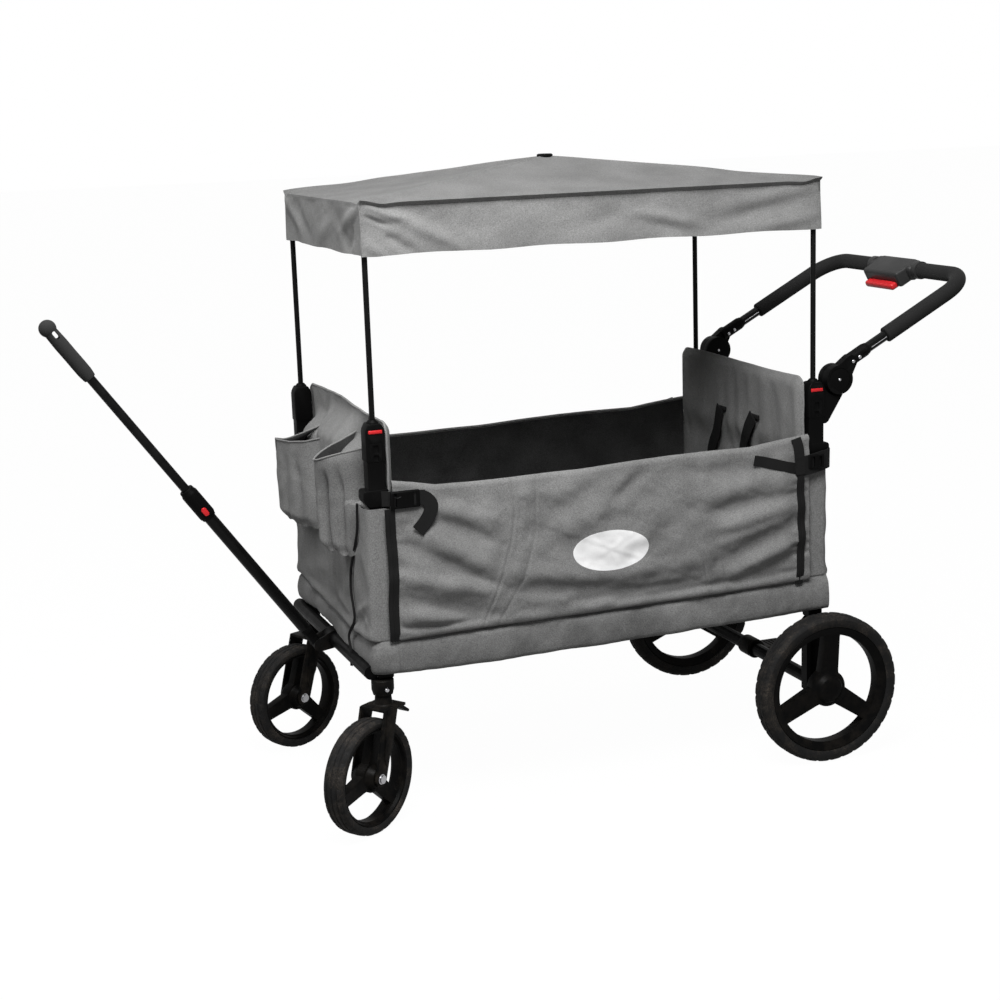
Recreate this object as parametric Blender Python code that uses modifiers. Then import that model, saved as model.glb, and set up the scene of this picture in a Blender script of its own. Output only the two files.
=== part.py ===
"""Folding wagon with a canopy, a push handle and a pull handle.

Units are metres, +Z is up, +X points to the rear (the push handle), +Y to the far side.
All sizes below are measured from the point on the ground under the middle of the four corner posts.
The whole model hangs on one empty, which moves it so that the middle of its length is at X 0
and the middle of its width is at Y 0.
"""

import math

import bmesh
import bpy
from mathutils import Matrix, Vector

# Clearances
GAP = 0.0003
RUNNING_GAP = 0.0004
SLIDE_GAP = 0.0006

# Rounding of edges, and how far a cutter reaches past the face it cuts
FINE_EDGE = 0.0008
SMALL_EDGE = 0.002
SOFT_EDGE = 0.003
ROUND_EDGE = 0.005
CUT_REACH = 0.010

# Corner posts and their tubes
POST_X = 0.417
POST_Y = 0.2375
POST_SIZE = 0.028
POST_BOTTOM_Z = 0.262
CROSS_TUBE_RADIUS = 0.0125
CROSS_TUBE_Z = 0.2750
CROSS_TUBE_OVERHANG = 0.008
WELD = 0.0015

# Corner sockets that hold the canopy poles
SOCKET_LENGTH_X = 0.036
SOCKET_WIDTH_Y = 0.030
SOCKET_TOP_Z = 0.706
SOCKET_FOOT_Z = 0.548
SOCKET_FOOT_HEIGHT = 0.040
SOCKET_FOOT_LENGTH_X = 0.039
SOCKET_FOOT_WIDTH_Y = 0.033
SOCKET_CHAMFER = 0.005
POLE_RADIUS = 0.0048
POLE_DEPTH = 0.105
POLE_STOP = 0.010
BUTTON_WIDTH = 0.024
BUTTON_HEIGHT = 0.006
BUTTON_Z = 0.6905
BUTTON_THICK = 0.0045
BUTTON_PROUD = 0.0015
BUTTON_TRAVEL = 0.0018
VENT_WIDTH = 0.008
VENT_HEIGHT = 0.007
VENT_DEPTH = 0.001
VENT_SPACING = 0.011
VENT_TOP_Z = 0.668

# Canopy
CANOPY_OVERHANG_X = 0.0075
CANOPY_OVERHANG_Y = 0.0180
CANOPY_EDGE_Z = 1.062
CANOPY_VALANCE = 0.086
CANOPY_RISE = 0.062
CANOPY_CLOTH = 0.002
CANOPY_SLOPE_POWER = 1.06
CANOPY_TIP = 0.007
CANOPY_SAG = 0.0015
CANOPY_POLE_GAP = 0.0026
RIB_INSET_SHARE = 0.03
RIB_RADIUS = 0.0022
HUB_RADIUS = 0.018
HUB_THICK = 0.006
PEAK_CAP_RADIUS = 0.0125
PEAK_CAP_THICK = 0.003
PEAK_HOLE_SHARE = 0.03
PEAK_STEM_RADIUS = 0.005

# The roof's sides: name, first corner, last corner, outward way, steps along it
CANOPY_SIDES = (
    ("near", (-1, -1), (1, -1), (0, -1), 16),
    ("rear", (1, -1), (1, 1), (1, 0), 10),
    ("far", (1, 1), (-1, 1), (0, 1), 16),
    ("front", (-1, 1), (-1, -1), (-1, 0), 10),
)

# Main folds of the canopy's valance: side, where along it as a share, reach along it, how far they stand out
VALANCE_FOLDS = (
    ("near", 0.09, 0.045, 0.0045),
    ("near", 0.21, 0.050, -0.0035),
    ("near", 0.40, 0.070, 0.0020),
    ("near", 0.63, 0.060, 0.0035),
    ("near", 0.80, 0.050, -0.0035),
    ("near", 0.92, 0.040, 0.0040),
    ("far", 0.12, 0.050, 0.0040),
    ("far", 0.38, 0.070, -0.0025),
    ("far", 0.66, 0.060, 0.0030),
    ("far", 0.88, 0.045, 0.0040),
    ("front", 0.14, 0.045, 0.0045),
    ("front", 0.45, 0.070, 0.0025),
    ("front", 0.80, 0.050, -0.0020),
    ("rear", 0.18, 0.050, 0.0040),
    ("rear", 0.52, 0.070, -0.0025),
    ("rear", 0.84, 0.045, 0.0035),
)

# Basket cloth
CLOTH = 0.0050
SIDE_INNER_Y = 0.2550
SIDE_THICK = 0.0045
SIDE_HALF_LENGTH = 0.395
SIDE_TOP_Z = 0.618
SKIRT_TOP_Z = 0.3355
SKIRT_BOTTOM_Z = 0.270
SKIRT_THICK = 0.0075
SKIRT_OVERLAP = 0.004
END_TOP_Z = 0.725
REAR_TOP_Z = 0.712
END_SHOULDER_Z = 0.545
END_NARROW_HALF = 0.2180
END_WIDE_HALF = 0.2545
END_CORNER_RADIUS = 0.040
WRAP_THICK = 0.0027
WRAP_END_X = 0.395
LINING_X = 0.3975
LINING_BOTTOM_Z = 0.300
SEAM = 0.0005
HARNESS_Y = 0.100
HARNESS_WIDTH = 0.030
HARNESS_THICK = 0.0026
HARNESS_TOP_Z = 0.625
HARNESS_BOTTOM_Z = 0.330

# Bottle pockets on the front panel: middle Y, half width, depth, bottom, rim
POCKET_WALL = 0.0022
POCKET_NEAR = {"y": -0.115, "half": 0.076, "depth": 0.054, "bottom": 0.463, "rim": 0.632}
POCKET_FAR = {"y": 0.122, "half": 0.100, "depth": 0.058, "bottom": 0.465, "rim": 0.620}
POCKET_BACK_RISE = 0.028
POCKET_TAPER = 0.82
POCKET_ROWS = (0.0, 0.12, 0.5, 1.0)
POCKET_SPREAD_RATE = 1.6
POCKET_FOOT_SHARE = 0.75

# Straps at the corners of the side panels
STRAP_THICK = 0.0022
FRONT_STRAP_END_X = -0.318
FRONT_STRAP_Z = 0.574
FRONT_STRAP_WIDTH = 0.027
REAR_STRAP_START_X = 0.288
REAR_STRAP_Z = 0.552
REAR_STRAP_WIDTH = 0.026
REAR_STRAP_WRAP = 0.034

# Folding floor
FLOOR_HINGE_X = 0.372
FLOOR_HINGE_Z = 0.285
RAIL_BOTTOM_Z = 0.2705
RAIL_HEIGHT = 0.022
RAIL_WIDTH = 0.020
RAIL_Y = 0.205
RAIL_END_CLEAR = 0.012
BOARD_END_CLEAR = 0.010
RAIL_MIDDLE_CLEAR = 0.008
BOARD_THICK = 0.005
BOARD_HALF_WIDTH = 0.245
MAT_THICK = 0.012
MAT_HALF_WIDTH = 0.250
MAT_DRAW = 0.002
MAT_CROWN = ((0.004, 0.0), (0.0, 0.25), (0.0, 0.5), (0.005, 0.8), (0.018, 0.93), (0.045, 1.0))
MAT_STEPS = 6
LUG_THICK = 0.004
LUG_RADIUS = 0.008
HINGE_PIN_RADIUS = 0.004
MIDDLE_LUG_RADIUS = 0.007
MIDDLE_PIN_RADIUS = 0.003
FOLD_STRAP_LENGTH = 0.080
FOLD_STRAP_WIDTH = 0.025
FOLD_STRAP_THICK = 0.002

# Rear axle and wheels
REAR_AXLE_X = 0.415
REAR_WHEEL_RADIUS = 0.140
REAR_WHEEL_Y = 0.2914
REAR_TYRE_WIDTH = 0.0436
REAR_TYRE_DEPTH = 0.022
REAR_RING_DEPTH = 0.014
REAR_WEB = 0.020
REAR_HUB_RADIUS = 0.027
REAR_SPOKE_WIDTH = 0.032
REAR_HUB_WIDTH = 0.042
AXLE_RADIUS = 0.008
AXLE_TUBE_RADIUS = 0.013
FOOT_LENGTH_X = 0.034
FOOT_WIDTH_Y = 0.030
FOOT_BELOW_AXLE = 0.022
SPACER_RADIUS = 0.012
HUB_CAP_THICK = 0.003
REAR_SPOKE_ANGLE = 85
TYRE_SEAT_SHARE = 0.84
TYRE_SHOULDER_SHARE = 0.45
TYRE_EDGE_DEPTH = 0.12
TYRE_EDGE_WIDTH = 0.80
TYRE_CROWN_SHARE = 0.50
HUB_FACE_SHARE = 0.80
WINDOW_CLEAR_SHARE = 1.25
WINDOW_INSET = 0.001

# Brake pedal
PEDAL_REACH = 0.075
PEDAL_WIDTH = 0.060
PEDAL_THICK = 0.015
PEDAL_COLLAR_RADIUS = 0.019
PEDAL_DROP = 0.006
PEDAL_ROOT = 0.002
PEDAL_COLLAR_SHARE = 0.7

# Front casters
SWIVEL_X = -0.4225
SWIVEL_Y = 0.2427
CASTER_TRAIL = 0.049
CASTER_YAW_NEAR = 0.605
CASTER_YAW_FAR = 0.441
FRONT_WHEEL_RADIUS = 0.1006
FRONT_TYRE_WIDTH = 0.041
FRONT_TYRE_DEPTH = 0.0165
FRONT_RING_DEPTH = 0.006
FRONT_WEB = 0.018
FRONT_HUB_RADIUS = 0.021
FRONT_SPOKE_WIDTH = 0.026
FRONT_HUB_WIDTH = 0.047
HOUSING_RADIUS = 0.0195
HOUSING_BOTTOM_Z = 0.235
HOUSING_TAPER_HEIGHT = 0.25
HOUSING_FOOT_SHARE = 0.88
FRONT_SPOKE_ANGLE = 75
FORK_PLATE = 0.005
FORK_LEG = 0.004
FORK_BRIDGE_Z = 0.2115
FORK_BRIDGE_BACK = -0.030
FORK_BRIDGE_FRONT = 0.026
FORK_LEG_FRONT = 0.004
FORK_LEG_RADIUS = 0.014
STEM_NECK_RADIUS = 0.014
STEM_RADIUS = 0.007
STEM_TOP_CLEAR = 0.003
WHEEL_BOLT_RADIUS = 0.004
BOLT_HEAD_RADIUS = 0.0075
BOLT_HEAD_THICK = 0.005
LEVER_HINGE_X = 0.0315
LEVER_HINGE_Z = 0.2065
LEVER_TIP_X = 0.055
LEVER_TIP_Z = 0.1905
LEVER_HALF_WIDTH = 0.010
LEVER_RADIUS = 0.0035
LEVER_PIN_RADIUS = 0.0016
LEVER_EAR_THICK = 0.003
LEVER_EAR_RADIUS = 0.0045
LEVER_EAR_ROOT = 0.008
LEVER_TIP_SHARE = 0.7

# Push handle: its arms lie in a plane that rises to the rear
PUSH_PIVOT_X = 0.4625
PUSH_PIVOT_Z = 0.706
PUSH_TILT = math.radians(28.0)
PUSH_OFFSET = 0.0165
PUSH_ARM_Y = 0.2442
PUSH_HUB_RADIUS = 0.027
PUSH_HUB_INNER_Y = 0.2237
PUSH_HUB_SPLIT_Y = 0.2370
PUSH_HUB_OUTER_Y = 0.2512
PUSH_PIN_RADIUS = 0.004
PUSH_SLEEVE_RADIUS = 0.0122
PUSH_SLEEVE_START = 0.0285
PUSH_SLEEVE_END = 0.080
PUSH_NECK_SHARE = 0.93
PUSH_NECK_END = 0.0385
PUSH_TUBE_RADIUS = 0.0095
PUSH_SLOT_LENGTH = 0.034
PUSH_SLOT_WIDTH = 0.003
PUSH_CROSSBAR = 0.327
PUSH_BEND_RADIUS = 0.058
FOAM_RADIUS = 0.015
FOAM_START = 0.1235
GRIP_HOUSING_HALF = 0.085
GRIP_HOUSING_FRONT = 0.042
GRIP_HOUSING_BACK = 0.019
GRIP_HOUSING_HEIGHT = 0.033
GRIP_HOUSING_EDGE = 0.006
TRIGGER_HALF = 0.049
TRIGGER_LENGTH = 0.024
TRIGGER_HEIGHT = 0.013
TRIGGER_DROP = 0.0165
TRIGGER_PROUD = 0.013
TRIGGER_TRAVEL = 0.005
GUSSET_BOTTOM_Z = 0.627

# Pull handle: distances run along it from its hinge
PULL_HINGE_X = -0.4712
PULL_HINGE_Z = 0.2655
PULL_TILT = math.radians(54.5)
PULL_EAR_Y = 0.0128
PULL_EAR_THICK = 0.004
PULL_EAR_RADIUS = 0.011
PULL_PIN_RADIUS = 0.004
PULL_CLAMP_RADIUS = 0.0160
PULL_EYE_RADIUS = 0.010
PULL_NECK_RADIUS = 0.0093
PULL_TUBE_START = 0.040
PULL_TUBE_RADIUS = 0.011
PULL_TUBE_WALL = 0.0020
COLLAR_START = 0.315
COLLAR_END = 0.381
COLLAR_RADIUS = 0.015
COLLAR_SEAT = 0.345
COLLAR_BUTTON_AT = 0.3315
COLLAR_BUTTON_LENGTH = 0.017
COLLAR_BUTTON_WIDTH = 0.0095
COLLAR_BUTTON_THICK = 0.003
COLLAR_BUTTON_PROUD = 0.002
UPPER_TUBE_RADIUS = 0.008
UPPER_TUBE_WALL = 0.0014
UPPER_TUBE_START = 0.268
GRIP_START = 0.637
GRIP_SEAT = 0.660
GRIP_END = 0.7615
GRIP_NECK_RADIUS = 0.0105
GRIP_HEEL = 0.012
GRIP_WAIST = 0.055
GRIP_RADIUS = 0.0125
GRIP_BULB_RADIUS = 0.0150
STRAP_HOLE_AT = 0.7305
STRAP_HOLE_LENGTH = 0.016
STRAP_HOLE_WIDTH = 0.0065
STRAP_HOLE_OFFSET = 0.003
PANEL_CLEAR = 0.0015

# How finely round pieces are cut
WHEEL_SIDES = 32
ROUND_SIDES = 16
SMALL_SIDES = 12
SHARP_ANGLE = math.radians(35)

# Places that follow from the sizes above
POST_TOP_Z = SOCKET_TOP_Z - POLE_DEPTH - POLE_STOP
CANOPY_HALF_LENGTH = POST_X + CANOPY_OVERHANG_X
CANOPY_HALF_WIDTH = POST_Y + CANOPY_OVERHANG_Y
FRONT_TUBE_X = -(POST_X + POST_SIZE / 2 + CROSS_TUBE_RADIUS - WELD)
OUTER_PANEL_X = POST_X + POST_SIZE / 2 + 2 * GAP
FRONT_PANEL_BOTTOM_Z = CROSS_TUBE_Z + PULL_CLAMP_RADIUS + PANEL_CLEAR
FLOOR_MIDDLE_Z = RAIL_BOTTOM_Z
BOARD_TOP_Z = RAIL_BOTTOM_Z + RAIL_HEIGHT + BOARD_THICK
MAT_BOTTOM_Z = BOARD_TOP_Z + GAP
MAT_TOP_Z = MAT_BOTTOM_Z + MAT_THICK
PUSH_ALONG = Vector((math.cos(PUSH_TILT), 0, math.sin(PUSH_TILT)))
PUSH_UP = Vector((-math.sin(PUSH_TILT), 0, math.cos(PUSH_TILT)))
PUSH_START = Vector((PUSH_PIVOT_X, 0, PUSH_PIVOT_Z)) + PUSH_OFFSET * PUSH_UP
PULL_ALONG = Vector((-math.cos(PULL_TILT), 0, math.sin(PULL_TILT)))
FRONT_REACH = PULL_HINGE_X + (GRIP_END - GRIP_BULB_RADIUS) * PULL_ALONG.x - GRIP_BULB_RADIUS
REAR_REACH = (PUSH_START + PUSH_CROSSBAR * PUSH_ALONG).x + FOAM_RADIUS
LENGTH_SHIFT = -(FRONT_REACH + REAR_REACH) / 2
CASTER_REACH = CASTER_TRAIL + FRONT_WHEEL_RADIUS - FRONT_TYRE_DEPTH * TYRE_EDGE_DEPTH
TURNED_TYRE_Y = CASTER_REACH * math.sin(CASTER_YAW_NEAR)
TURNED_TYRE_Y += FRONT_TYRE_WIDTH / 2 * TYRE_EDGE_WIDTH * math.cos(CASTER_YAW_NEAR)
NEAR_REACH = SWIVEL_Y + TURNED_TYRE_Y
FAR_REACH = REAR_WHEEL_Y + REAR_TYRE_WIDTH / 2
WIDTH_SHIFT = (NEAR_REACH - FAR_REACH) / 2

COLOURS = {
    "frame": ((0.020, 0.020, 0.022), 0.42, 0.6),
    "plastic": ((0.022, 0.022, 0.024), 0.55, 0.0),
    "foam": ((0.030, 0.030, 0.032), 0.90, 0.0),
    "fabric": ((0.235, 0.235, 0.235), 0.95, 0.0),
    "lining": ((0.030, 0.030, 0.033), 0.95, 0.0),
    "webbing": ((0.015, 0.015, 0.016), 0.85, 0.0),
    "red": ((0.620, 0.020, 0.030), 0.40, 0.0),
    "rubber": ((0.035, 0.033, 0.031), 0.85, 0.0),
    "steel": ((0.600, 0.600, 0.620), 0.30, 1.0),
}


def clear_scene():
    """Remove what the file opened with."""
    for found in list(bpy.data.objects):
        bpy.data.objects.remove(found, do_unlink=True)


def make_collection(name):
    """Make a collection in the scene."""
    made = bpy.data.collections.new(name)
    bpy.context.scene.collection.children.link(made)
    return made


def make_material(name, kind):
    """Make one part's own Principled material."""
    colour, roughness, metallic = COLOURS[kind]
    made = bpy.data.materials.new(name)
    made.use_nodes = True
    shader = made.node_tree.nodes["Principled BSDF"]
    shader.inputs["Base Color"].default_value = (*colour, 1.0)
    shader.inputs["Roughness"].default_value = roughness
    shader.inputs["Metallic"].default_value = metallic
    return made


clear_scene()
SIDES = (("near", -1), ("far", 1))
PARTS = make_collection("folding_wagon")
CUTTERS = make_collection("folding_wagon_cutters")
BODIES = {}


def make_body(name, pivot, parent=None, turn=None):
    """Make the empty that a body's parts hang on, on its joint's axis, placed in its parent's frame."""
    empty = bpy.data.objects.new("body_" + name, None)
    PARTS.objects.link(empty)
    empty.location = pivot
    if turn is not None:
        empty.rotation_euler = turn
    if parent is not None:
        empty.parent = BODIES[parent]
    empty.empty_display_size = 0.03
    BODIES[name] = empty
    return empty


# Meshes of the plain shapes


def mesh_from(bm, name="shape"):
    """Turn a bmesh into a mesh with its faces pointing out."""
    bmesh.ops.recalc_face_normals(bm, faces=bm.faces)
    mesh = bpy.data.meshes.new(name)
    bm.to_mesh(mesh)
    bm.free()
    return mesh


def box(low, high):
    """A box between two corners."""
    bm = bmesh.new()
    bmesh.ops.create_cube(bm, size=1.0)
    size = [h - l for l, h in zip(low, high)]
    middle = [(h + l) / 2 for l, h in zip(low, high)]
    bmesh.ops.scale(bm, vec=size, verts=bm.verts)
    bmesh.ops.translate(bm, vec=middle, verts=bm.verts)
    return mesh_from(bm)


def rounded_box(low, high, radius, steps=1):
    """A box with its edges rounded or chamfered."""
    mesh = box(low, high)
    bm = bmesh.new()
    bm.from_mesh(mesh)
    bmesh.ops.bevel(bm, geom=bm.edges[:], offset=radius, segments=steps, profile=0.5, affect="EDGES")
    return mesh_from(bm)


def rod(start, end, radius, sides=ROUND_SIDES, end_radius=None):
    """A cylinder, or a cone, between two points."""
    start, end = Vector(start), Vector(end)
    bm = bmesh.new()
    top = radius if end_radius is None else end_radius
    bmesh.ops.create_cone(
        bm, cap_ends=True, segments=sides, radius1=radius, radius2=top, depth=(end - start).length
    )
    turn = (end - start).to_track_quat("Z", "Y").to_matrix().to_4x4()
    bmesh.ops.transform(bm, matrix=Matrix.Translation((start + end) / 2) @ turn, verts=bm.verts)
    return mesh_from(bm)


def evaluated_mesh(obj):
    """Take an object's evaluated mesh, with its caps welded, and remove the object."""
    bpy.context.view_layer.update()
    graph = bpy.context.evaluated_depsgraph_get()
    mesh = bpy.data.meshes.new_from_object(obj.evaluated_get(graph))
    mesh.transform(obj.matrix_world)
    bpy.data.objects.remove(obj, do_unlink=True)
    bm = bmesh.new()
    bm.from_mesh(mesh)
    bmesh.ops.remove_doubles(bm, verts=bm.verts, dist=0.00001)
    bmesh.ops.recalc_face_normals(bm, faces=bm.faces)
    bm.to_mesh(mesh)
    bm.free()
    return mesh


def turned(profile, sides=ROUND_SIDES, axis="Z", flats=False):
    """A closed profile of (radius, height) points turned about an axis. Its flats can touch the radius."""
    grow = 1 / math.cos(math.pi / sides) if flats else 1.0
    mesh = bpy.data.meshes.new("profile")
    points = [(radius * grow, 0, height) for radius, height in profile]
    edges = [(i, (i + 1) % len(points)) for i in range(len(points))]
    edges = [(i, j) for i, j in edges if points[i][0] > 0 or points[j][0] > 0]
    mesh.from_pydata(points, edges, [])
    obj = bpy.data.objects.new("profile", mesh)
    CUTTERS.objects.link(obj)
    screw = obj.modifiers.new("Screw", "SCREW")
    screw.steps = sides
    screw.render_steps = sides
    screw.use_merge_vertices = True
    screw.merge_threshold = 0.00001
    made = evaluated_mesh(obj)
    made.transform(Matrix.Rotation(math.pi / sides, 4, "Z"))
    if axis == "Y":
        made.transform(Matrix.Rotation(math.radians(-90), 4, "X"))
    return made


def outline(points, thick, holes=()):
    """A flat outline of (x, z) points, with holes, as thick as said along Y and centred on Y 0."""
    curve = bpy.data.curves.new("outline", "CURVE")
    curve.dimensions = "2D"
    curve.fill_mode = "BOTH"
    curve.extrude = thick / 2
    for ring in (points, *holes):
        spline = curve.splines.new("POLY")
        spline.points.add(len(ring) - 1)
        for at, (x, z) in zip(spline.points, ring):
            at.co = (x, z, 0, 1)
        spline.use_cyclic_u = True
    obj = bpy.data.objects.new("outline", curve)
    CUTTERS.objects.link(obj)
    obj.rotation_euler = (math.radians(90), 0, 0)
    return evaluated_mesh(obj)


def tube(points, radius, resolution=3, capped=True):
    """A round tube along a line of points."""
    curve = bpy.data.curves.new("tube", "CURVE")
    curve.dimensions = "3D"
    curve.bevel_depth = radius
    curve.bevel_resolution = resolution
    curve.use_fill_caps = capped
    spline = curve.splines.new("POLY")
    spline.points.add(len(points) - 1)
    for at, point in zip(spline.points, points):
        at.co = (*point, 1)
    obj = bpy.data.objects.new("tube", curve)
    CUTTERS.objects.link(obj)
    return evaluated_mesh(obj)


def loft(rings, cap_first=True, cap_last=True):
    """A skin over rings of equally many points, such as a pocket or a canopy, which have unlike sections."""
    bm = bmesh.new()
    rows = [[bm.verts.new(point) for point in ring] for ring in rings]
    for low, high in zip(rows, rows[1:]):
        for i in range(len(low)):
            j = (i + 1) % len(low)
            bm.faces.new((low[i], low[j], high[j], high[i]))
    if cap_first:
        bm.faces.new(rows[0][::-1])
    if cap_last:
        bm.faces.new(rows[-1])
    return mesh_from(bm)


def facing(mesh, sign):
    """A copy of a mesh that was made for the far side, mirrored where the sign is that of the near side."""
    twin = mesh.copy()
    if sign < 0:
        twin.transform(Matrix.Scale(-1, 4, (0, 1, 0)))
        twin.flip_normals()
    return twin


def both_sides(*meshes):
    """The meshes and their mirror images on the near side."""
    return [facing(mesh, sign) for mesh in meshes for _, sign in SIDES]


def moved(mesh, place):
    """The mesh shifted by a vector or a matrix."""
    mesh.transform(place if isinstance(place, Matrix) else Matrix.Translation(place))
    return mesh


def circle(middle, radius, sides=SMALL_SIDES):
    """Points round a circle."""
    return [
        (
            middle[0] + radius * math.cos(2 * math.pi * i / sides),
            middle[1] + radius * math.sin(2 * math.pi * i / sides),
        )
        for i in range(sides)
    ]


def arc(middle, radius, start, end, steps):
    """Points along an arc, with both ends. The angles are in radians."""
    return [
        (
            middle[0] + radius * math.cos(start + (end - start) * i / steps),
            middle[1] + radius * math.sin(start + (end - start) * i / steps),
        )
        for i in range(steps + 1)
    ]


def link_outline(first, last, radius, last_radius=None, steps=6):
    """The outline round two circles, such as a lug or a lever."""
    last_radius = radius if last_radius is None else last_radius
    away = math.atan2(last[1] - first[1], last[0] - first[0])
    far = math.hypot(last[0] - first[0], last[1] - first[1])
    lean = math.acos((radius - last_radius) / far)
    return arc(first, radius, away + lean, away + 2 * math.pi - lean, steps) + arc(
        last, last_radius, away - lean, away + lean, steps
    )


def add_part(name, kind, body, shape, joins=(), cuts=(), wall=None):
    """Make one named part: a mesh, with others joined to it and cut from it. A wall makes a sheet a shell."""
    shape.materials.clear()
    shape.materials.append(make_material(name, kind))
    shape.shade_smooth()
    shape.set_sharp_from_angle(angle=SHARP_ANGLE)
    shape.name = name
    obj = bpy.data.objects.new(name, shape)
    PARTS.objects.link(obj)
    obj.parent = BODIES[body]
    obj.location = BODY_OFFSETS.get(body, (0, 0, 0))
    if wall is not None:
        shell = obj.modifiers.new("Solidify", "SOLIDIFY")
        shell.thickness = wall
        shell.offset = -1
        shell.use_even_offset = True
    for operation, others in (("UNION", joins), ("DIFFERENCE", cuts)):
        for number, other in enumerate(others, 1):
            tool = bpy.data.objects.new(f"{name}_{operation.lower()}_{number}", other)
            CUTTERS.objects.link(tool)
            tool.parent = obj
            tool.hide_render = True
            tool.display_type = "WIRE"
            change = obj.modifiers.new(operation.title(), "BOOLEAN")
            change.operation = operation
            change.solver = "EXACT"
            change.object = tool
    return obj


def add_pair(name, kind, body, shape, joins=(), cuts=(), wall=None):
    """Make a part for each side from meshes made for the far side. The body's name takes the side's name."""
    for side, sign in SIDES:
        add_part(
            f"{name}_{side}",
            kind,
            body.format(side=side),
            facing(shape, sign),
            joins=[facing(mesh, sign) for mesh in joins],
            cuts=[facing(mesh, sign) for mesh in cuts],
            wall=wall,
        )


# Bodies: each empty stands on the axis that the body turns about or slides along

SWIVEL_Z = HOUSING_BOTTOM_Z
LEVER_PLACE = (LEVER_HINGE_X, 0, LEVER_HINGE_Z - SWIVEL_Z)
FRONT_WHEEL_PLACE = (-CASTER_TRAIL, 0, FRONT_WHEEL_RADIUS - SWIVEL_Z)

make_body("rear_frame", (LENGTH_SHIFT, WIDTH_SHIFT, 0))
PIVOTS = {
    "rear_floor": ("rear_frame", (FLOOR_HINGE_X, 0, FLOOR_HINGE_Z)),
    "front_floor": ("rear_floor", (0, 0, FLOOR_MIDDLE_Z)),
    "front_frame": ("front_floor", (-FLOOR_HINGE_X, 0, FLOOR_HINGE_Z)),
    "rear_button_near": ("rear_frame", (POST_X, -POST_Y, BUTTON_Z)),
    "rear_button_far": ("rear_frame", (POST_X, POST_Y, BUTTON_Z)),
    "front_button_near": ("front_frame", (-POST_X, -POST_Y, BUTTON_Z)),
    "front_button_far": ("front_frame", (-POST_X, POST_Y, BUTTON_Z)),
    "canopy": ("rear_frame", (POST_X, 0, SOCKET_TOP_Z)),
    "front_poles": ("front_frame", (-POST_X, 0, SOCKET_TOP_Z)),
    "brake": ("rear_frame", (REAR_AXLE_X, 0, REAR_WHEEL_RADIUS)),
    "push_handle": ("rear_frame", (PUSH_PIVOT_X, 0, PUSH_PIVOT_Z)),
    "trigger": ("push_handle", tuple(PUSH_START + PUSH_CROSSBAR * PUSH_ALONG)),
}
for body, (parent, pivot) in PIVOTS.items():
    above = PIVOTS[parent][1] if parent in PIVOTS else (0, 0, 0)
    make_body(body, Vector(pivot) - Vector(above), parent)
BODY_OFFSETS = {body: -Vector(pivot) for body, (parent, pivot) in PIVOTS.items()}

FRONT_PIVOT = Vector(PIVOTS["front_frame"][1])
for side, sign, yaw in (("near", -1, CASTER_YAW_NEAR), ("far", 1, CASTER_YAW_FAR)):
    swivel = Vector((SWIVEL_X, sign * SWIVEL_Y, SWIVEL_Z))
    make_body("caster_" + side, swivel - FRONT_PIVOT, "front_frame", (0, 0, yaw))
    make_body("front_wheel_" + side, FRONT_WHEEL_PLACE, "caster_" + side)
    make_body("swivel_lock_" + side, LEVER_PLACE, "caster_" + side)
    make_body("rear_wheel_" + side, (REAR_AXLE_X, sign * REAR_WHEEL_Y, REAR_WHEEL_RADIUS), "rear_frame")
PULL_TURN = (0, -(math.pi / 2 - PULL_TILT), 0)
make_body("pull_handle", Vector((PULL_HINGE_X, 0, PULL_HINGE_Z)) - FRONT_PIVOT, "front_frame", PULL_TURN)
make_body("pull_slide", (0, 0, 0), "pull_handle")
make_body("pull_button", (0, 0, COLLAR_BUTTON_AT), "pull_handle")


def make_frames():
    """The welded frames: two posts, a cross tube, and lugs with the pins that the floor turns on."""
    half = POST_SIZE / 2
    lug_low = RAIL_Y + LUG_THICK * 2 + GAP
    lug_high = lug_low + LUG_THICK
    for name, body, side, tube_x in (
        ("rear_frame", "rear_frame", 1, POST_X),
        ("front_frame", "front_frame", -1, FRONT_TUBE_X),
    ):
        post = rounded_box(
            (side * POST_X - half, POST_Y - half, POST_BOTTOM_Z),
            (side * POST_X + half, POST_Y + half, POST_TOP_Z),
            SOFT_EDGE,
        )
        reach = POST_Y - half + WELD * 3 if side > 0 else POST_Y + CROSS_TUBE_OVERHANG
        cross = rod((tube_x, -reach, CROSS_TUBE_Z), (tube_x, reach, CROSS_TUBE_Z), CROSS_TUBE_RADIUS)
        hinge = (side * FLOOR_HINGE_X, FLOOR_HINGE_Z)
        lug = outline(link_outline((tube_x, CROSS_TUBE_Z), hinge, LUG_RADIUS, LUG_RADIUS * 0.8), LUG_THICK)
        moved(lug, (0, (lug_low + lug_high) / 2, 0))
        pin = rod(
            (hinge[0], RAIL_Y + LUG_THICK / 4, hinge[1]),
            (hinge[0], lug_high - WELD, hinge[1]),
            HINGE_PIN_RADIUS,
            SMALL_SIDES,
        )
        add_part(name, "frame", body, cross, joins=both_sides(post, lug, pin))


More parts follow.
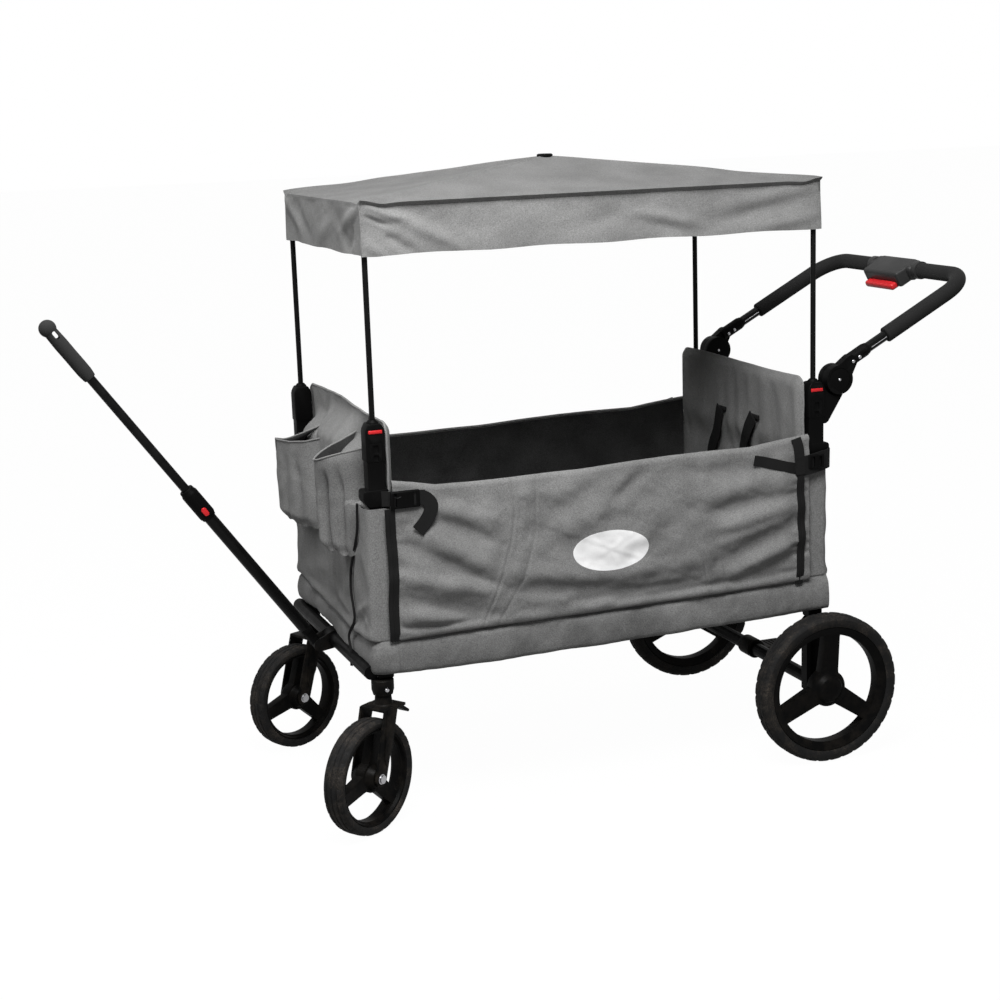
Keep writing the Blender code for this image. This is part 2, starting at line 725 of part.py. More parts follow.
def pole_socket(side):
    """A far corner's socket: a foot round the post, and a block with the pole's bore, a pocket and vents."""
    x, y = side * POST_X, POST_Y
    long, wide = SOCKET_LENGTH_X / 2, SOCKET_WIDTH_Y / 2
    foot_long, foot_wide = SOCKET_FOOT_LENGTH_X / 2, SOCKET_FOOT_WIDTH_Y / 2
    block = rounded_box(
        (x - long, y - wide, SOCKET_FOOT_Z + SMALL_EDGE), (x + long, y + wide, SOCKET_TOP_Z), SOCKET_CHAMFER
    )
    foot = rounded_box(
        (x - foot_long, y - foot_wide, SOCKET_FOOT_Z),
        (x + foot_long, y + foot_wide, SOCKET_FOOT_Z + SOCKET_FOOT_HEIGHT),
        SMALL_EDGE,
    )
    hold = POST_SIZE / 2 + GAP
    post_hole = box((x - hold, y - hold, SOCKET_FOOT_Z - CUT_REACH), (x + hold, y + hold, POST_TOP_Z + GAP))
    bore_end = SOCKET_TOP_Z - POLE_DEPTH - GAP
    bore = rod((x, y, bore_end), (x, y, SOCKET_TOP_Z + CUT_REACH), POLE_RADIUS + RUNNING_GAP, SMALL_SIDES)
    pocket_long = BUTTON_WIDTH / 2 + RUNNING_GAP
    pocket_high = BUTTON_HEIGHT / 2 + RUNNING_GAP
    floor = y + wide + BUTTON_PROUD - BUTTON_THICK - BUTTON_TRAVEL - GAP
    pocket = box(
        (x - pocket_long, floor, BUTTON_Z - pocket_high),
        (x + pocket_long, y + wide + CUT_REACH, BUTTON_Z + pocket_high),
    )
    vents = [
        box(
            (x - VENT_WIDTH / 2, y + wide - VENT_DEPTH, top - VENT_HEIGHT),
            (x + VENT_WIDTH / 2, y + wide + CUT_REACH, top),
        )
        for top in (VENT_TOP_Z, VENT_TOP_Z - VENT_SPACING)
    ]
    return block, [foot], [post_hole, bore, pocket, *vents]


def push_mount():
    """The far rear socket's fixed half of the push handle's joint, and the gusset under it."""
    pivot = (PUSH_PIVOT_X, PUSH_PIVOT_Z)
    edge = POST_X + SOCKET_LENGTH_X / 2 - WELD
    thick = PUSH_HUB_SPLIT_Y - PUSH_HUB_INNER_Y
    disc = outline(circle(pivot, PUSH_HUB_RADIUS, WHEEL_SIDES), thick)
    moved(disc, (0, PUSH_HUB_INNER_Y + thick / 2, 0))
    radius = PUSH_HUB_RADIUS
    points = [
        (edge, GUSSET_BOTTOM_Z),
        (edge + radius * 0.35, GUSSET_BOTTOM_Z + radius * 0.08),
        (pivot[0] + radius * 0.35, pivot[1] - radius * 0.80),
        (pivot[0] + radius * 0.10, pivot[1] - radius * 0.10),
        (edge, pivot[1] - SOCKET_CHAMFER * 2),
    ]
    gusset_thick = POST_Y + SOCKET_WIDTH_Y / 2 - PUSH_HUB_INNER_Y - WELD
    gusset = outline(points, gusset_thick)
    moved(gusset, (0, PUSH_HUB_INNER_Y + gusset_thick / 2 + GAP, 0))
    reach = POST_Y + SOCKET_WIDTH_Y
    split = PUSH_HUB_SPLIT_Y + GAP / 3
    hub_room = rod((pivot[0], split, pivot[1]), (pivot[0], reach, pivot[1]), radius + GAP, WHEEL_SIDES)
    hole = PUSH_PIN_RADIUS + RUNNING_GAP
    pin_start = split - 2 * CUT_REACH
    pin_hole = rod((pivot[0], pin_start, pivot[1]), (pivot[0], reach, pivot[1]), hole, SMALL_SIDES)
    return [gusset, disc], [hub_room, pin_hole]


def make_sockets():
    """The four corner sockets, with the push handle's mounts on the rear ones, and their red buttons."""
    for end, side in (("rear", 1), ("front", -1)):
        block, joins, cuts = pole_socket(side)
        if side > 0:
            mount, rooms = push_mount()
            joins, cuts = joins + mount, cuts + rooms
        add_pair(end + "_pole_socket", "plastic", end + "_frame", block, joins=joins, cuts=cuts)
        outer = POST_Y + SOCKET_WIDTH_Y / 2 + BUTTON_PROUD
        x = side * POST_X
        button = rounded_box(
            (x - BUTTON_WIDTH / 2, outer - BUTTON_THICK, BUTTON_Z - BUTTON_HEIGHT / 2),
            (x + BUTTON_WIDTH / 2, outer, BUTTON_Z + BUTTON_HEIGHT / 2),
            FINE_EDGE,
        )
        add_pair(end + "_pole_button", "red", end + "_button_{side}", button)


def canopy_height(share, across=1.0):
    """The roof's height from the peak, share 0, to the edge, 1. Across is 0 mid-side and 1 on a ridge."""
    slope = CANOPY_RISE * (1 - share) ** CANOPY_SLOPE_POWER
    tip = CANOPY_TIP * share**8 * across**8
    sag = CANOPY_SAG * math.sin(math.pi * share / 2) ** 2 * (1 - across**2)
    return CANOPY_EDGE_Z + slope + tip - sag


def canopy_rim():
    """Points once round the roof's edge, as shares of its half sizes, with side, run and outward way."""
    rim = []
    for name, (x0, y0), (x1, y1), out, steps in CANOPY_SIDES:
        for i in range(steps):
            part = i / steps
            rim.append((x0 + (x1 - x0) * part, y0 + (y1 - y0) * part, name, part, out))
    return rim


def roof_ring(share):
    """A rectangle of the roof, with points along its sides at the roof's height."""
    ring = []
    for x, y, *_ in canopy_rim():
        z = canopy_height(share, min(abs(x), abs(y)))
        ring.append((x * CANOPY_HALF_LENGTH * share, y * CANOPY_HALF_WIDTH * share, z))
    return ring


def valance_stand(name, part, length):
    """How far the main folds stand out at a place along a side."""
    return sum(
        height * math.exp(-(((part - at) * length / reach) ** 2))
        for side, at, reach, height in VALANCE_FOLDS
        if side == name and part > 0
    )


def valance_ring(depth):
    """A ring of the valance, at a depth from its top, 0, to its hem, 1, with the main folds standing out."""
    ring = []
    hem = CANOPY_EDGE_Z - CANOPY_VALANCE
    for x, y, name, part, out in canopy_rim():
        length = 2 * (CANOPY_HALF_LENGTH if out[0] == 0 else CANOPY_HALF_WIDTH)
        shift = valance_stand(name, part, length) * depth
        edge = canopy_height(1.0, min(abs(x), abs(y)))
        place = (x * CANOPY_HALF_LENGTH + out[0] * shift, y * CANOPY_HALF_WIDTH + out[1] * shift)
        ring.append((*place, edge + (hem - edge) * depth))
    return ring


def make_canopy():
    """The roof cloth with its valance, the ribs and hub that hold it up, and the four poles."""
    cloth = loft(
        [valance_ring(depth) for depth in (1.0, 0.66, 0.33)]
        + [roof_ring(share) for share in (1.0, 0.92, 0.8, 0.6, 0.4, 0.2, PEAK_HOLE_SHARE)],
        cap_first=False,
        cap_last=False,
    )
    add_part("canopy_cloth", "fabric", "canopy", cloth, wall=CANOPY_CLOTH)

    under = CANOPY_CLOTH + RIB_RADIUS + 3 * SLIDE_GAP
    pole_share = max(POST_X / CANOPY_HALF_LENGTH, POST_Y / CANOPY_HALF_WIDTH)
    first, last = pole_share - RIB_INSET_SHARE, PEAK_HOLE_SHARE / 2
    steps = [first + (last - first) * i / 5 for i in range(6)]
    ribs = []
    for x_side in (-1, 1):
        x_size, y_size = x_side * CANOPY_HALF_LENGTH, CANOPY_HALF_WIDTH
        line = [(x_size * share, y_size * share, canopy_height(share) - under) for share in steps]
        ribs += both_sides(tube(line, RIB_RADIUS, resolution=1))
    hub_top = canopy_height(PEAK_HOLE_SHARE * 2) - CANOPY_CLOTH - 3 * SLIDE_GAP
    cap_bottom = canopy_height(PEAK_HOLE_SHARE) + GAP
    hub = turned(
        [
            (0, cap_bottom + PEAK_CAP_THICK),
            (PEAK_CAP_RADIUS * 0.8, cap_bottom + PEAK_CAP_THICK),
            (PEAK_CAP_RADIUS, cap_bottom),
            (PEAK_STEM_RADIUS, cap_bottom),
            (PEAK_STEM_RADIUS, hub_top),
            (HUB_RADIUS, hub_top),
            (HUB_RADIUS, hub_top - HUB_THICK),
            (0, hub_top - HUB_THICK),
        ]
    )
    add_part("canopy_ribs", "frame", "canopy", hub, joins=ribs)

    pole_top = canopy_height(pole_share) - CANOPY_CLOTH - CANOPY_POLE_GAP
    for end, body, x in (("rear", "canopy", POST_X), ("front", "front_poles", -POST_X)):
        pole = rod((x, POST_Y, SOCKET_TOP_Z - POLE_DEPTH), (x, POST_Y, pole_top), POLE_RADIUS, SMALL_SIDES)
        add_pair(end + "_pole", "frame", body, pole)


def end_slab(top_z, bottom_z, wide_half, x_low):
    """A slab across the wagon: wide below the sockets, narrow between them, with round top corners."""
    radius = END_CORNER_RADIUS
    right = [(wide_half, bottom_z), (wide_half, END_SHOULDER_Z), (END_NARROW_HALF, END_SHOULDER_Z)]
    right += arc((END_NARROW_HALF - radius, top_z - radius), radius, 0, math.pi / 2, 5)
    slab = outline(right + [(-y, z) for y, z in reversed(right)], CLOTH)
    slab.transform(Matrix.Rotation(math.radians(90), 4, "Z"))
    return moved(slab, (x_low + CLOTH / 2, 0, 0))


def make_end_panels():
    """The front and rear panels: an outer layer, a lining, and the cloth that goes round the posts."""
    for end, side, top in (("front", -1, END_TOP_Z), ("rear", 1, REAR_TOP_Z)):
        outer_x = OUTER_PANEL_X if side > 0 else -OUTER_PANEL_X - CLOTH
        outer = end_slab(top, FRONT_PANEL_BOTTOM_Z, END_WIDE_HALF, outer_x)
        lining_x = LINING_X if side > 0 else -LINING_X - CLOTH
        lining = end_slab(top, LINING_BOTTOM_Z, END_WIDE_HALF - WRAP_THICK + SEAM, lining_x)
        x = sorted((side * WRAP_END_X, side * (OUTER_PANEL_X + CLOTH / 2)))
        wrap = box(
            (x[0], END_WIDE_HALF - WRAP_THICK, FRONT_PANEL_BOTTOM_Z + SEAM),
            (x[1], END_WIDE_HALF - SEAM / 5, END_SHOULDER_Z - SEAM),
        )
        joins = [lining, *both_sides(wrap)]
        if side > 0:
            strap_x = LINING_X - HARNESS_THICK
            harness = rounded_box(
                (strap_x, HARNESS_Y - HARNESS_WIDTH / 2, HARNESS_BOTTOM_Z),
                (LINING_X + SEAM, HARNESS_Y + HARNESS_WIDTH / 2, HARNESS_TOP_Z),
                FINE_EDGE,
            )
            joins += both_sides(harness)
        add_part(end + "_panel", "fabric", end + "_frame", outer, joins=joins)


def strap(points, z, width):
    """A band that stands on edge along an outline of (x, y) points."""
    band = outline(points, width)
    band.transform(Matrix.Rotation(math.radians(-90), 4, "X"))
    return moved(band, (0, 0, z + width / 2))


def make_side_panels():
    """The side panels, each with its skirt and with the webbing sewn on that ties it to the corners."""
    inner, outer = SIDE_INNER_Y, SIDE_INNER_Y + SIDE_THICK
    low = SKIRT_TOP_Z - SKIRT_OVERLAP
    panel = rounded_box((-SIDE_HALF_LENGTH, inner, low), (SIDE_HALF_LENGTH, outer, SIDE_TOP_Z), SMALL_EDGE)
    skirt_half = POST_X + POST_SIZE / 2 + CLOTH
    skirt = rounded_box(
        (-skirt_half, inner, SKIRT_BOTTOM_Z), (skirt_half, inner + SKIRT_THICK, SKIRT_TOP_Z), SOFT_EDGE
    )
    sewn = outer - SEAM
    foot = POST_Y + SOCKET_FOOT_WIDTH_Y / 2 + GAP
    foot_x = POST_X + SOCKET_FOOT_LENGTH_X / 2
    front_x = -foot_x + STRAP_THICK * 2
    corner_x = -SIDE_HALF_LENGTH - GAP
    front = [
        (front_x, foot),
        (corner_x, foot),
        (corner_x, sewn),
        (FRONT_STRAP_END_X, sewn),
        (FRONT_STRAP_END_X, sewn + STRAP_THICK),
        (front_x, sewn + STRAP_THICK),
    ]
    rear_x = max(foot_x, OUTER_PANEL_X + CLOTH) + GAP
    rear = [
        (REAR_STRAP_START_X, sewn),
        (rear_x, sewn),
        (rear_x, sewn - REAR_STRAP_WRAP),
        (rear_x + STRAP_THICK, sewn - REAR_STRAP_WRAP),
        (rear_x + STRAP_THICK, sewn + STRAP_THICK),
        (REAR_STRAP_START_X, sewn + STRAP_THICK),
    ]
    straps = [
        strap(front, FRONT_STRAP_Z, FRONT_STRAP_WIDTH),
        strap(rear, REAR_STRAP_Z - REAR_STRAP_WIDTH / 2, REAR_STRAP_WIDTH),
    ]
    add_pair("side_panel", "fabric", "rear_frame", panel, joins=[skirt, *straps])


def make_pockets():
    """The two bottle pockets: D-shaped bags, narrower at the foot, with mouths that rise to the panel."""
    back = -OUTER_PANEL_X - CLOTH - GAP
    for side, sizes in (("near", POCKET_NEAR), ("far", POCKET_FAR)):
        rings = []
        for share in POCKET_ROWS:
            spread = POCKET_TAPER + (1 - POCKET_TAPER) * min(1.0, share * POCKET_SPREAD_RATE)
            depth = sizes["depth"] * (spread if share > 0 else spread * POCKET_FOOT_SHARE)
            ring = []
            for along, away in arc((0, 0), 1.0, 0, math.pi, 10):
                top = sizes["rim"] + POCKET_BACK_RISE * (1 - away)
                z = sizes["bottom"] + (top - sizes["bottom"]) * share
                ring.append((back - depth * away, sizes["y"] + sizes["half"] * spread * along, z))
            rings.append(ring)
        bag = loft(rings, cap_last=False)
        add_part("bottle_pocket_" + side, "fabric", "front_frame", bag, wall=POCKET_WALL)


def make_mat(x_low, x_high):
    """A padded mat: a low crown, round edges and sides drawn in between the corners."""
    rings = []
    for inset, height in MAT_CROWN:
        low, high, half = x_low + inset, x_high - inset, MAT_HALF_WIDTH - inset
        z = MAT_BOTTOM_Z + MAT_THICK * height
        corners = ((low, -half, 0, 1), (high, -half, -1, 0), (high, half, 0, -1), (low, half, 1, 0))
        ring = []
        for (x0, y0, draw_x, draw_y), (x1, y1, *_) in zip(corners, corners[1:] + corners[:1]):
            for i in range(MAT_STEPS):
                part = i / MAT_STEPS
                draw = MAT_DRAW * math.sin(math.pi * part)
                ring.append((x0 + (x1 - x0) * part + draw_x * draw, y0 + (y1 - y0) * part + draw_y * draw, z))
        rings.append(ring)
    return loft(rings)


def make_floor():
    """The two halves of the folding floor, each a board on rails with hinge lugs, and a mat on it."""
    rail_end = FLOOR_HINGE_X - RAIL_END_CLEAR
    rail_top = RAIL_BOTTOM_Z + RAIL_HEIGHT
    lug_y = RAIL_Y + LUG_THICK
    front_lug_y = lug_y - LUG_THICK - GAP
    middle = (0.0, FLOOR_MIDDLE_Z)
    hinge_hole = HINGE_PIN_RADIUS + RUNNING_GAP
    middle_hole = MIDDLE_PIN_RADIUS + RUNNING_GAP
    for end, side in (("rear", 1), ("front", -1)):
        body = end + "_floor"
        x = sorted((side * RAIL_MIDDLE_CLEAR, side * rail_end))
        rail_y = (RAIL_Y - RAIL_WIDTH / 2, RAIL_Y + RAIL_WIDTH / 2)
        rail = rounded_box((x[0], rail_y[0], RAIL_BOTTOM_Z), (x[1], rail_y[1], rail_top), SMALL_EDGE)
        hinge = (side * FLOOR_HINGE_X, FLOOR_HINGE_Z)
        inner = (side * (rail_end - LUG_RADIUS * 1.5), FLOOR_HINGE_Z - LUG_RADIUS * 0.35)
        end_lug = outline(
            link_outline(inner, hinge, LUG_RADIUS * 0.875), LUG_THICK, [circle(hinge, hinge_hole)]
        )
        moved(end_lug, (0, lug_y + LUG_THICK / 2, 0))
        inner = (side * MIDDLE_LUG_RADIUS * 3, FLOOR_MIDDLE_Z + RAIL_HEIGHT / 2)
        holes = [circle(middle, middle_hole)] if side > 0 else []
        middle_lug = outline(link_outline(inner, middle, MIDDLE_LUG_RADIUS), LUG_THICK, holes)
        moved(middle_lug, (0, (lug_y if side > 0 else front_lug_y) + LUG_THICK / 2, 0))
        joins = both_sides(rail, end_lug, middle_lug)
        if side < 0:
            pin = rod(
                (0, front_lug_y + LUG_THICK / 2, FLOOR_MIDDLE_Z),
                (0, lug_y + LUG_THICK + 3 * GAP, FLOOR_MIDDLE_Z),
                MIDDLE_PIN_RADIUS,
                SMALL_SIDES,
            )
            joins += both_sides(pin)
        x = sorted((side * GAP, side * (FLOOR_HINGE_X - BOARD_END_CLEAR)))
        board = box(
            (x[0], -BOARD_HALF_WIDTH, rail_top - SEAM), (x[1], BOARD_HALF_WIDTH, BOARD_TOP_Z)
        )
        add_part(end + "_floor_board", "plastic", body, board, joins=joins)
        mat = make_mat(x[0], x[1])
        loop = rounded_box(
            (FOLD_STRAP_WIDTH, -FOLD_STRAP_WIDTH / 2, MAT_TOP_Z - FOLD_STRAP_THICK),
            (FOLD_STRAP_WIDTH + FOLD_STRAP_LENGTH, FOLD_STRAP_WIDTH / 2, MAT_TOP_Z + FOLD_STRAP_THICK),
            FINE_EDGE,
        )
        add_part(end + "_floor_mat", "lining", body, mat, joins=[loop] if side > 0 else [])


def make_rear_axle():
    """The rear feet with the tube between them, the axle, and the brake pedal that turns on the tube."""
    x, z = REAR_AXLE_X, REAR_WHEEL_RADIUS
    wide = FOOT_WIDTH_Y / 2
    hub_inner = REAR_WHEEL_Y - REAR_HUB_WIDTH / 2
    foot = rounded_box(
        (POST_X - FOOT_LENGTH_X / 2, POST_Y - wide, z - FOOT_BELOW_AXLE),
        (POST_X + FOOT_LENGTH_X / 2, POST_Y + wide, POST_BOTTOM_Z - GAP),
        ROUND_EDGE,
    )
    spacer = rod((x, POST_Y, z), (x, hub_inner - GAP, z), SPACER_RADIUS)
    reach = hub_inner + CUT_REACH
    bore = rod((x, -reach, z), (x, reach, z), AXLE_RADIUS + GAP)
    carrier = rod((x, -POST_Y, z), (x, POST_Y, z), AXLE_TUBE_RADIUS)
    add_part(
        "rear_axle_carrier", "frame", "rear_frame", carrier, joins=both_sides(foot, spacer), cuts=[bore]
    )
    end = REAR_WHEEL_Y + REAR_HUB_WIDTH / 2 - HUB_CAP_THICK - 2 * GAP
    add_part("rear_axle", "steel", "rear_frame", rod((x, -end, z), (x, end, z), AXLE_RADIUS))

    half = PEDAL_WIDTH / 2
    inner = AXLE_TUBE_RADIUS + RUNNING_GAP
    collar_half = half * PEDAL_COLLAR_SHARE
    collar = turned(
        [
            (inner, collar_half),
            (PEDAL_COLLAR_RADIUS, collar_half),
            (PEDAL_COLLAR_RADIUS, -collar_half),
            (inner, -collar_half),
        ],
        axis="Y",
    )
    thick = PEDAL_THICK / 2
    plate = rounded_box(
        (x + inner + PEDAL_ROOT, -half, z - PEDAL_DROP - thick),
        (x + PEDAL_REACH, half, z - PEDAL_DROP + thick),
        ROUND_EDGE,
        2,
    )
    add_part("brake_pedal", "plastic", "brake", moved(collar, (x, 0, z)), joins=[plate])


def wheel_window(start, end, inner, outer, spoke_width):
    """The outline of an opening between two spokes, whose middles are at the two angles."""
    half = spoke_width / 2
    outer_lean = math.asin(half / outer)
    inner_lean = math.asin(half / inner)
    return arc((0, 0), outer, start + outer_lean, end - outer_lean, 6) + arc(
        (0, 0), inner, end - inner_lean, start + inner_lean, 3
    )


def make_wheel(body, sizes, cap_side=0):
    """A tyre on a three-spoke rim, which turn about the body's own Y axis. A cap closes one side's bore."""
    radius, half = sizes["radius"], sizes["width"] / 2
    rim_radius = radius - sizes["tyre"]
    ring_inner = rim_radius - sizes["ring"]
    rim_half, shoulder = half * TYRE_SEAT_SHARE, rim_radius + sizes["tyre"] * TYRE_SHOULDER_SHARE
    edge = radius - sizes["tyre"] * TYRE_EDGE_DEPTH
    upper = [(rim_radius + GAP, rim_half), (shoulder, half)]
    upper += [(edge, half * TYRE_EDGE_WIDTH), (radius, half * TYRE_CROWN_SHARE)]
    tyre = upper + [(r, -y) for r, y in reversed(upper)]
    add_part(body + "_tyre", "rubber", body, turned(tyre, WHEEL_SIDES, "Y", flats=True))
    hub, hub_half, web = sizes["hub"], sizes["hub_width"] / 2, sizes["web"] / 2
    upper = [(sizes["bore"], hub_half), (hub * HUB_FACE_SHARE, hub_half), (hub, web)]
    upper += [(ring_inner, web), (rim_radius, rim_half)]
    rim = upper + [(r, -y) for r, y in reversed(upper)]
    third = 2 * math.pi / 3
    first = math.radians(sizes["spoke_angle"])
    room = (hub * WINDOW_CLEAR_SHARE, ring_inner - WINDOW_INSET, sizes["spoke"])
    windows = [
        outline(wheel_window(first + i * third, first + (i + 1) * third, *room), web * 4) for i in range(3)
    ]
    caps = []
    if cap_side:
        outer = cap_side * hub_half
        inner = outer - cap_side * HUB_CAP_THICK
        caps.append(rod((0, inner, 0), (0, outer, 0), hub * HUB_FACE_SHARE, WHEEL_SIDES))
    shape = turned(rim, WHEEL_SIDES, "Y", flats=True)
    add_part(body + "_rim", "plastic", body, shape, joins=caps, cuts=windows)


def make_wheels():
    """All four wheels. The rear ones have caps over the ends of their axle."""
    rear = {
        "radius": REAR_WHEEL_RADIUS,
        "width": REAR_TYRE_WIDTH,
        "tyre": REAR_TYRE_DEPTH,
        "ring": REAR_RING_DEPTH,
        "web": REAR_WEB,
        "hub": REAR_HUB_RADIUS,
        "hub_width": REAR_HUB_WIDTH,
        "bore": AXLE_RADIUS + GAP,
        "spoke": REAR_SPOKE_WIDTH,
        "spoke_angle": REAR_SPOKE_ANGLE,
    }
    front = {
        "radius": FRONT_WHEEL_RADIUS,
        "width": FRONT_TYRE_WIDTH,
        "tyre": FRONT_TYRE_DEPTH,
        "ring": FRONT_RING_DEPTH,
        "web": FRONT_WEB,
        "hub": FRONT_HUB_RADIUS,
        "hub_width": FRONT_HUB_WIDTH,
        "bore": WHEEL_BOLT_RADIUS + GAP,
        "spoke": FRONT_SPOKE_WIDTH,
        "spoke_angle": FRONT_SPOKE_ANGLE,
    }
    for side, sign in SIDES:
        make_wheel("rear_wheel_" + side, rear, cap_side=sign)
        make_wheel("front_wheel_" + side, front)


def make_casters():
    """The swivel housings under the front posts, and each caster's fork, bolt and lock lever."""
    height = POST_BOTTOM_Z - GAP - SWIVEL_Z
    stem_top = height - STEM_TOP_CLEAR
    bore = STEM_RADIUS + RUNNING_GAP
    housing = turned(
        [
            (0, height),
            (HOUSING_RADIUS, height),
            (HOUSING_RADIUS, height * HOUSING_TAPER_HEIGHT),
            (HOUSING_RADIUS * HOUSING_FOOT_SHARE, 0),
            (bore, 0),
            (bore, stem_top + GAP),
            (0, stem_top + GAP),
        ]
    )
    moved(housing, (SWIVEL_X, SWIVEL_Y, SWIVEL_Z))
    add_pair("caster_housing", "plastic", "front_frame", housing)

    leg_inner = FRONT_HUB_WIDTH / 2 + 2 * GAP
    leg_outer = leg_inner + FORK_LEG
    low, high = FORK_BRIDGE_Z - SWIVEL_Z, FORK_BRIDGE_Z + FORK_PLATE - SWIVEL_Z
    wheel = (FRONT_WHEEL_PLACE[0], FRONT_WHEEL_PLACE[2])
    leg_points = [(FORK_LEG_FRONT, high - SEAM), (FORK_BRIDGE_BACK - SEAM, high - SEAM)]
    leg_points += arc(wheel, FORK_LEG_RADIUS, math.radians(165), math.radians(345), 8)
    leg = outline(leg_points, FORK_LEG, [circle(wheel, WHEEL_BOLT_RADIUS + GAP)])
    moved(leg, (0, leg_inner + FORK_LEG / 2, 0))
    lever_at = (LEVER_PLACE[0], LEVER_PLACE[2])
    ear_root = (FORK_BRIDGE_FRONT - LEVER_EAR_ROOT, low + FORK_PLATE / 3)
    hole = circle(lever_at, LEVER_PIN_RADIUS + RUNNING_GAP)
    ear = outline(
        link_outline(ear_root, lever_at, LEVER_EAR_RADIUS, LEVER_EAR_RADIUS - SEAM), LEVER_EAR_THICK, [hole]
    )
    moved(ear, (0, LEVER_HALF_WIDTH + GAP + LEVER_EAR_THICK / 2, 0))
    stem = turned(
        [
            (0, stem_top - GAP),
            (STEM_RADIUS, stem_top - GAP),
            (STEM_RADIUS, -GAP),
            (STEM_NECK_RADIUS, -GAP),
            (STEM_NECK_RADIUS, low + FORK_PLATE / 2),
            (0, low + FORK_PLATE / 2),
        ]
    )
    bridge = box((FORK_BRIDGE_BACK, SEAM - leg_outer, low), (FORK_BRIDGE_FRONT, leg_outer - SEAM, high))
    end = leg_outer + GAP
    head = end + BOLT_HEAD_THICK
    bolt = turned(
        [
            (0, head),
            (BOLT_HEAD_RADIUS, head),
            (BOLT_HEAD_RADIUS, end),
            (WHEEL_BOLT_RADIUS, end),
            (WHEEL_BOLT_RADIUS, -end),
            (BOLT_HEAD_RADIUS, -end),
            (BOLT_HEAD_RADIUS, -head),
            (0, -head),
        ],
        SMALL_SIDES,
        "Y",
    )
    moved(bolt, (wheel[0], 0, wheel[1]))
    tip = (LEVER_TIP_X - LEVER_HINGE_X, LEVER_TIP_Z - LEVER_HINGE_Z)
    tip_radius = LEVER_RADIUS * LEVER_TIP_SHARE
    lever = outline(link_outline((0, 0), tip, LEVER_RADIUS, tip_radius), 2 * LEVER_HALF_WIDTH)
    pin_end = LEVER_HALF_WIDTH + LEVER_EAR_THICK
    pin = rod((0, -pin_end, 0), (0, pin_end, 0), LEVER_PIN_RADIUS, SMALL_SIDES)
    add_pair("caster_fork", "plastic", "caster_{side}", bridge, joins=[*both_sides(leg, ear), stem])
    add_pair("front_wheel_bolt", "steel", "caster_{side}", bolt)
    add_pair("swivel_lock_lever", "plastic", "swivel_lock_{side}", lever, joins=[pin])


def push_point(along, y, up=0.0):
    """A point of the push handle: along its arms, across the wagon, and square to its plane."""
    return PUSH_START + along * PUSH_ALONG + up * PUSH_UP + Vector((0, y, 0))


def push_bend(start, end_y):
    """The handle's line on the far side: up the arm, round the bend and along the crossbar."""
    radius = PUSH_BEND_RADIUS
    turn = arc((PUSH_CROSSBAR - radius, PUSH_ARM_Y - radius), radius, math.pi / 2, 0, 8)
    return [push_point(along, y) for along, y in [(start, PUSH_ARM_Y), *turn, (PUSH_CROSSBAR, end_y)]]


def push_box(low, high, radius=0.0):
    """A box in the push handle's own directions: along, across, up."""
    mesh = rounded_box(low, high, radius, 2) if radius else box(low, high)
    turn = Matrix((PUSH_ALONG, (0, 1, 0), PUSH_UP)).transposed().to_4x4()
    return moved(mesh, Matrix.Translation(PUSH_START) @ turn)


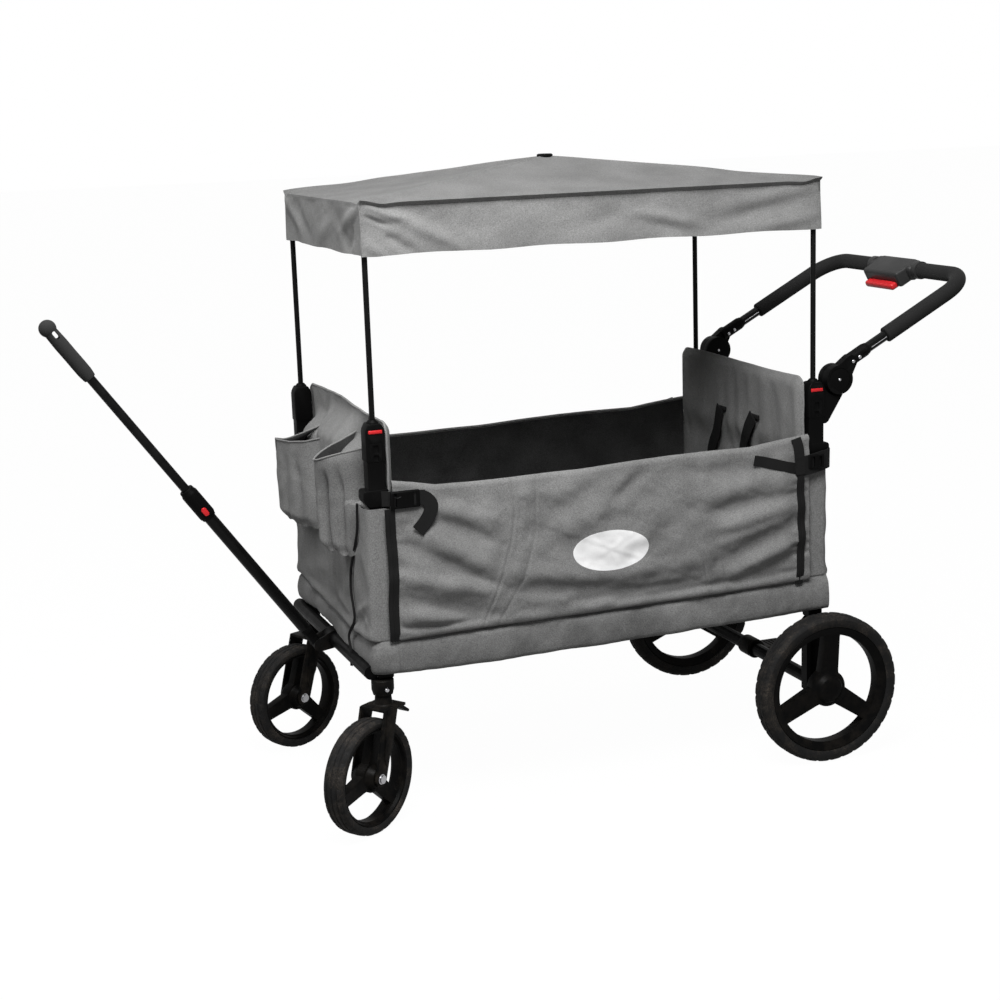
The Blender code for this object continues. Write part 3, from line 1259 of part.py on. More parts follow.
def make_push_handle():
    """The handle: moving joint halves, the bent tube, its foam, and the housing with the trigger."""
    pivot = (PUSH_PIVOT_X, PUSH_PIVOT_Z)
    split = PUSH_HUB_SPLIT_Y + GAP
    thick = PUSH_HUB_OUTER_Y - split
    centre = split + thick / 2
    hub = outline(circle(pivot, PUSH_HUB_RADIUS, WHEEL_SIDES), thick)
    width = PUSH_SLEEVE_RADIUS * PUSH_NECK_SHARE
    neck_end = PUSH_START + PUSH_NECK_END * PUSH_ALONG
    corners = [
        PUSH_START - width * PUSH_UP,
        neck_end - width * PUSH_UP,
        neck_end + width * PUSH_UP,
        PUSH_START + width * PUSH_UP,
    ]
    neck = outline([(corner.x, corner.z) for corner in corners], thick * PUSH_NECK_SHARE)
    sleeve = rod(
        push_point(PUSH_SLEEVE_START, PUSH_ARM_Y), push_point(PUSH_SLEEVE_END, PUSH_ARM_Y), PUSH_SLEEVE_RADIUS
    )
    pin_start = (pivot[0], split - PUSH_HUB_RADIUS / 3, pivot[1])
    pin = rod(pin_start, (pivot[0], centre, pivot[1]), PUSH_PIN_RADIUS, SMALL_SIDES)
    moved(hub, (0, centre, 0))
    moved(neck, (0, centre, 0))
    add_pair("push_connector", "plastic", "push_handle", hub, joins=[neck, sleeve, pin])

    start = PUSH_SLEEVE_END + GAP
    line = push_bend(start, 0.0)[:-1]
    whole = line + [Vector((p.x, -p.y, p.z)) for p in reversed(line)]
    slot_start = start + PUSH_SLOT_WIDTH * 2
    slot = push_box(
        (slot_start, PUSH_ARM_Y - 2 * PUSH_TUBE_RADIUS, -PUSH_SLOT_WIDTH / 2),
        (slot_start + PUSH_SLOT_LENGTH, PUSH_ARM_Y + 2 * PUSH_TUBE_RADIUS, PUSH_SLOT_WIDTH / 2),
    )
    add_part("push_tube", "frame", "push_handle", tube(whole, PUSH_TUBE_RADIUS), cuts=both_sides(slot))
    foam = tube(push_bend(FOAM_START, GRIP_HOUSING_HALF + GAP), FOAM_RADIUS, capped=False)
    add_pair("handle_foam", "foam", "push_handle", foam, wall=FOAM_RADIUS - PUSH_TUBE_RADIUS - RUNNING_GAP)

    bar = PUSH_CROSSBAR
    front = bar - GRIP_HOUSING_FRONT
    height = GRIP_HOUSING_HEIGHT / 2
    housing = push_box(
        (front, -GRIP_HOUSING_HALF, -height),
        (bar + GRIP_HOUSING_BACK, GRIP_HOUSING_HALF, height),
        GRIP_HOUSING_EDGE,
    )
    reach = GRIP_HOUSING_HALF + 2 * CUT_REACH
    bore = rod(push_point(bar, -reach), push_point(bar, reach), PUSH_TUBE_RADIUS + RUNNING_GAP)
    back = front - TRIGGER_PROUD + TRIGGER_LENGTH
    low, high = -TRIGGER_DROP, TRIGGER_HEIGHT - TRIGGER_DROP
    play = RUNNING_GAP
    pocket = push_box(
        (front - CUT_REACH, -TRIGGER_HALF - play, low - play),
        (back + TRIGGER_TRAVEL + play, TRIGGER_HALF + play, high + play),
    )
    add_part("grip_housing", "plastic", "push_handle", housing, cuts=[bore, pocket])
    trigger = push_box((front - TRIGGER_PROUD, -TRIGGER_HALF, low), (back, TRIGGER_HALF, high), SOFT_EDGE)
    add_part("fold_trigger", "red", "trigger", trigger)


def ring_profile(inner, outer, low, high):
    """A tube's section between two heights, as a profile to turn."""
    return [(outer, high), (outer, low), (inner, low), (inner, high)]


def make_pull_handle():
    """The bracket on the front tube, and the telescopic handle on its pin, which is modelled along Z."""
    tube_at = (FRONT_TUBE_X, CROSS_TUBE_Z)
    hinge = (PULL_HINGE_X, PULL_HINGE_Z)
    hold = CROSS_TUBE_RADIUS + GAP
    ear_outer = PULL_EAR_Y + PULL_EAR_THICK
    clamp_half = ear_outer - SEAM
    clamp = turned(ring_profile(hold, PULL_CLAMP_RADIUS, -clamp_half, clamp_half), axis="Y")
    moved(clamp, (tube_at[0], 0, tube_at[1]))
    ear = outline(
        link_outline(tube_at, hinge, PULL_CLAMP_RADIUS + SEAM, PULL_EAR_RADIUS),
        PULL_EAR_THICK,
        [circle(tube_at, hold + SEAM, ROUND_SIDES)],
    )
    moved(ear, (0, PULL_EAR_Y + PULL_EAR_THICK / 2, 0))
    pin_end = ear_outer + SEAM
    pin = rod((hinge[0], -pin_end, hinge[1]), (hinge[0], pin_end, hinge[1]), PULL_PIN_RADIUS, SMALL_SIDES)
    add_part("pull_bracket", "plastic", "front_frame", clamp, joins=[*both_sides(ear), pin])

    eye = outline(circle((0, 0), PULL_EYE_RADIUS, ROUND_SIDES), 2 * (PULL_EAR_Y - GAP))
    neck = rod((0, 0, SEAM), (0, 0, PULL_TUBE_START - GAP), PULL_NECK_RADIUS)
    reach = 2 * ear_outer
    hole = rod((0, -reach, 0), (0, reach, 0), PULL_PIN_RADIUS + RUNNING_GAP, SMALL_SIDES)
    add_part("pull_joint", "plastic", "pull_handle", eye, joins=[neck], cuts=[hole])

    lower = ring_profile(PULL_TUBE_RADIUS - PULL_TUBE_WALL, PULL_TUBE_RADIUS, PULL_TUBE_START, COLLAR_SEAT)
    add_part("pull_lower_tube", "frame", "pull_handle", turned(lower))
    seat = PULL_TUBE_RADIUS + GAP
    slide = UPPER_TUBE_RADIUS + RUNNING_GAP
    soft = SMALL_EDGE
    collar = turned(
        [
            (slide, COLLAR_END),
            (COLLAR_RADIUS - soft, COLLAR_END),
            (COLLAR_RADIUS, COLLAR_END - soft),
            (COLLAR_RADIUS, COLLAR_START + soft),
            (COLLAR_RADIUS - soft, COLLAR_START),
            (seat, COLLAR_START),
            (seat, COLLAR_SEAT + GAP),
            (slide, COLLAR_SEAT + GAP),
        ]
    )
    wide = COLLAR_BUTTON_WIDTH / 2
    spread = COLLAR_BUTTON_LENGTH / 2 - wide
    at = COLLAR_BUTTON_AT
    window = outline(link_outline((0, at - spread), (0, at + spread), wide + RUNNING_GAP), COLLAR_RADIUS)
    moved(window, (0, -COLLAR_RADIUS, 0))
    add_part("pull_collar", "plastic", "pull_handle", collar, cuts=[window])
    button = outline(link_outline((0, -spread), (0, spread), wide), COLLAR_BUTTON_THICK)
    moved(button, (0, COLLAR_BUTTON_THICK / 2 - COLLAR_RADIUS - COLLAR_BUTTON_PROUD, 0))
    add_part("collar_button", "red", "pull_button", button)

    upper = ring_profile(UPPER_TUBE_RADIUS - UPPER_TUBE_WALL, UPPER_TUBE_RADIUS, UPPER_TUBE_START, GRIP_SEAT)
    add_part("pull_upper_tube", "frame", "pull_slide", turned(upper))
    hold = UPPER_TUBE_RADIUS + GAP
    bulb = GRIP_END - GRIP_BULB_RADIUS
    grip = [(r, bulb + z) for r, z in arc((0, 0), GRIP_BULB_RADIUS, math.pi / 2, math.radians(-35), 8)[1:]]
    grip = [(0, GRIP_END), *grip]
    grip += [(GRIP_RADIUS, GRIP_START + GRIP_WAIST), (GRIP_RADIUS, GRIP_START + GRIP_HEEL)]
    grip += [(GRIP_NECK_RADIUS, GRIP_START)]
    grip += [(hold, GRIP_START), (hold, GRIP_SEAT + GAP), (0, GRIP_SEAT + GAP)]
    half_width = STRAP_HOLE_WIDTH / 2
    reach = STRAP_HOLE_LENGTH / 2 - half_width
    low, high = STRAP_HOLE_AT - reach, STRAP_HOLE_AT + reach
    ends = (STRAP_HOLE_OFFSET, low), (STRAP_HOLE_OFFSET, high)
    slot = outline(link_outline(*ends, half_width), 4 * GRIP_BULB_RADIUS)
    add_part("pull_grip", "foam", "pull_slide", turned(grip), cuts=[slot])


make_frames()
make_sockets()
make_canopy()
make_end_panels()
make_side_panels()
make_pockets()
make_floor()
make_rear_axle()
make_casters()
make_wheels()
make_push_handle()
make_pull_handle()
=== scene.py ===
"""Looks of a folding wagon: its cloth, webbing, moulded parts, foam, wheels, stage and camera.

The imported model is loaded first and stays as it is. Lengths are metres and +Z is up.
Places below are measured from the wagon's own middle, the point on the ground between its four poles:
+X points to the push handle and +Y to the far side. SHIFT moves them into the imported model's frame.
"""

import math

import bmesh
import bpy
import numpy as np
from bpy.props import FloatProperty, FloatVectorProperty, PointerProperty
from bpy.types import Operator, Panel, PropertyGroup
from mathutils import Matrix, Vector


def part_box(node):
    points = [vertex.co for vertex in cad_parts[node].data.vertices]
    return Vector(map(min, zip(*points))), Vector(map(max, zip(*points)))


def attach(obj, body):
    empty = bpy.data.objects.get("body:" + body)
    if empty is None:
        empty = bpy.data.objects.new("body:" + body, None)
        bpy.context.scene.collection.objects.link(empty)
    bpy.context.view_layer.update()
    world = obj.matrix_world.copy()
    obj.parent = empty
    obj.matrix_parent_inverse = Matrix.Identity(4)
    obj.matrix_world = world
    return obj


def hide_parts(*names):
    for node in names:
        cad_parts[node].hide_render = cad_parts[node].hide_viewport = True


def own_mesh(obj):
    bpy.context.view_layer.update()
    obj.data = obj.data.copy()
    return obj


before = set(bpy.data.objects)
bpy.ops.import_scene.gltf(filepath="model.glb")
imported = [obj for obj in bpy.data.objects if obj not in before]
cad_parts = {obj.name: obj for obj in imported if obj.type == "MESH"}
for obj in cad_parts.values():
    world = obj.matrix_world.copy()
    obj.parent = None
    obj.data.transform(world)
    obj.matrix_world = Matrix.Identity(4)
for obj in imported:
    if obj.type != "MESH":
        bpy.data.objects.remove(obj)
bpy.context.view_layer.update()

bl_info = {
    "name": "Folding wagon looks", "version": (1, 0, 0), "blender": (4, 5, 0),
    "location": "3D View > Sidebar > Wagon",
    "description": "Dresses the folding wagon's packed model with cloth, webbing, foam and moulded parts",
    "category": "Object"
}

SIDES = (("near", -1), ("far", 1))


def middle(node):
    """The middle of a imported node's box, in the frame."""
    low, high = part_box(node)
    return (low + high) / 2


REAR_POLE = (middle("rear_pole_near") + middle("rear_pole_far")) / 2
FRONT_POLE = (middle("front_pole_near") + middle("front_pole_far")) / 2
SHIFT = Vector(((REAR_POLE.x + FRONT_POLE.x) / 2, REAR_POLE.y, 0))
POST_X = (REAR_POLE.x - FRONT_POLE.x) / 2
POST_Y = (middle("rear_pole_far").y - middle("rear_pole_near").y) / 2


def local(node):
    """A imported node's lowest and highest corner, measured from the wagon's middle."""
    low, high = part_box(node)
    return low - SHIFT, high - SHIFT


# Heights and faces of the basket, from the imported model, and from the photograph where the two differ
PANEL_LOW, PANEL_HIGH = local("front_panel")
PANEL_OUT = -PANEL_LOW.x
PANEL_IN = 0.3975
PANEL_HALF = PANEL_HIGH.y
PANEL_TOP = 0.708
FRONT_TOP = ((-0.25, -0.13, -0.05, 0.03, 0.146, 0.25), (0.7020, 0.7015, 0.7052, 0.7110, 0.7095, 0.7065))
REAR_TOP = ((-0.25, -0.225, -0.125, 0.05, 0.16, 0.25), (0.7135, 0.7133, 0.7120, 0.7150, 0.7165, 0.7145))
SIDE_Y = 0.2595
SIDE_END = 0.395
SEAM_Z = 0.3345
SHOULDER_Z = 0.5605
NARROW_HALF = 0.2450
PANEL_OFFSET = 0.0035
PAD_X = 0.3962
PAD_IN = 0.3865
CLOTH = 0.0012
LINING_FOOT_Z = 0.300


# Small tools for numbers and outlines


def smooth(value):
    """A soft step from 0 to 1."""
    t = np.clip(value, 0.0, 1.0)
    return t * t * (3 - 2 * t)


def bump(distance, width):
    """A soft bell over a distance."""
    return np.exp(-((distance / width) ** 2))


def segment_distance(a, b, start, end):
    """The distance of points (a, b) from a segment, and the share of the way along it."""
    start, end = np.array(start, float), np.array(end, float)
    along = end - start
    t = ((a - start[0]) * along[0] + (b - start[1]) * along[1]) / (along @ along)
    t = np.clip(t, 0.0, 1.0)
    return np.hypot(a - start[0] - t * along[0], b - start[1] - t * along[1]), t


def line_distance(a, b, points):
    """The distance of points (a, b) from a line through several points."""
    return np.min([segment_distance(a, b, p, q)[0] for p, q in zip(points, points[1:])], axis=0)


def fold(a, b, start, end, width, height):
    """A soft fold along a segment, which fades out towards both ends."""
    distance, t = segment_distance(a, b, start, end)
    return height * bump(distance, width) * (0.35 + 0.65 * np.sin(np.pi * np.clip(t, 0.04, 0.96)))


def crumple(a, b, size, height, seed):
    """Soft irregular waves, about as long as the size says."""
    random = np.random.default_rng(seed)
    total = np.zeros_like(a, dtype=float)
    for _ in range(9):
        angle = random.uniform(0, math.pi)
        pitch = size * random.uniform(0.6, 1.7)
        phase = random.uniform(0, 2 * math.pi)
        wave = (a * math.cos(angle) + b * math.sin(angle)) * 2 * math.pi / pitch
        total = total + np.sin(wave + phase + 1.3 * np.sin(wave * 0.37 + phase * 2))
    return total * height / 4


def arc(middle_at, radius, start, end, steps):
    """Points along an arc, with both ends. Angles are in degrees."""
    angles = np.radians(np.linspace(start, end, steps + 1))
    return [(middle_at[0] + radius * math.cos(t), middle_at[1] + radius * math.sin(t)) for t in angles]


def circle(middle_at, radius, sides=32):
    """Points round a circle."""
    return arc(middle_at, radius, 0, 360, sides)[:-1]


def link(first, last, radius, last_radius, steps=12):
    """The outline round two circles."""
    away = math.degrees(math.atan2(last[1] - first[1], last[0] - first[0]))
    far = math.hypot(last[0] - first[0], last[1] - first[1])
    lean = math.degrees(math.acos((radius - last_radius) / far))
    return arc(first, radius, away + lean, away + 360 - lean, steps) + arc(
        last, last_radius, away - lean, away + lean, steps
    )


# Meshes


def grid_mesh(points, closed=False):
    """Quads over an array of rows, columns and coordinates."""
    rows, columns = points.shape[:2]
    last = columns if closed else columns - 1
    faces = []
    for row in range(rows - 1):
        for column in range(last):
            after = (column + 1) % columns
            faces.append(
                (
                    row * columns + column, row * columns + after, (row + 1) * columns + after,
                    (row + 1) * columns + column
                )
            )
    mesh = bpy.data.meshes.new("grid")
    mesh.from_pydata(points.reshape(-1, 3).tolist(), [], faces)
    return mesh


def from_bm(bm, name="shape"):
    """A mesh from a bmesh, with its faces pointing out."""
    bmesh.ops.recalc_face_normals(bm, faces=bm.faces)
    mesh = bpy.data.meshes.new(name)
    bm.to_mesh(mesh)
    bm.free()
    return mesh


def box(low, high, radius=0.0, steps=2):
    """A box between two corners, with rounded edges."""
    bm = bmesh.new()
    bmesh.ops.create_cube(bm, size=1.0)
    size = [h - l for l, h in zip(low, high)]
    bmesh.ops.scale(bm, vec=size, verts=bm.verts)
    bmesh.ops.translate(bm, vec=[(h + l) / 2 for l, h in zip(low, high)], verts=bm.verts)
    if radius:
        bmesh.ops.bevel(bm, geom=bm.edges[:], offset=radius, segments=steps, profile=0.5, affect="EDGES")
    return from_bm(bm)


def rod(start, end, radius, sides=32, end_radius=None):
    """A cylinder or a cone between two points."""
    start, end = Vector(start), Vector(end)
    bm = bmesh.new()
    top = radius if end_radius is None else end_radius
    depth = (end - start).length
    bmesh.ops.create_cone(bm, cap_ends=True, segments=sides, radius1=radius, radius2=top, depth=depth)
    turn = (end - start).to_track_quat("Z", "Y").to_matrix().to_4x4()
    bmesh.ops.transform(bm, matrix=Matrix.Translation((start + end) / 2) @ turn, verts=bm.verts)
    return from_bm(bm)


def cross_rod(at, start_y, end_y, radius, sides=32):
    """A cylinder along Y, through an (x, z) place."""
    return rod((at[0], start_y, at[1]), (at[0], end_y, at[1]), radius, sides)


def lathe(profile, sides=64, axis="Z", closed=False):
    """A profile of (radius, height) turned about an axis. A closed profile is a ring's section."""
    bm = bmesh.new()
    verts = [bm.verts.new((radius, 0, height)) for radius, height in profile]
    pairs = list(zip(verts, verts[1:])) + ([(verts[-1], verts[0])] if closed else [])
    edges = [bm.edges.new(pair) for pair in pairs]
    bmesh.ops.spin(
        bm, geom=verts + edges, cent=(0, 0, 0), axis=(0, 0, 1), angle=2 * math.pi, steps=sides, use_merge=True
    )
    bmesh.ops.remove_doubles(bm, verts=bm.verts, dist=0.000001)
    mesh = from_bm(bm)
    if axis == "Y":
        mesh.transform(Matrix.Rotation(math.radians(-90), 4, "X"))
    return mesh


def plate(points, thick, at_y=0.0):
    """A flat outline of (x, z) points, as thick as said along Y and centred on one Y."""
    bm = bmesh.new()
    verts = [bm.verts.new((x, at_y - thick / 2, z)) for x, z in points]
    face = bm.faces.new(verts)
    made = bmesh.ops.extrude_face_region(bm, geom=[face])
    moved_verts = [v for v in made["geom"] if isinstance(v, bmesh.types.BMVert)]
    bmesh.ops.translate(bm, vec=(0, thick, 0), verts=moved_verts)
    return from_bm(bm)


def sweep(points, profile, up=(0, 0, 1), ring=False):
    """A profile of (across, up) points carried along a line. Its up side keeps to the direction given."""
    line = np.array([tuple(p) for p in points], float)
    if ring:
        along = np.roll(line, -1, axis=0) - np.roll(line, 1, axis=0)
    else:
        along = np.gradient(line, axis=0)
    along /= np.linalg.norm(along, axis=1)[:, None]
    up = np.array(up, float)
    ups = up[None, :] if up.ndim == 1 else up
    across = np.cross(along, np.broadcast_to(ups, along.shape))
    across /= np.linalg.norm(across, axis=1)[:, None]
    rise = np.cross(across, along)
    section = np.array(profile, float)
    rows = (
        line[:, None, :] + section[None, :, 0, None] * across[:, None, :] + section[None, :, 1, None]
        * rise[:, None, :]
    )
    if ring:
        rows = np.concatenate([rows, rows[:1]])
    mesh = grid_mesh(rows, closed=True)
    bm = bmesh.new()
    bm.from_mesh(mesh)
    if ring:
        bmesh.ops.remove_doubles(bm, verts=bm.verts, dist=0.000001)
    else:
        bm.verts.ensure_lookup_table()
        count = len(profile)
        bm.faces.new([bm.verts[i] for i in range(count)])
        bm.faces.new([bm.verts[len(rows) * count - 1 - i] for i in range(count)])
    return from_bm(bm)


def cord_mesh(points, radius, sides=12, ring=False, up=(0.31, 0.17, 0.93)):
    """A round tube along a line."""
    return sweep(points, circle((0, 0), radius, sides), up=up, ring=ring)


def tape_profile(width, thick, rounding=0.35):
    """A flat band's section, with soft edges. It lies across the line, and its thickness is up."""
    w, t = width / 2, thick / 2
    r = t * rounding
    return [
        (-w, -t + r), (-w + r, -t), (w - r, -t), (w, -t + r), (w, t - r), (w - r, t), (-w + r, t), (-w, t - r)
    ]


def curve_through(points, steps=8):
    """A smooth line through a few points."""
    p = [Vector(point) for point in points]
    p = [p[0] * 2 - p[1], *p, p[-1] * 2 - p[-2]]
    line = []
    for a, b, c, d in zip(p, p[1:], p[2:], p[3:]):
        for i in range(steps):
            t = i / steps
            line.append(
                0.5
                * (2 * b + (c - a) * t + (2 * a - 5 * b + 4 * c - d) * t * t + (3 * b - a - 3 * c + d) * t**3)
            )
    return [*line, p[-2]]


def together(*meshes):
    """Several meshes as one."""
    bm = bmesh.new()
    for mesh in meshes:
        bm.from_mesh(mesh)
    mesh = bpy.data.meshes.new("together")
    bm.to_mesh(mesh)
    bm.free()
    return mesh


def mirrored(mesh, sign):
    """A copy of a mesh made for the far side, mirrored if the sign is the near side's."""
    twin = mesh.copy()
    if sign < 0:
        twin.transform(Matrix.Scale(-1, 4, (0, 1, 0)))
        twin.flip_normals()
    return twin


def moved(mesh, place):
    """The mesh, shifted by a vector or a matrix."""
    mesh.transform(place if isinstance(place, Matrix) else Matrix.Translation(place))
    return mesh


def modified(mesh, *steps):
    """The mesh with modifiers applied. Each step is a modifier's kind and its settings."""
    obj = bpy.data.objects.new("working", mesh)
    bpy.context.scene.collection.objects.link(obj)
    for kind, settings in steps:
        modifier = obj.modifiers.new(kind, kind)
        for key, value in settings.items():
            setattr(modifier, key, value)
    bpy.context.view_layer.update()
    graph = bpy.context.evaluated_depsgraph_get()
    made = bpy.data.meshes.new_from_object(obj.evaluated_get(graph))
    bpy.data.objects.remove(obj, do_unlink=True)
    return made


def moulded(shape, joins=(), cuts=(), edge=0.0008, steps=2, angle=28):
    """A moulded form: meshes joined and cut, then every sharp edge rounded."""
    tools, changes = [], []
    for operation, others in (("UNION", joins), ("DIFFERENCE", cuts)):
        for other in others:
            tool = bpy.data.objects.new("tool", other)
            bpy.context.scene.collection.objects.link(tool)
            tools.append(tool)
            changes.append(("BOOLEAN", {"operation": operation, "solver": "EXACT", "object": tool}))
    if edge:
        changes.append(
            (
                "BEVEL",
                {
                    "width": edge, "segments": steps, "limit_method": "ANGLE",
                    "angle_limit": math.radians(angle)
                }
            )
        )
    made = modified(shape, *changes)
    for tool in tools:
        bpy.data.objects.remove(tool, do_unlink=True)
    return made


def thick_sheet(mesh, thick=CLOTH, outward=True, lined=False):
    """A sheet of cloth with its thickness. A lined one has its second material inside."""
    for _ in range(2 if lined else 0):
        mesh.materials.append(None)
    return modified(
        mesh,
        ("SOLIDIFY", {"thickness": thick, "offset": -1 if outward else 1, "material_offset": int(lined)})
    )


# Materials


def with_inputs(tree, made, inputs):
    """Set a node's inputs. Each is a value or another node's output."""
    for key, value in inputs.items():
        if isinstance(value, bpy.types.NodeSocket):
            tree.links.new(value, made.inputs[key])
        else:
            made.inputs[key].default_value = value
    return made


def shader_node(tree, kind, inputs=None, **settings):
    """Add a node with its settings and inputs."""
    made = tree.nodes.new(kind)
    for key, value in settings.items():
        setattr(made, key, value)
    return with_inputs(tree, made, inputs or {})


def mix_colours(tree, factor, first, last, blend="MIX"):
    """Mix two colours, and give the result's socket."""
    inputs = {0: factor, 6: first, 7: last}
    return shader_node(tree, "ShaderNodeMix", inputs, data_type="RGBA", blend_type=blend).outputs[2]


def in_range(tree, value, low, high, to_low=0.0, to_high=1.0):
    """Stretch a value's range."""
    inputs = {"Value": value, "From Min": low, "From Max": high, "To Min": to_low, "To Max": to_high}
    return shader_node(tree, "ShaderNodeMapRange", inputs).outputs["Result"]


def noise(tree, vector, scale, detail=2.0, roughness=0.5):
    """A noise texture's value."""
    inputs = {"Vector": vector, "Scale": scale, "Detail": detail, "Roughness": roughness}
    return shader_node(tree, "ShaderNodeTexNoise", inputs).outputs["Fac"]


def calculate(tree, operation, first, last):
    """One sum of two values."""
    return shader_node(tree, "ShaderNodeMath", {0: first, 1: last}, operation=operation).outputs[0]


def object_place(tree):
    """Where on the object a point is."""
    return shader_node(tree, "ShaderNodeTexCoord").outputs["Object"]


def new_group(name, inputs, outputs):
    """An empty shader node group with its sockets. Gives the group, its input node and its output node."""
    group = bpy.data.node_groups.new(name, "ShaderNodeTree")
    for label, kind, default in inputs:
        socket = group.interface.new_socket(label, in_out="INPUT", socket_type=kind)
        socket.default_value = default
    for label, kind in outputs:
        group.interface.new_socket(label, in_out="OUTPUT", socket_type=kind)
    return group, group.nodes.new("NodeGroupInput"), group.nodes.new("NodeGroupOutput")


def make_weave_group():
    """Yarn of mixed greys in a plain weave: warp and weft threads that vary along their length."""
    group, start, end = new_group(
        "yarn_weave",
        [
            ("Dark", "NodeSocketColor", (0.1, 0.1, 0.1, 1)), ("Light", "NodeSocketColor", (0.3, 0.3, 0.3, 1)),
            ("Warp", "NodeSocketVector", (900, 900, 130)), ("Weft", "NodeSocketVector", (130, 130, 900)),
            ("Patches", "NodeSocketFloat", 0.1)
        ],
        [("Color", "NodeSocketColor"), ("Height", "NodeSocketFloat")]
    )
    place = object_place(group)
    threads = []
    for label, offset in (("Warp", 0.0), ("Weft", 7.3)):
        stretched = shader_node(
            group, "ShaderNodeMapping",
            {"Vector": place, "Location": (offset, offset, offset), "Scale": start.outputs[label]}
        )
        threads.append(noise(group, stretched.outputs["Vector"], 1.0, 2.0, 0.6))
    both = calculate(group, "ADD", threads[0], threads[1])
    share = in_range(group, both, 0.72, 1.28)
    colour = mix_colours(group, share, start.outputs["Dark"], start.outputs["Light"])
    patches = in_range(group, noise(group, place, 14.0, 3.0), 0.3, 0.7, -1.0, 1.0)
    spread = calculate(group, "MULTIPLY", patches, start.outputs["Patches"])
    level = calculate(group, "ADD", spread, 1.0)
    shaded = shader_node(group, "ShaderNodeVectorMath", {0: colour, "Scale": level}, operation="SCALE")
    group.links.new(shaded.outputs["Vector"], end.inputs["Color"])
    group.links.new(share, end.inputs["Height"])
    return group


def make_grain_group():
    """The fine grain of a mould's surface, with the rubbed places where hands and straps polish it."""
    group, start, end = new_group(
        "moulded_grain", [("Scale", "NodeSocketFloat", 900.0), ("Rubbed", "NodeSocketFloat", 0.15)],
        [("Height", "NodeSocketFloat"), ("Rubbed", "NodeSocketFloat")]
    )
    place = object_place(group)
    grains = shader_node(group, "ShaderNodeTexVoronoi", {"Vector": place, "Scale": start.outputs["Scale"]})
    rubbed = in_range(group, noise(group, place, 23.0, 4.0, 0.6), 0.35, 0.7)
    rubbed = calculate(group, "MULTIPLY", rubbed, start.outputs["Rubbed"])
    group.links.new(grains.outputs["Distance"], end.inputs["Height"])
    group.links.new(rubbed, end.inputs["Rubbed"])
    return group


def make_edge_group():
    """Where an edge stands out and has been knocked or rubbed pale."""
    group, start, end = new_group(
        "worn_edges", [("Amount", "NodeSocketFloat", 0.5)], [("Mask", "NodeSocketFloat")]
    )
    point = shader_node(group, "ShaderNodeNewGeometry").outputs["Pointiness"]
    sharp = in_range(group, point, 0.53, 0.62)
    broken = in_range(group, noise(group, object_place(group), 60.0, 3.0), 0.4, 0.65)
    worn = calculate(group, "MULTIPLY", sharp, broken)
    group.links.new(calculate(group, "MULTIPLY", worn, start.outputs["Amount"]), end.inputs["Mask"])
    return group


def make_dust_group():
    """Dry road dust, thickest near the ground and in patches."""
    group, start, end = new_group(
        "road_dust",
        [
            ("Amount", "NodeSocketFloat", 0.5), ("Reach", "NodeSocketFloat", 0.3),
            ("Scale", "NodeSocketFloat", 40.0)
        ],
        [("Mask", "NodeSocketFloat")]
    )
    place = object_place(group)
    height = shader_node(group, "ShaderNodeSeparateXYZ", {"Vector": place}).outputs["Z"]
    near_ground = in_range(group, height, start.outputs["Reach"], 0.0)
    patches = in_range(group, noise(group, place, start.outputs["Scale"], 5.0, 0.65), 0.42, 0.68)
    dust = calculate(group, "MULTIPLY", near_ground, patches)
    group.links.new(calculate(group, "MULTIPLY", dust, start.outputs["Amount"]), end.inputs["Mask"])
    return group


GROUP_MAKERS = {
    "yarn_weave": make_weave_group, "moulded_grain": make_grain_group, "worn_edges": make_edge_group,
    "road_dust": make_dust_group
}


def group_node(tree, name, inputs):
    """Place a shared effect in a material."""
    group = bpy.data.node_groups.get(name) or GROUP_MAKERS[name]()
    made = tree.nodes.new("ShaderNodeGroup")
    made.node_tree = group
    return with_inputs(tree, made, inputs)


def new_material(name):
    """A material with its tree and its Principled shader."""
    made = bpy.data.materials.new(name)
    made.use_nodes = True
    return made, made.node_tree, made.node_tree.nodes["Principled BSDF"]


def add_bump(tree, shader, height, depth, strength=1.0):
    """Raise the surface by a height's value."""
    made = shader_node(tree, "ShaderNodeBump", {"Height": height, "Distance": depth, "Strength": strength})
    tree.links.new(made.outputs["Normal"], shader.inputs["Normal"])


def grey(value, warm=0.0):
    """A near grey colour."""
    return (value * (1 + warm), value, value * (1 - warm), 1.0)


def toned(colour, level):
    """A colour made darker or lighter."""
    return tuple(min(1.0, c * level) for c in colour[:3]) + (1.0,)


def cloth_material(name, dark, light, warp, weft, depth=0.0002, sheen=0.06, patches=0.12):
    """Woven cloth."""
    made, tree, shader = new_material(name)
    weave = group_node(tree, "yarn_weave", {"Dark": dark, "Light": light, "Warp": warp, "Weft": weft})
    weave.inputs["Patches"].default_value = patches
    tree.links.new(weave.outputs["Color"], shader.inputs["Base Color"])
    shader.inputs["Roughness"].default_value = 0.92
    shader.inputs["Sheen Weight"].default_value = sheen
    shader.inputs["Sheen Roughness"].default_value = 0.5
    shader.inputs["Specular IOR Level"].default_value = 0.15
    add_bump(tree, shader, weave.outputs["Height"], depth, 0.5)
    return made


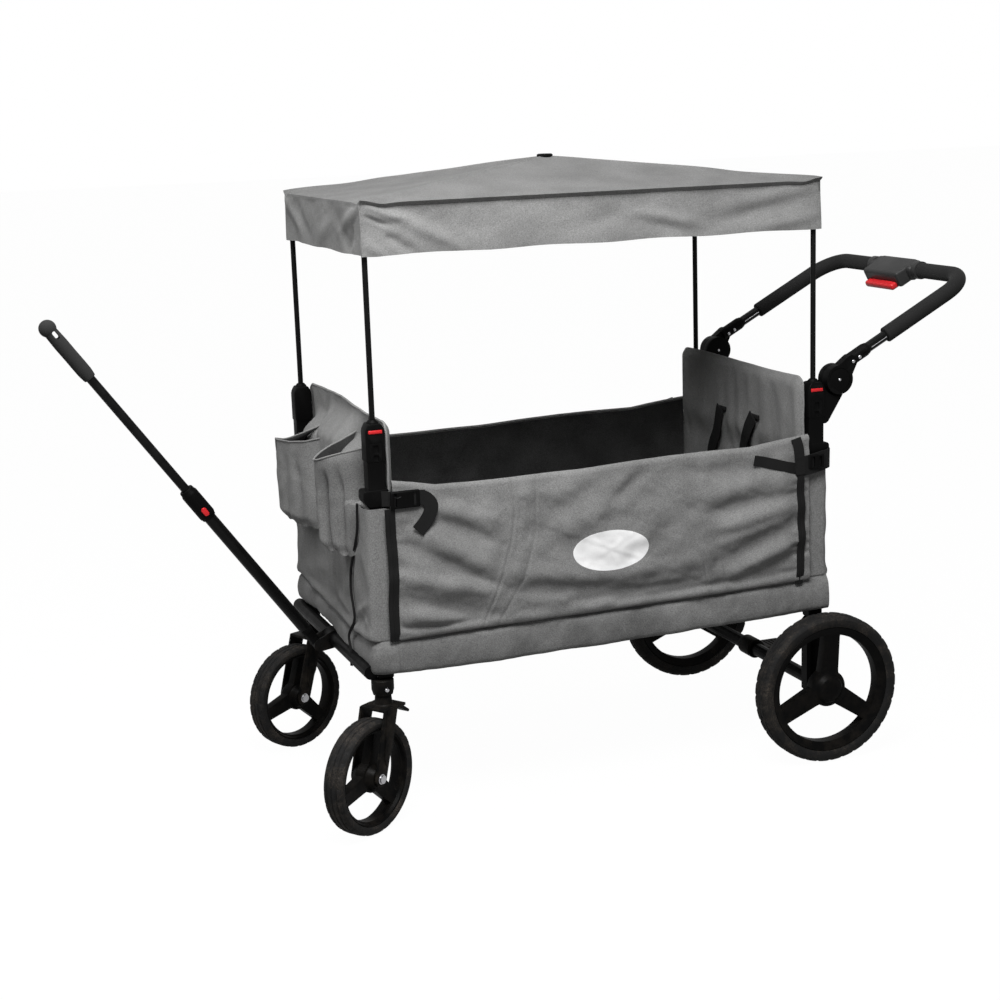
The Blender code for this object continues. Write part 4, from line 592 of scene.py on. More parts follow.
def webbing_material(name, colour, pitch):
    """Flat woven webbing with ribs across it."""
    made, tree, shader = new_material(name)
    place = object_place(tree)
    ribs = shader_node(
        tree, "ShaderNodeTexWave", {"Vector": place, "Scale": 1 / pitch, "Distortion": 1.5},
        bands_direction="DIAGONAL"
    )
    shade = mix_colours(tree, ribs.outputs["Fac"], grey(colour * 0.7), grey(colour * 1.5))
    tree.links.new(shade, shader.inputs["Base Color"])
    shader.inputs["Roughness"].default_value = 0.75
    shader.inputs["Specular IOR Level"].default_value = 0.18
    add_bump(tree, shader, ribs.outputs["Fac"], 0.0002, 0.6)
    return made


def moulded_material(name, colour, roughness, scale=900.0, dust=0.0, rubbed=0.12, gloss=0.05):
    """Moulded or coated parts: fine grain, rubbed patches, paler worn edges and some dust."""
    made, tree, shader = new_material(name)
    grain = group_node(tree, "moulded_grain", {"Scale": scale, "Rubbed": rubbed})
    edges = group_node(tree, "worn_edges", {"Amount": 0.35})
    worn = tuple(min(1.0, c * 2.0 + 0.006) for c in colour[:3]) + (1.0,)
    shade = mix_colours(tree, edges.outputs["Mask"], colour, worn)
    if dust:
        mask = group_node(tree, "road_dust", {"Amount": dust, "Reach": 0.32})
        shade = mix_colours(tree, mask.outputs["Mask"], shade, (0.19, 0.155, 0.12, 1))
    tree.links.new(shade, shader.inputs["Base Color"])
    rough = calculate(tree, "SUBTRACT", roughness, grain.outputs["Rubbed"])
    tree.links.new(rough, shader.inputs["Roughness"])
    shader.inputs["Specular IOR Level"].default_value = gloss
    add_bump(tree, shader, grain.outputs["Height"], 0.00012, 0.5)
    return made


def foam_material(name, colour):
    """Closed-cell foam: dull, with pits."""
    made, tree, shader = new_material(name)
    place = object_place(tree)
    pits = noise(tree, place, 700.0, 3.0, 0.6)
    patches = noise(tree, place, 18.0, 3.0)
    shade = mix_colours(tree, patches, grey(colour * 0.85), grey(colour * 1.2))
    tree.links.new(shade, shader.inputs["Base Color"])
    shader.inputs["Roughness"].default_value = 0.88
    shader.inputs["Sheen Weight"].default_value = 0.04
    shader.inputs["Specular IOR Level"].default_value = 0.15
    add_bump(tree, shader, pits, 0.0004, 0.5)
    return made


def tyre_material(name, colour):
    """Foam rubber tyre: dull black, with dry dust rubbed into its tread."""
    made, tree, shader = new_material(name)
    place = object_place(tree)
    grains = noise(tree, place, 420.0, 4.0, 0.65)
    dust = in_range(tree, noise(tree, place, 26.0, 5.0, 0.7), 0.45, 0.72, 0.0, 0.5)
    fine = in_range(tree, grains, 0.4, 0.65)
    mask = calculate(tree, "MULTIPLY", dust, fine)
    shade = mix_colours(tree, mask, colour, (0.16, 0.13, 0.105, 1))
    tree.links.new(shade, shader.inputs["Base Color"])
    tree.links.new(in_range(tree, grains, 0.3, 0.7, 0.62, 0.9), shader.inputs["Roughness"])
    shader.inputs["Specular IOR Level"].default_value = 0.18
    add_bump(tree, shader, grains, 0.0003, 0.5)
    return made


def metal_material(name, colour, roughness):
    """Bright plated steel with fine scratches."""
    made, tree, shader = new_material(name)
    place = object_place(tree)
    scratches = noise(tree, place, 800.0, 2.0)
    shader.inputs["Base Color"].default_value = colour
    shader.inputs["Metallic"].default_value = 1.0
    rough = in_range(tree, scratches, 0.3, 0.7, roughness * 0.8, roughness * 1.3)
    tree.links.new(rough, shader.inputs["Roughness"])
    add_bump(tree, shader, scratches, 0.00003, 0.3)
    return made


def print_material(name, colour):
    """A printed patch: paint that lets the weave show a little."""
    made, tree, shader = new_material(name)
    weave = group_node(
        tree, "yarn_weave",
        {"Dark": grey(colour * 0.93), "Light": grey(colour), "Warp": (900, 900, 130), "Weft": (130, 130, 900)}
    )
    tree.links.new(weave.outputs["Color"], shader.inputs["Base Color"])
    shader.inputs["Roughness"].default_value = 0.6
    add_bump(tree, shader, weave.outputs["Height"], 0.0002, 0.4)
    return made


UPRIGHT_WARP, UPRIGHT_WEFT = (1150, 1150, 380), (380, 380, 1150)
FLAT_WARP, FLAT_WEFT = (1150, 380, 1150), (380, 1150, 1150)
FINISHES = {}


def finish(name):
    """One of the wagon's materials, made when it is first asked for."""
    if name not in FINISHES:
        look = bpy.context.scene.wagon_look
        dark, light = (*look.yarn_dark, 1), (*look.yarn_light, 1)
        black = look.black_level
        makers = {
            # Copies of one cloth in different tones stand in for light: the upright copy for the sides, end
            # panels and pockets is darkened a little, painted shade
            "melange_upright": lambda: cloth_material(
                "melange_upright", toned(dark, 0.86), toned(light, 0.96), UPRIGHT_WARP, UPRIGHT_WEFT
            ),
            # The valance's copy is lightened, painted light
            "melange_valance_painted_light": lambda: cloth_material(
                "melange_valance_painted_light", toned(dark, 1.04), toned(light, 1.02), UPRIGHT_WARP, UPRIGHT_WEFT
            ),
            # The roof's copy is darkened, painted shade
            "melange_flat_painted_shade": lambda: cloth_material(
                "melange_flat_painted_shade", toned(dark, 0.66), toned(light, 0.66), FLAT_WARP, FLAT_WEFT
            ),
            # The skirts' and the near pocket's copy is darkened most, painted shade
            "melange_shaded": lambda: cloth_material(
                "melange_shaded", toned(dark, 0.70), toned(light, 0.80), UPRIGHT_WARP, UPRIGHT_WEFT,
                patches=0.2
            ),
            "hem": lambda: cloth_material(
                "hem_binding", toned(dark, 1.05), toned(light, 1.1), UPRIGHT_WARP, UPRIGHT_WEFT
            ),
            "lining": lambda: cloth_material(
                "black_lining", grey(black * 1.2), grey(black * 3.0), UPRIGHT_WARP, UPRIGHT_WEFT, 0.0002, 0.1,
                0.3
            ),
            "mat": lambda: cloth_material(
                "black_mat", grey(black * 0.7), grey(black * 1.7), FLAT_WARP, FLAT_WEFT, 0.0002, 0.1
            ),
            "webbing": lambda: webbing_material("black_webbing", black * 0.35, 0.0025),
            "plastic": lambda: moulded_material("black_plastic", grey(black * 0.16), 0.5),
            "low_plastic": lambda: moulded_material("dusty_black_plastic", grey(black * 0.2), 0.5, dust=0.22),
            "housing": lambda: moulded_material("dark_grey_plastic", grey(black * 1.3), 0.5, gloss=0.25),
            "rim": lambda: moulded_material("wheel_plastic", grey(black * 0.13), 0.45, dust=0.05),
            "paint": lambda: moulded_material("black_coating", grey(black * 0.1), 0.42, 1500.0, gloss=0.05),
            "tube": lambda: moulded_material("anodised_tube", grey(black * 0.2), 0.34, 2200.0, gloss=0.12),
            "red": lambda: moulded_material(
                "red_plastic", (*look.red, 1), 0.36, 1500.0, rubbed=0.05, gloss=0.3
            ),
            "foam": lambda: foam_material("black_foam", black * 0.7),
            "grip": lambda: foam_material("grip_rubber", black * 1.3),
            "tyre": lambda: tyre_material("tyre_rubber", grey(black * 0.45)),
            "steel": lambda: metal_material("plated_steel", (0.62, 0.62, 0.64, 1), 0.25),
            "print": lambda: print_material("white_print", 0.95)
        }
        FINISHES[name] = makers[name]()
    return FINISHES[name]


def piece(name, mesh, look, body, replaces=(), angle=40):
    """A named piece of the wagon, which rides on a body."""
    mesh.name = name
    mesh.transform(Matrix.Translation(SHIFT))
    looks = [look] if isinstance(look, str) else look
    for index, kind in enumerate(looks):
        if index == len(mesh.materials):
            mesh.materials.append(None)
        mesh.materials[index] = finish(kind)
    mesh.shade_smooth()
    mesh.set_sharp_from_angle(angle=math.radians(angle))
    obj = bpy.data.objects.new(name, mesh)
    bpy.context.scene.collection.objects.link(obj)
    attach(obj, body)
    if replaces:
        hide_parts(*replaces)
    return obj


def crumple_with_fold(obj):
    """Give a piece its own copy of its mesh."""
    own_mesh(obj)


def refinish(node, look):
    """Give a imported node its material."""
    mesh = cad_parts[node].data
    mesh.materials.clear()
    mesh.materials.append(finish(look))


# Canopy

CANOPY_LOW, CANOPY_HIGH = local("canopy_cloth")
CANOPY_HALF_X = POST_X + 0.0075
CANOPY_HALF_Y = POST_Y + 0.0180
VALANCE_BOTTOM = CANOPY_LOW.z + 0.0048
CANOPY_EDGE_Z = 1.0658
CANOPY_TIP = 0.0055
CANOPY_RISE = CANOPY_HIGH.z - CANOPY_EDGE_Z - 0.001
CANOPY_SAG = 0.004
RIB_DROP = 0.0045
RIB_RADIUS = 0.0022
CANOPY_STEPS = (150, 92)


def roof_height(x, y):
    """Height of the roof over a place on it."""
    u, v = np.abs(x) / CANOPY_HALF_X, np.abs(y) / CANOPY_HALF_Y
    share = np.maximum(u, v)
    across = np.minimum(u, v) / np.maximum(share, 0.001)
    tip = CANOPY_TIP * smooth((share - 0.72) / 0.28) * smooth((across - 0.80) / 0.20)
    tip = tip - 0.0050 * smooth((share - 0.80) / 0.20) * bump(across - 0.915, 0.055)
    ridge = 0.0025 * bump(1 - across, 0.05) * np.sin(np.pi * np.clip(share, 0, 1))
    sag = CANOPY_SAG * np.sin(np.pi * share) * (1 - across**2)
    waves = crumple(x, y, 0.16, 0.0011, 5) * np.sin(np.pi * np.clip(share, 0, 1))
    return CANOPY_EDGE_Z + CANOPY_RISE * (1 - share) + tip + ridge - sag + waves


def valance_folds(run, down, side):
    """How far the valance stands out. Run goes along it in metres from the front or near corner."""
    if side == "near":
        folds = (
            ((0.004, 0.006), (0.076, 0.028), 0.0070, 0.0062),
            ((0.060, 0.023), (0.172, 0.082), 0.0100, 0.0055),
            ((0.006, 0.017), (0.046, 0.028), 0.0035, 0.0026),
            ((0.008, 0.024), (0.046, 0.036), 0.0035, -0.0030),
            ((0.004, 0.043), (0.058, 0.060), 0.0070, -0.0050),
            ((0.050, 0.057), (0.092, 0.086), 0.0080, -0.0052),
            ((0.090, 0.022), (0.200, 0.055), 0.0160, -0.0030),
            ((0.000, 0.060), (0.040, 0.090), 0.0080, 0.0035), ((0.20, 0.020), (0.40, 0.045), 0.020, 0.0020),
            ((0.36, 0.060), (0.50, 0.030), 0.014, -0.0025), ((0.47, 0.035), (0.62, 0.066), 0.010, 0.0035),
            ((0.50, 0.055), (0.60, 0.082), 0.012, -0.0035), ((0.60, 0.070), (0.82, 0.030), 0.016, -0.0045),
            ((0.66, 0.040), (0.84, 0.012), 0.014, 0.0040), ((0.72, 0.080), (0.84, 0.060), 0.010, 0.0035)
        )
    elif side == "front":
        folds = (
            ((0.505, 0.008), (0.380, 0.050), 0.012, 0.0050), ((0.505, 0.020), (0.430, 0.080), 0.009, -0.0050),
            ((0.350, 0.012), (0.450, 0.085), 0.016, -0.0028), ((0.240, 0.070), (0.360, 0.030), 0.014, 0.0030),
            ((0.006, 0.010), (0.120, 0.060), 0.013, 0.0045), ((0.080, 0.020), (0.200, 0.080), 0.016, -0.0030)
        )
    elif side == "rear":
        folds = (
            ((0.02, 0.020), (0.12, 0.080), 0.012, 0.0040), ((0.20, 0.040), (0.34, 0.050), 0.018, -0.0025),
            ((0.40, 0.020), (0.50, 0.075), 0.013, 0.0035)
        )
    else:
        folds = (
            ((0.01, 0.020), (0.14, 0.080), 0.012, 0.0045), ((0.24, 0.050), (0.40, 0.040), 0.020, -0.0025),
            ((0.48, 0.030), (0.60, 0.062), 0.014, 0.0030), ((0.70, 0.020), (0.84, 0.078), 0.012, 0.0040)
        )
    total = sum(fold(run, down, *one) for one in folds)
    return total + crumple(run, down, 0.10, 0.0012, 11 + len(side)) + crumple(run, down, 0.03, 0.0003, 5)


def canopy_rim(steps_x, steps_y):
    """Points once round the canopy's edge: place, outward direction, side and run along the side."""
    rim = []
    for side, steps, start, end, out in (
        ("near", steps_x, (-1, -1), (1, -1), (0, -1)), ("rear", steps_y, (1, -1), (1, 1), (1, 0)),
        ("far", steps_x, (1, 1), (-1, 1), (0, 1)), ("front", steps_y, (-1, 1), (-1, -1), (-1, 0))
    ):
        for i in range(steps):
            t = i / steps
            x = (start[0] + (end[0] - start[0]) * t) * CANOPY_HALF_X
            y = (start[1] + (end[1] - start[1]) * t) * CANOPY_HALF_Y
            length = 2 * (CANOPY_HALF_X if steps == steps_x else CANOPY_HALF_Y)
            rim.append((x, y, out, side, t * length, length))
    return rim


def canopy_ring(depth, proud=0.0):
    """One row of the valance, at a share of the way down it."""
    inset = 0.0080
    drop = CANOPY_EDGE_Z - VALANCE_BOTTOM
    ring = []
    for x, y, out, side, run, length in canopy_rim(*CANOPY_STEPS):
        edge = float(roof_height(np.array(x), np.array(y)))
        down = depth * drop
        corner = min(run, length - run)
        stand = float(valance_folds(np.array(run), np.array(down), side))
        stand *= float(smooth(corner / 0.010)) * float(smooth(depth / 0.14))
        stand = max(-0.0004 if corner < 0.04 else -0.0045, min(stand, 0.0085))
        tuck = float(smooth(depth / 0.07)) * (1 - 0.55 * float(smooth((depth - 0.1) / 0.9)))
        px = x - 0.0006 * tuck * x / CANOPY_HALF_X + out[0] * (stand + proud)
        py = y - inset * tuck * y / CANOPY_HALF_Y + out[1] * (stand + proud)
        wave = 0.0012 * math.sin(run * 31 + len(side)) * depth
        ring.append((px, py, edge - depth * (edge - VALANCE_BOTTOM) + wave))
    return np.array(ring)


def canopy_mesh():
    """The roof and its valance as one sheet."""
    rim = canopy_rim(*CANOPY_STEPS)
    shares = list(np.linspace(0.03, 1.0, 40))
    rows = []
    for share in shares:
        ring = np.array([(x * share, y * share) for x, y, *_ in rim])
        rows.append(np.column_stack([ring, roof_height(ring[:, 0], ring[:, 1])]))
    rows += [canopy_ring(depth) for depth in np.linspace(0.0, 1.0, 34)[1:]]
    mesh = grid_mesh(np.array(rows), closed=True)
    count = (len(shares) - 1) * len(rim)
    for polygon in mesh.polygons:
        polygon.material_index = 0 if polygon.index < count else 1
    return mesh


def make_canopy():
    """The canopy's cloth, hem stitching, peak cap, ribs and poles."""
    # The roof is the darkened copy of the cloth, painted shade, and the valance the lightened copy, painted
    # light
    cloth = piece(
        "canopy_cover", thick_sheet(canopy_mesh()), ["melange_flat_painted_shade", "melange_valance_painted_light"], "canopy",
        ["canopy_cloth"], angle=70
    )
    stitches = cord_mesh(canopy_ring(0.885, 0.0002), 0.0005, 6, ring=True)
    hem = piece("canopy_hem_stitches", stitches, "hem", "canopy")

    top = local("canopy_ribs")[1].z
    hub_top = float(roof_height(np.array(0.0), np.array(0.0)))
    patch = lathe(
        [
            (0, top), (0.012, top - 0.0002), (0.0145, top - 0.0016), (0.0145, hub_top - 0.0025),
            (0, hub_top - 0.0025)
        ],
        32
    )
    peak = piece("canopy_peak_cap", patch, "plastic", "canopy")
    ribs = []
    for sx in (-1, 1):
        for sy in (-1, 1):
            shares = np.linspace(0.955, 0.02, 24)
            x, y = sx * CANOPY_HALF_X * shares, sy * CANOPY_HALF_Y * shares
            z = roof_height(x, y) - RIB_DROP
            ribs.append(cord_mesh(np.column_stack([x, y, z]), RIB_RADIUS, 10))
    hub = lathe(
        [
            (0, hub_top - 0.004), (0.017, hub_top - 0.005), (0.018, hub_top - 0.0075),
            (0.016, hub_top - 0.011), (0, hub_top - 0.012)
        ],
        32
    )
    ribs_piece = piece("canopy_rib_set", together(*ribs, hub), "tube", "canopy", ["canopy_ribs"])
    for obj in (cloth, hem, ribs_piece, peak):
        crumple_with_fold(obj)

    for end, body in (("rear", "canopy"), ("front", "front_poles")):
        for side, _ in SIDES:
            low, high = local(f"{end}_pole_{side}")
            at = (low + high) / 2
            radius = (high.x - low.x) / 2
            shape = moulded(rod((at.x, at.y, low.z), (at.x, at.y, high.z), radius, 28), edge=0.0006)
            piece(f"{end}_pole_tube_{side}", shape, "tube", body, [f"{end}_pole_{side}"])


# Corner sockets

SOCKET_HALF_X = 0.0168
SOCKET_HALF_Y = 0.015
FOOT_BOTTOM_Z = 0.5625
FOOT_TOP_Z = 0.5925
STEP_Z = 0.6385
SHOULDERS_Z = 0.6945
NECK_Z = 0.7045
NOZZLE_TOP_Z = 0.7095


def socket_shape(sx):
    """A far corner's socket: foot, sleeve, head with the button's pocket and vents, and the pole's nozzle."""
    x, y = sx * POST_X, POST_Y
    outline = [
        (-0.0185, FOOT_BOTTOM_Z), (0.0150, FOOT_BOTTOM_Z), (0.0245, 0.5725), (0.0260, 0.5780),
        (0.0255, 0.5890), (0.0225, FOOT_TOP_Z), (-0.0185, FOOT_TOP_Z)
    ]
    foot = moulded(plate([(x + sx * out, z) for out, z in outline], 0.033, y), edge=0.0022, steps=3)
    sleeve = box(
        (x - 0.0155, y - 0.0142, FOOT_BOTTOM_Z + 0.004), (x + 0.0155, y + 0.0142, STEP_Z + 0.01), 0.003, 3
    )
    w = SOCKET_HALF_X
    front = [
        (-w + 0.001, STEP_Z), (w - 0.001, STEP_Z), (w, STEP_Z + 0.003), (w, SHOULDERS_Z - 0.004),
        (w * 0.93, SHOULDERS_Z + 0.001), (w * 0.64, NECK_Z), (-w * 0.64, NECK_Z),
        (-w * 0.93, SHOULDERS_Z + 0.001), (-w, SHOULDERS_Z - 0.004), (-w, STEP_Z + 0.003)
    ]
    head = moulded(plate([(x + a, z) for a, z in front], 2 * SOCKET_HALF_Y, y), edge=0.0025, steps=3)
    nozzle = lathe(
        [
            (0, NECK_Z - 0.006), (0.0112, NECK_Z - 0.006), (0.0105, NECK_Z + 0.001), (0.0084, NECK_Z + 0.003),
            (0.0078, NOZZLE_TOP_Z - 0.001), (0.0070, NOZZLE_TOP_Z), (0, NOZZLE_TOP_Z)
        ],
        32
    )
    moved(nozzle, (x, y, 0))
    face = y + SOCKET_HALF_Y
    button_low, button_high = local("front_pole_button_far")
    play = 0.0004
    pocket = box(
        (x - (button_high.x - button_low.x) / 2 - play, face - 0.0088, button_low.z - play),
        (x + (button_high.x - button_low.x) / 2 + play, face + 0.01, button_high.z + play),
    )
    vents = [
        box((x - 0.0045, face - 0.0022, low), (x + 0.0045, face + 0.01, high), 0.0008)
        for low, high in ((0.6548, 0.6680), (0.6410, 0.6515))
    ]
    line = 0.0005
    outer, inner = 0.0108, 0.0101
    frame_high, frame_low = 0.6725, 0.6395
    lines = [
        box((x - outer, face - line, frame_low), (x - inner, face + 0.01, frame_high)),
        box((x + inner, face - line, frame_low), (x + outer, face + 0.01, frame_high)),
        box((x - outer, face - line, frame_high - 0.0007), (x + outer, face + 0.01, frame_high)),
    ]
    bore = rod((x, y, SHOULDERS_Z - 0.02), (x, y, NOZZLE_TOP_Z + 0.02), 0.0054, 28)
    return sleeve, [foot, head, nozzle], [bore, pocket, *vents, *lines]


PUSH_PIVOT = (0.4625, 0.706)
HUB_RADIUS = 0.027
HUB_ROOM = 0.0030
HUB_INNER_Y = 0.2237
HUB_SPLIT_Y = 0.2370
HUB_OUTER_Y = local("push_connector_far")[1].y
GUSSET_BOTTOM = 0.627


def make_sockets():
    """The four corner sockets with their red buttons, and the fixed halves of the handle's joint."""
    for end, sx in (("rear", 1), ("front", -1)):
        shape, joins, cuts = socket_shape(sx)
        if sx > 0:
            thick = HUB_SPLIT_Y - HUB_INNER_Y
            centre = HUB_INNER_Y + thick / 2
            disc = plate(circle(PUSH_PIVOT, HUB_RADIUS, 64), thick, centre)
            edge = POST_X + SOCKET_HALF_X - 0.0015
            gusset = [
                (edge, GUSSET_BOTTOM), (edge + 0.006, GUSSET_BOTTOM + 0.0005),
                (edge + 0.0105, GUSSET_BOTTOM + 0.004),
                (PUSH_PIVOT[0] + HUB_RADIUS * 0.55, PUSH_PIVOT[1] - HUB_RADIUS * 0.75),
                (PUSH_PIVOT[0], PUSH_PIVOT[1]), (edge, PUSH_PIVOT[1] - 0.008)
            ]
            web = plate(gusset, thick + 0.012, HUB_INNER_Y + 0.0003 + (thick + 0.012) / 2)
            room = cross_rod(PUSH_PIVOT, HUB_SPLIT_Y, 0.3, HUB_RADIUS + HUB_ROOM, 64)
            joins, cuts = joins + [disc, web], [room] + cuts
        mould = moulded(shape, joins, cuts, edge=0.0005)
        for side, sign in SIDES:
            piece(
                f"{end}_socket_{side}", mirrored(mould, sign), "plastic", f"{end}_frame",
                [f"{end}_pole_socket_{side}"], angle=35
            )
            low, high = local(f"{end}_pole_button_{side}")
            key = box(low, high, 0.0013, 3)
            piece(
                f"{end}_red_button_{side}", key, "red", f"{end}_button_{side}", [f"{end}_pole_button_{side}"]
            )


# Side cloth

SIDE_TOP_POINTS = (
    (-0.400, 0.607), (-0.356, 0.600), (-0.318, 0.592), (-0.256, 0.590), (-0.054, 0.592), (0.069, 0.597),
    (0.117, 0.599), (0.278, 0.599), (0.312, 0.603), (0.400, 0.612)
)
HEM_WIDTH = 0.023
LEFT_SEAMS = (
    ((-0.184, 0.600), (-0.180, 0.534), (-0.191, 0.474), (-0.212, 0.414), (-0.244, 0.336)),
    ((-0.138, 0.600), (-0.143, 0.495), (-0.168, 0.417), (-0.2165, 0.336)),
)
RIGHT_SEAMS = (
    ((0.070, 0.605), (0.102, 0.549), (0.146, 0.462), (0.175, 0.404), (0.192, 0.336)),
    ((0.116, 0.605), (0.157, 0.534), (0.185, 0.458), (0.215, 0.399), (0.230, 0.336)),
)
SIDE_FOLDS = (
    ((-0.330, 0.556), (-0.225, 0.525), 0.014, 0.0040), ((-0.322, 0.533), (-0.205, 0.478), 0.012, -0.0045),
    ((-0.350, 0.515), (-0.210, 0.430), 0.016, 0.0050), ((-0.372, 0.492), (-0.226, 0.412), 0.012, -0.0045),
    ((-0.386, 0.440), (-0.222, 0.398), 0.014, 0.0045), ((-0.386, 0.402), (-0.228, 0.356), 0.012, -0.0045),
    ((-0.386, 0.374), (-0.270, 0.345), 0.012, 0.0035), ((-0.160, 0.560), (-0.040, 0.575), 0.016, 0.0025),
    ((0.000, 0.525), (0.075, 0.585), 0.013, -0.0042), ((-0.080, 0.490), (0.050, 0.548), 0.018, 0.0035),
    ((-0.150, 0.500), (-0.060, 0.455), 0.018, -0.0025), ((-0.190, 0.395), (0.020, 0.372), 0.013, -0.0050),
    ((-0.060, 0.398), (0.170, 0.408), 0.016, 0.0040), ((-0.080, 0.362), (0.170, 0.368), 0.009, -0.0050),
    ((0.010, 0.350), (0.366, 0.362), 0.007, -0.0045), ((-0.385, 0.350), (-0.240, 0.348), 0.007, -0.0040),
    ((-0.200, 0.420), (-0.060, 0.415), 0.016, 0.0025), ((0.160, 0.520), (0.366, 0.545), 0.016, 0.0040),
    ((0.180, 0.488), (0.366, 0.508), 0.012, -0.0042), ((0.176, 0.458), (0.372, 0.486), 0.012, 0.0045),
    ((0.205, 0.398), (0.372, 0.452), 0.012, -0.0045), ((0.200, 0.430), (0.372, 0.474), 0.009, 0.0022),
    ((0.232, 0.376), (0.372, 0.424), 0.011, 0.0045), ((0.232, 0.346), (0.372, 0.396), 0.011, -0.0040),
    ((0.120, 0.570), (0.280, 0.560), 0.014, -0.0030)
)
BANDS = (-0.4015, 0.375)
BAND_WIDTHS = (0.0180, 0.0150)
BAND_TOP = 0.5605
FOLD_STRENGTH = 1.9
FOLD_OUT, FOLD_IN = 0.0125, 0.0065
SIDE_BELLY = 0.0112
LINING_GAP = 0.0088
SKIRT_FRONT, SKIRT_REAR = -0.402, 0.4365
SIDE_SEAM = (
    (-0.436, -0.390, -0.260, -0.024, 0.224, 0.367, 0.440),
    (0.329, 0.329, 0.3325, 0.3335, 0.3365, 0.3395, 0.342),
)
SIDE_FOOT = ((-0.440, -0.315, -0.026, 0.343, 0.440), (0.2745, 0.2715, 0.2735, 0.2800, 0.2840))


def side_top(x):
    """Height of the side panel's top edge."""
    places, heights = zip(*SIDE_TOP_POINTS)
    return np.interp(x, places, heights) + 0.0003 * np.sin(x * 41)


def side_stand(x, z, seed):
    """How far the side panel's cloth stands out from its flat face."""
    total = FOLD_STRENGTH * sum(fold(x, z, *one) for one in SIDE_FOLDS)
    top, seam = side_top(x), np.interp(x, *SIDE_SEAM)
    total = total + crumple(x, z, 0.085, 0.0024, seed) + crumple(x, z, 0.038, 0.0009, seed + 4)
    total = total + crumple(x, z, 0.019, 0.0003, seed + 1)
    for band in BANDS:
        wave = np.sin(2 * np.pi * z / 0.024 + 2.6 * np.sin(z * 61 + band) + 9 * band)
        wave = wave * (0.55 + 0.45 * np.sin(z * 47 + 20 * band))
        total = total + 0.0017 * bump(np.abs(x - band) - 0.007, 0.016) * wave
    for seams in (LEFT_SEAMS, RIGHT_SEAMS):
        first, last = (line_distance(x, z, seam_line) for seam_line in seams)
        between = smooth(1 - np.abs(first - last) / 0.040)
        total = total * (1 - 0.45 * bump(np.minimum(first, last), 0.010)) + 0.0014 * between
        total = total - 0.0016 * bump(first, 0.0020) - 0.0016 * bump(last, 0.0020)
        total = total + 0.0010 * bump(first - 0.004, 0.003)
    near_top = smooth((top - z) / (HEM_WIDTH * 1.6))
    near_seam = smooth((z - seam) / 0.02)
    total = total * (0.25 + 0.75 * near_top) * (0.35 + 0.65 * near_seam)
    total = total - 0.0004 * bump(top - z - HEM_WIDTH, 0.0018)
    total = np.where(total > 0, FOLD_OUT * np.tanh(total / FOLD_OUT), FOLD_IN * np.tanh(total / FOLD_IN))
    height = np.clip((z - seam) / (top - seam), 0, 1)
    belly = SIDE_BELLY * np.sin(np.pi * height**0.76) * smooth((0.405 - np.abs(x)) / 0.07)
    lip = 0.0022 + 0.0028 * bump(z - seam - 0.010, 0.010)
    return total + belly + lip - 0.0100 * smooth((seam + 0.0035 - z) / 0.0045)


def side_sheet(seed, columns=320, rows=84):
    """The far side's outer cloth, with its hem turned over the top edge."""
    x = np.linspace(-SIDE_END, SIDE_END, columns)
    top = side_top(x)
    fold_radius = 0.0028
    grid = []
    for depth in (0.009, 0.005, 0.002):
        grid.append(np.column_stack([x, np.full_like(x, SIDE_Y - 2 * fold_radius + 0.0012), top - depth]))
    for angle in np.radians([150, 110, 70, 30]):
        y = SIDE_Y - fold_radius + fold_radius * math.cos(angle)
        z = top - fold_radius * (1 - math.sin(angle))
        grid.append(np.column_stack([x, y + 0 * x, z]))
    for t in 1 - np.linspace(0.994, 0.0, rows) ** 1.25:
        z = top - fold_radius + (np.interp(x, *SIDE_SEAM) - 0.002 - top + fold_radius) * t
        stand = side_stand(x, z, seed)
        grid.append(np.column_stack([x, SIDE_Y + stand, z]))
    return grid_mesh(np.array(grid))


def lining_sheet(seed, columns=150, rows=40):
    """The far side's inner cloth, with a loose surface and an upright seam."""
    x = np.linspace(-SIDE_END + 0.002, SIDE_END - 0.002, columns)
    top = side_top(x) - 0.004
    grid = []
    for t in np.linspace(0.0, 1.0, rows):
        z = top + (LINING_FOOT_Z - top) * t
        stand = crumple(x, z, 0.20, 0.0035, seed) + crumple(x, z, 0.06, 0.0012, seed + 3)
        stand = stand * smooth((top - z) / 0.05) * smooth((SIDE_END - np.abs(x)) / 0.04)
        stand = stand - 0.0018 * bump(x - 0.170, 0.0025) - 0.0018 * bump(x + 0.215, 0.0025)
        grid.append(np.column_stack([x, SIDE_Y - LINING_GAP - np.clip(stand, -0.0008, 0.0052), z]))
    return grid_mesh(np.array(grid))


SKIRT_SECTION = (
    (0.0050, -0.0050), (0.0010, -0.0045), (-0.0040, -0.0012), (-0.0110, 0.0030), (-0.0220, 0.0056),
    (-0.0360, 0.0068), (-0.0480, 0.0064), (-0.0570, 0.0048), (-0.0625, 0.0018), (-0.0640, -0.0012),
    (-0.0600, -0.0035)
)


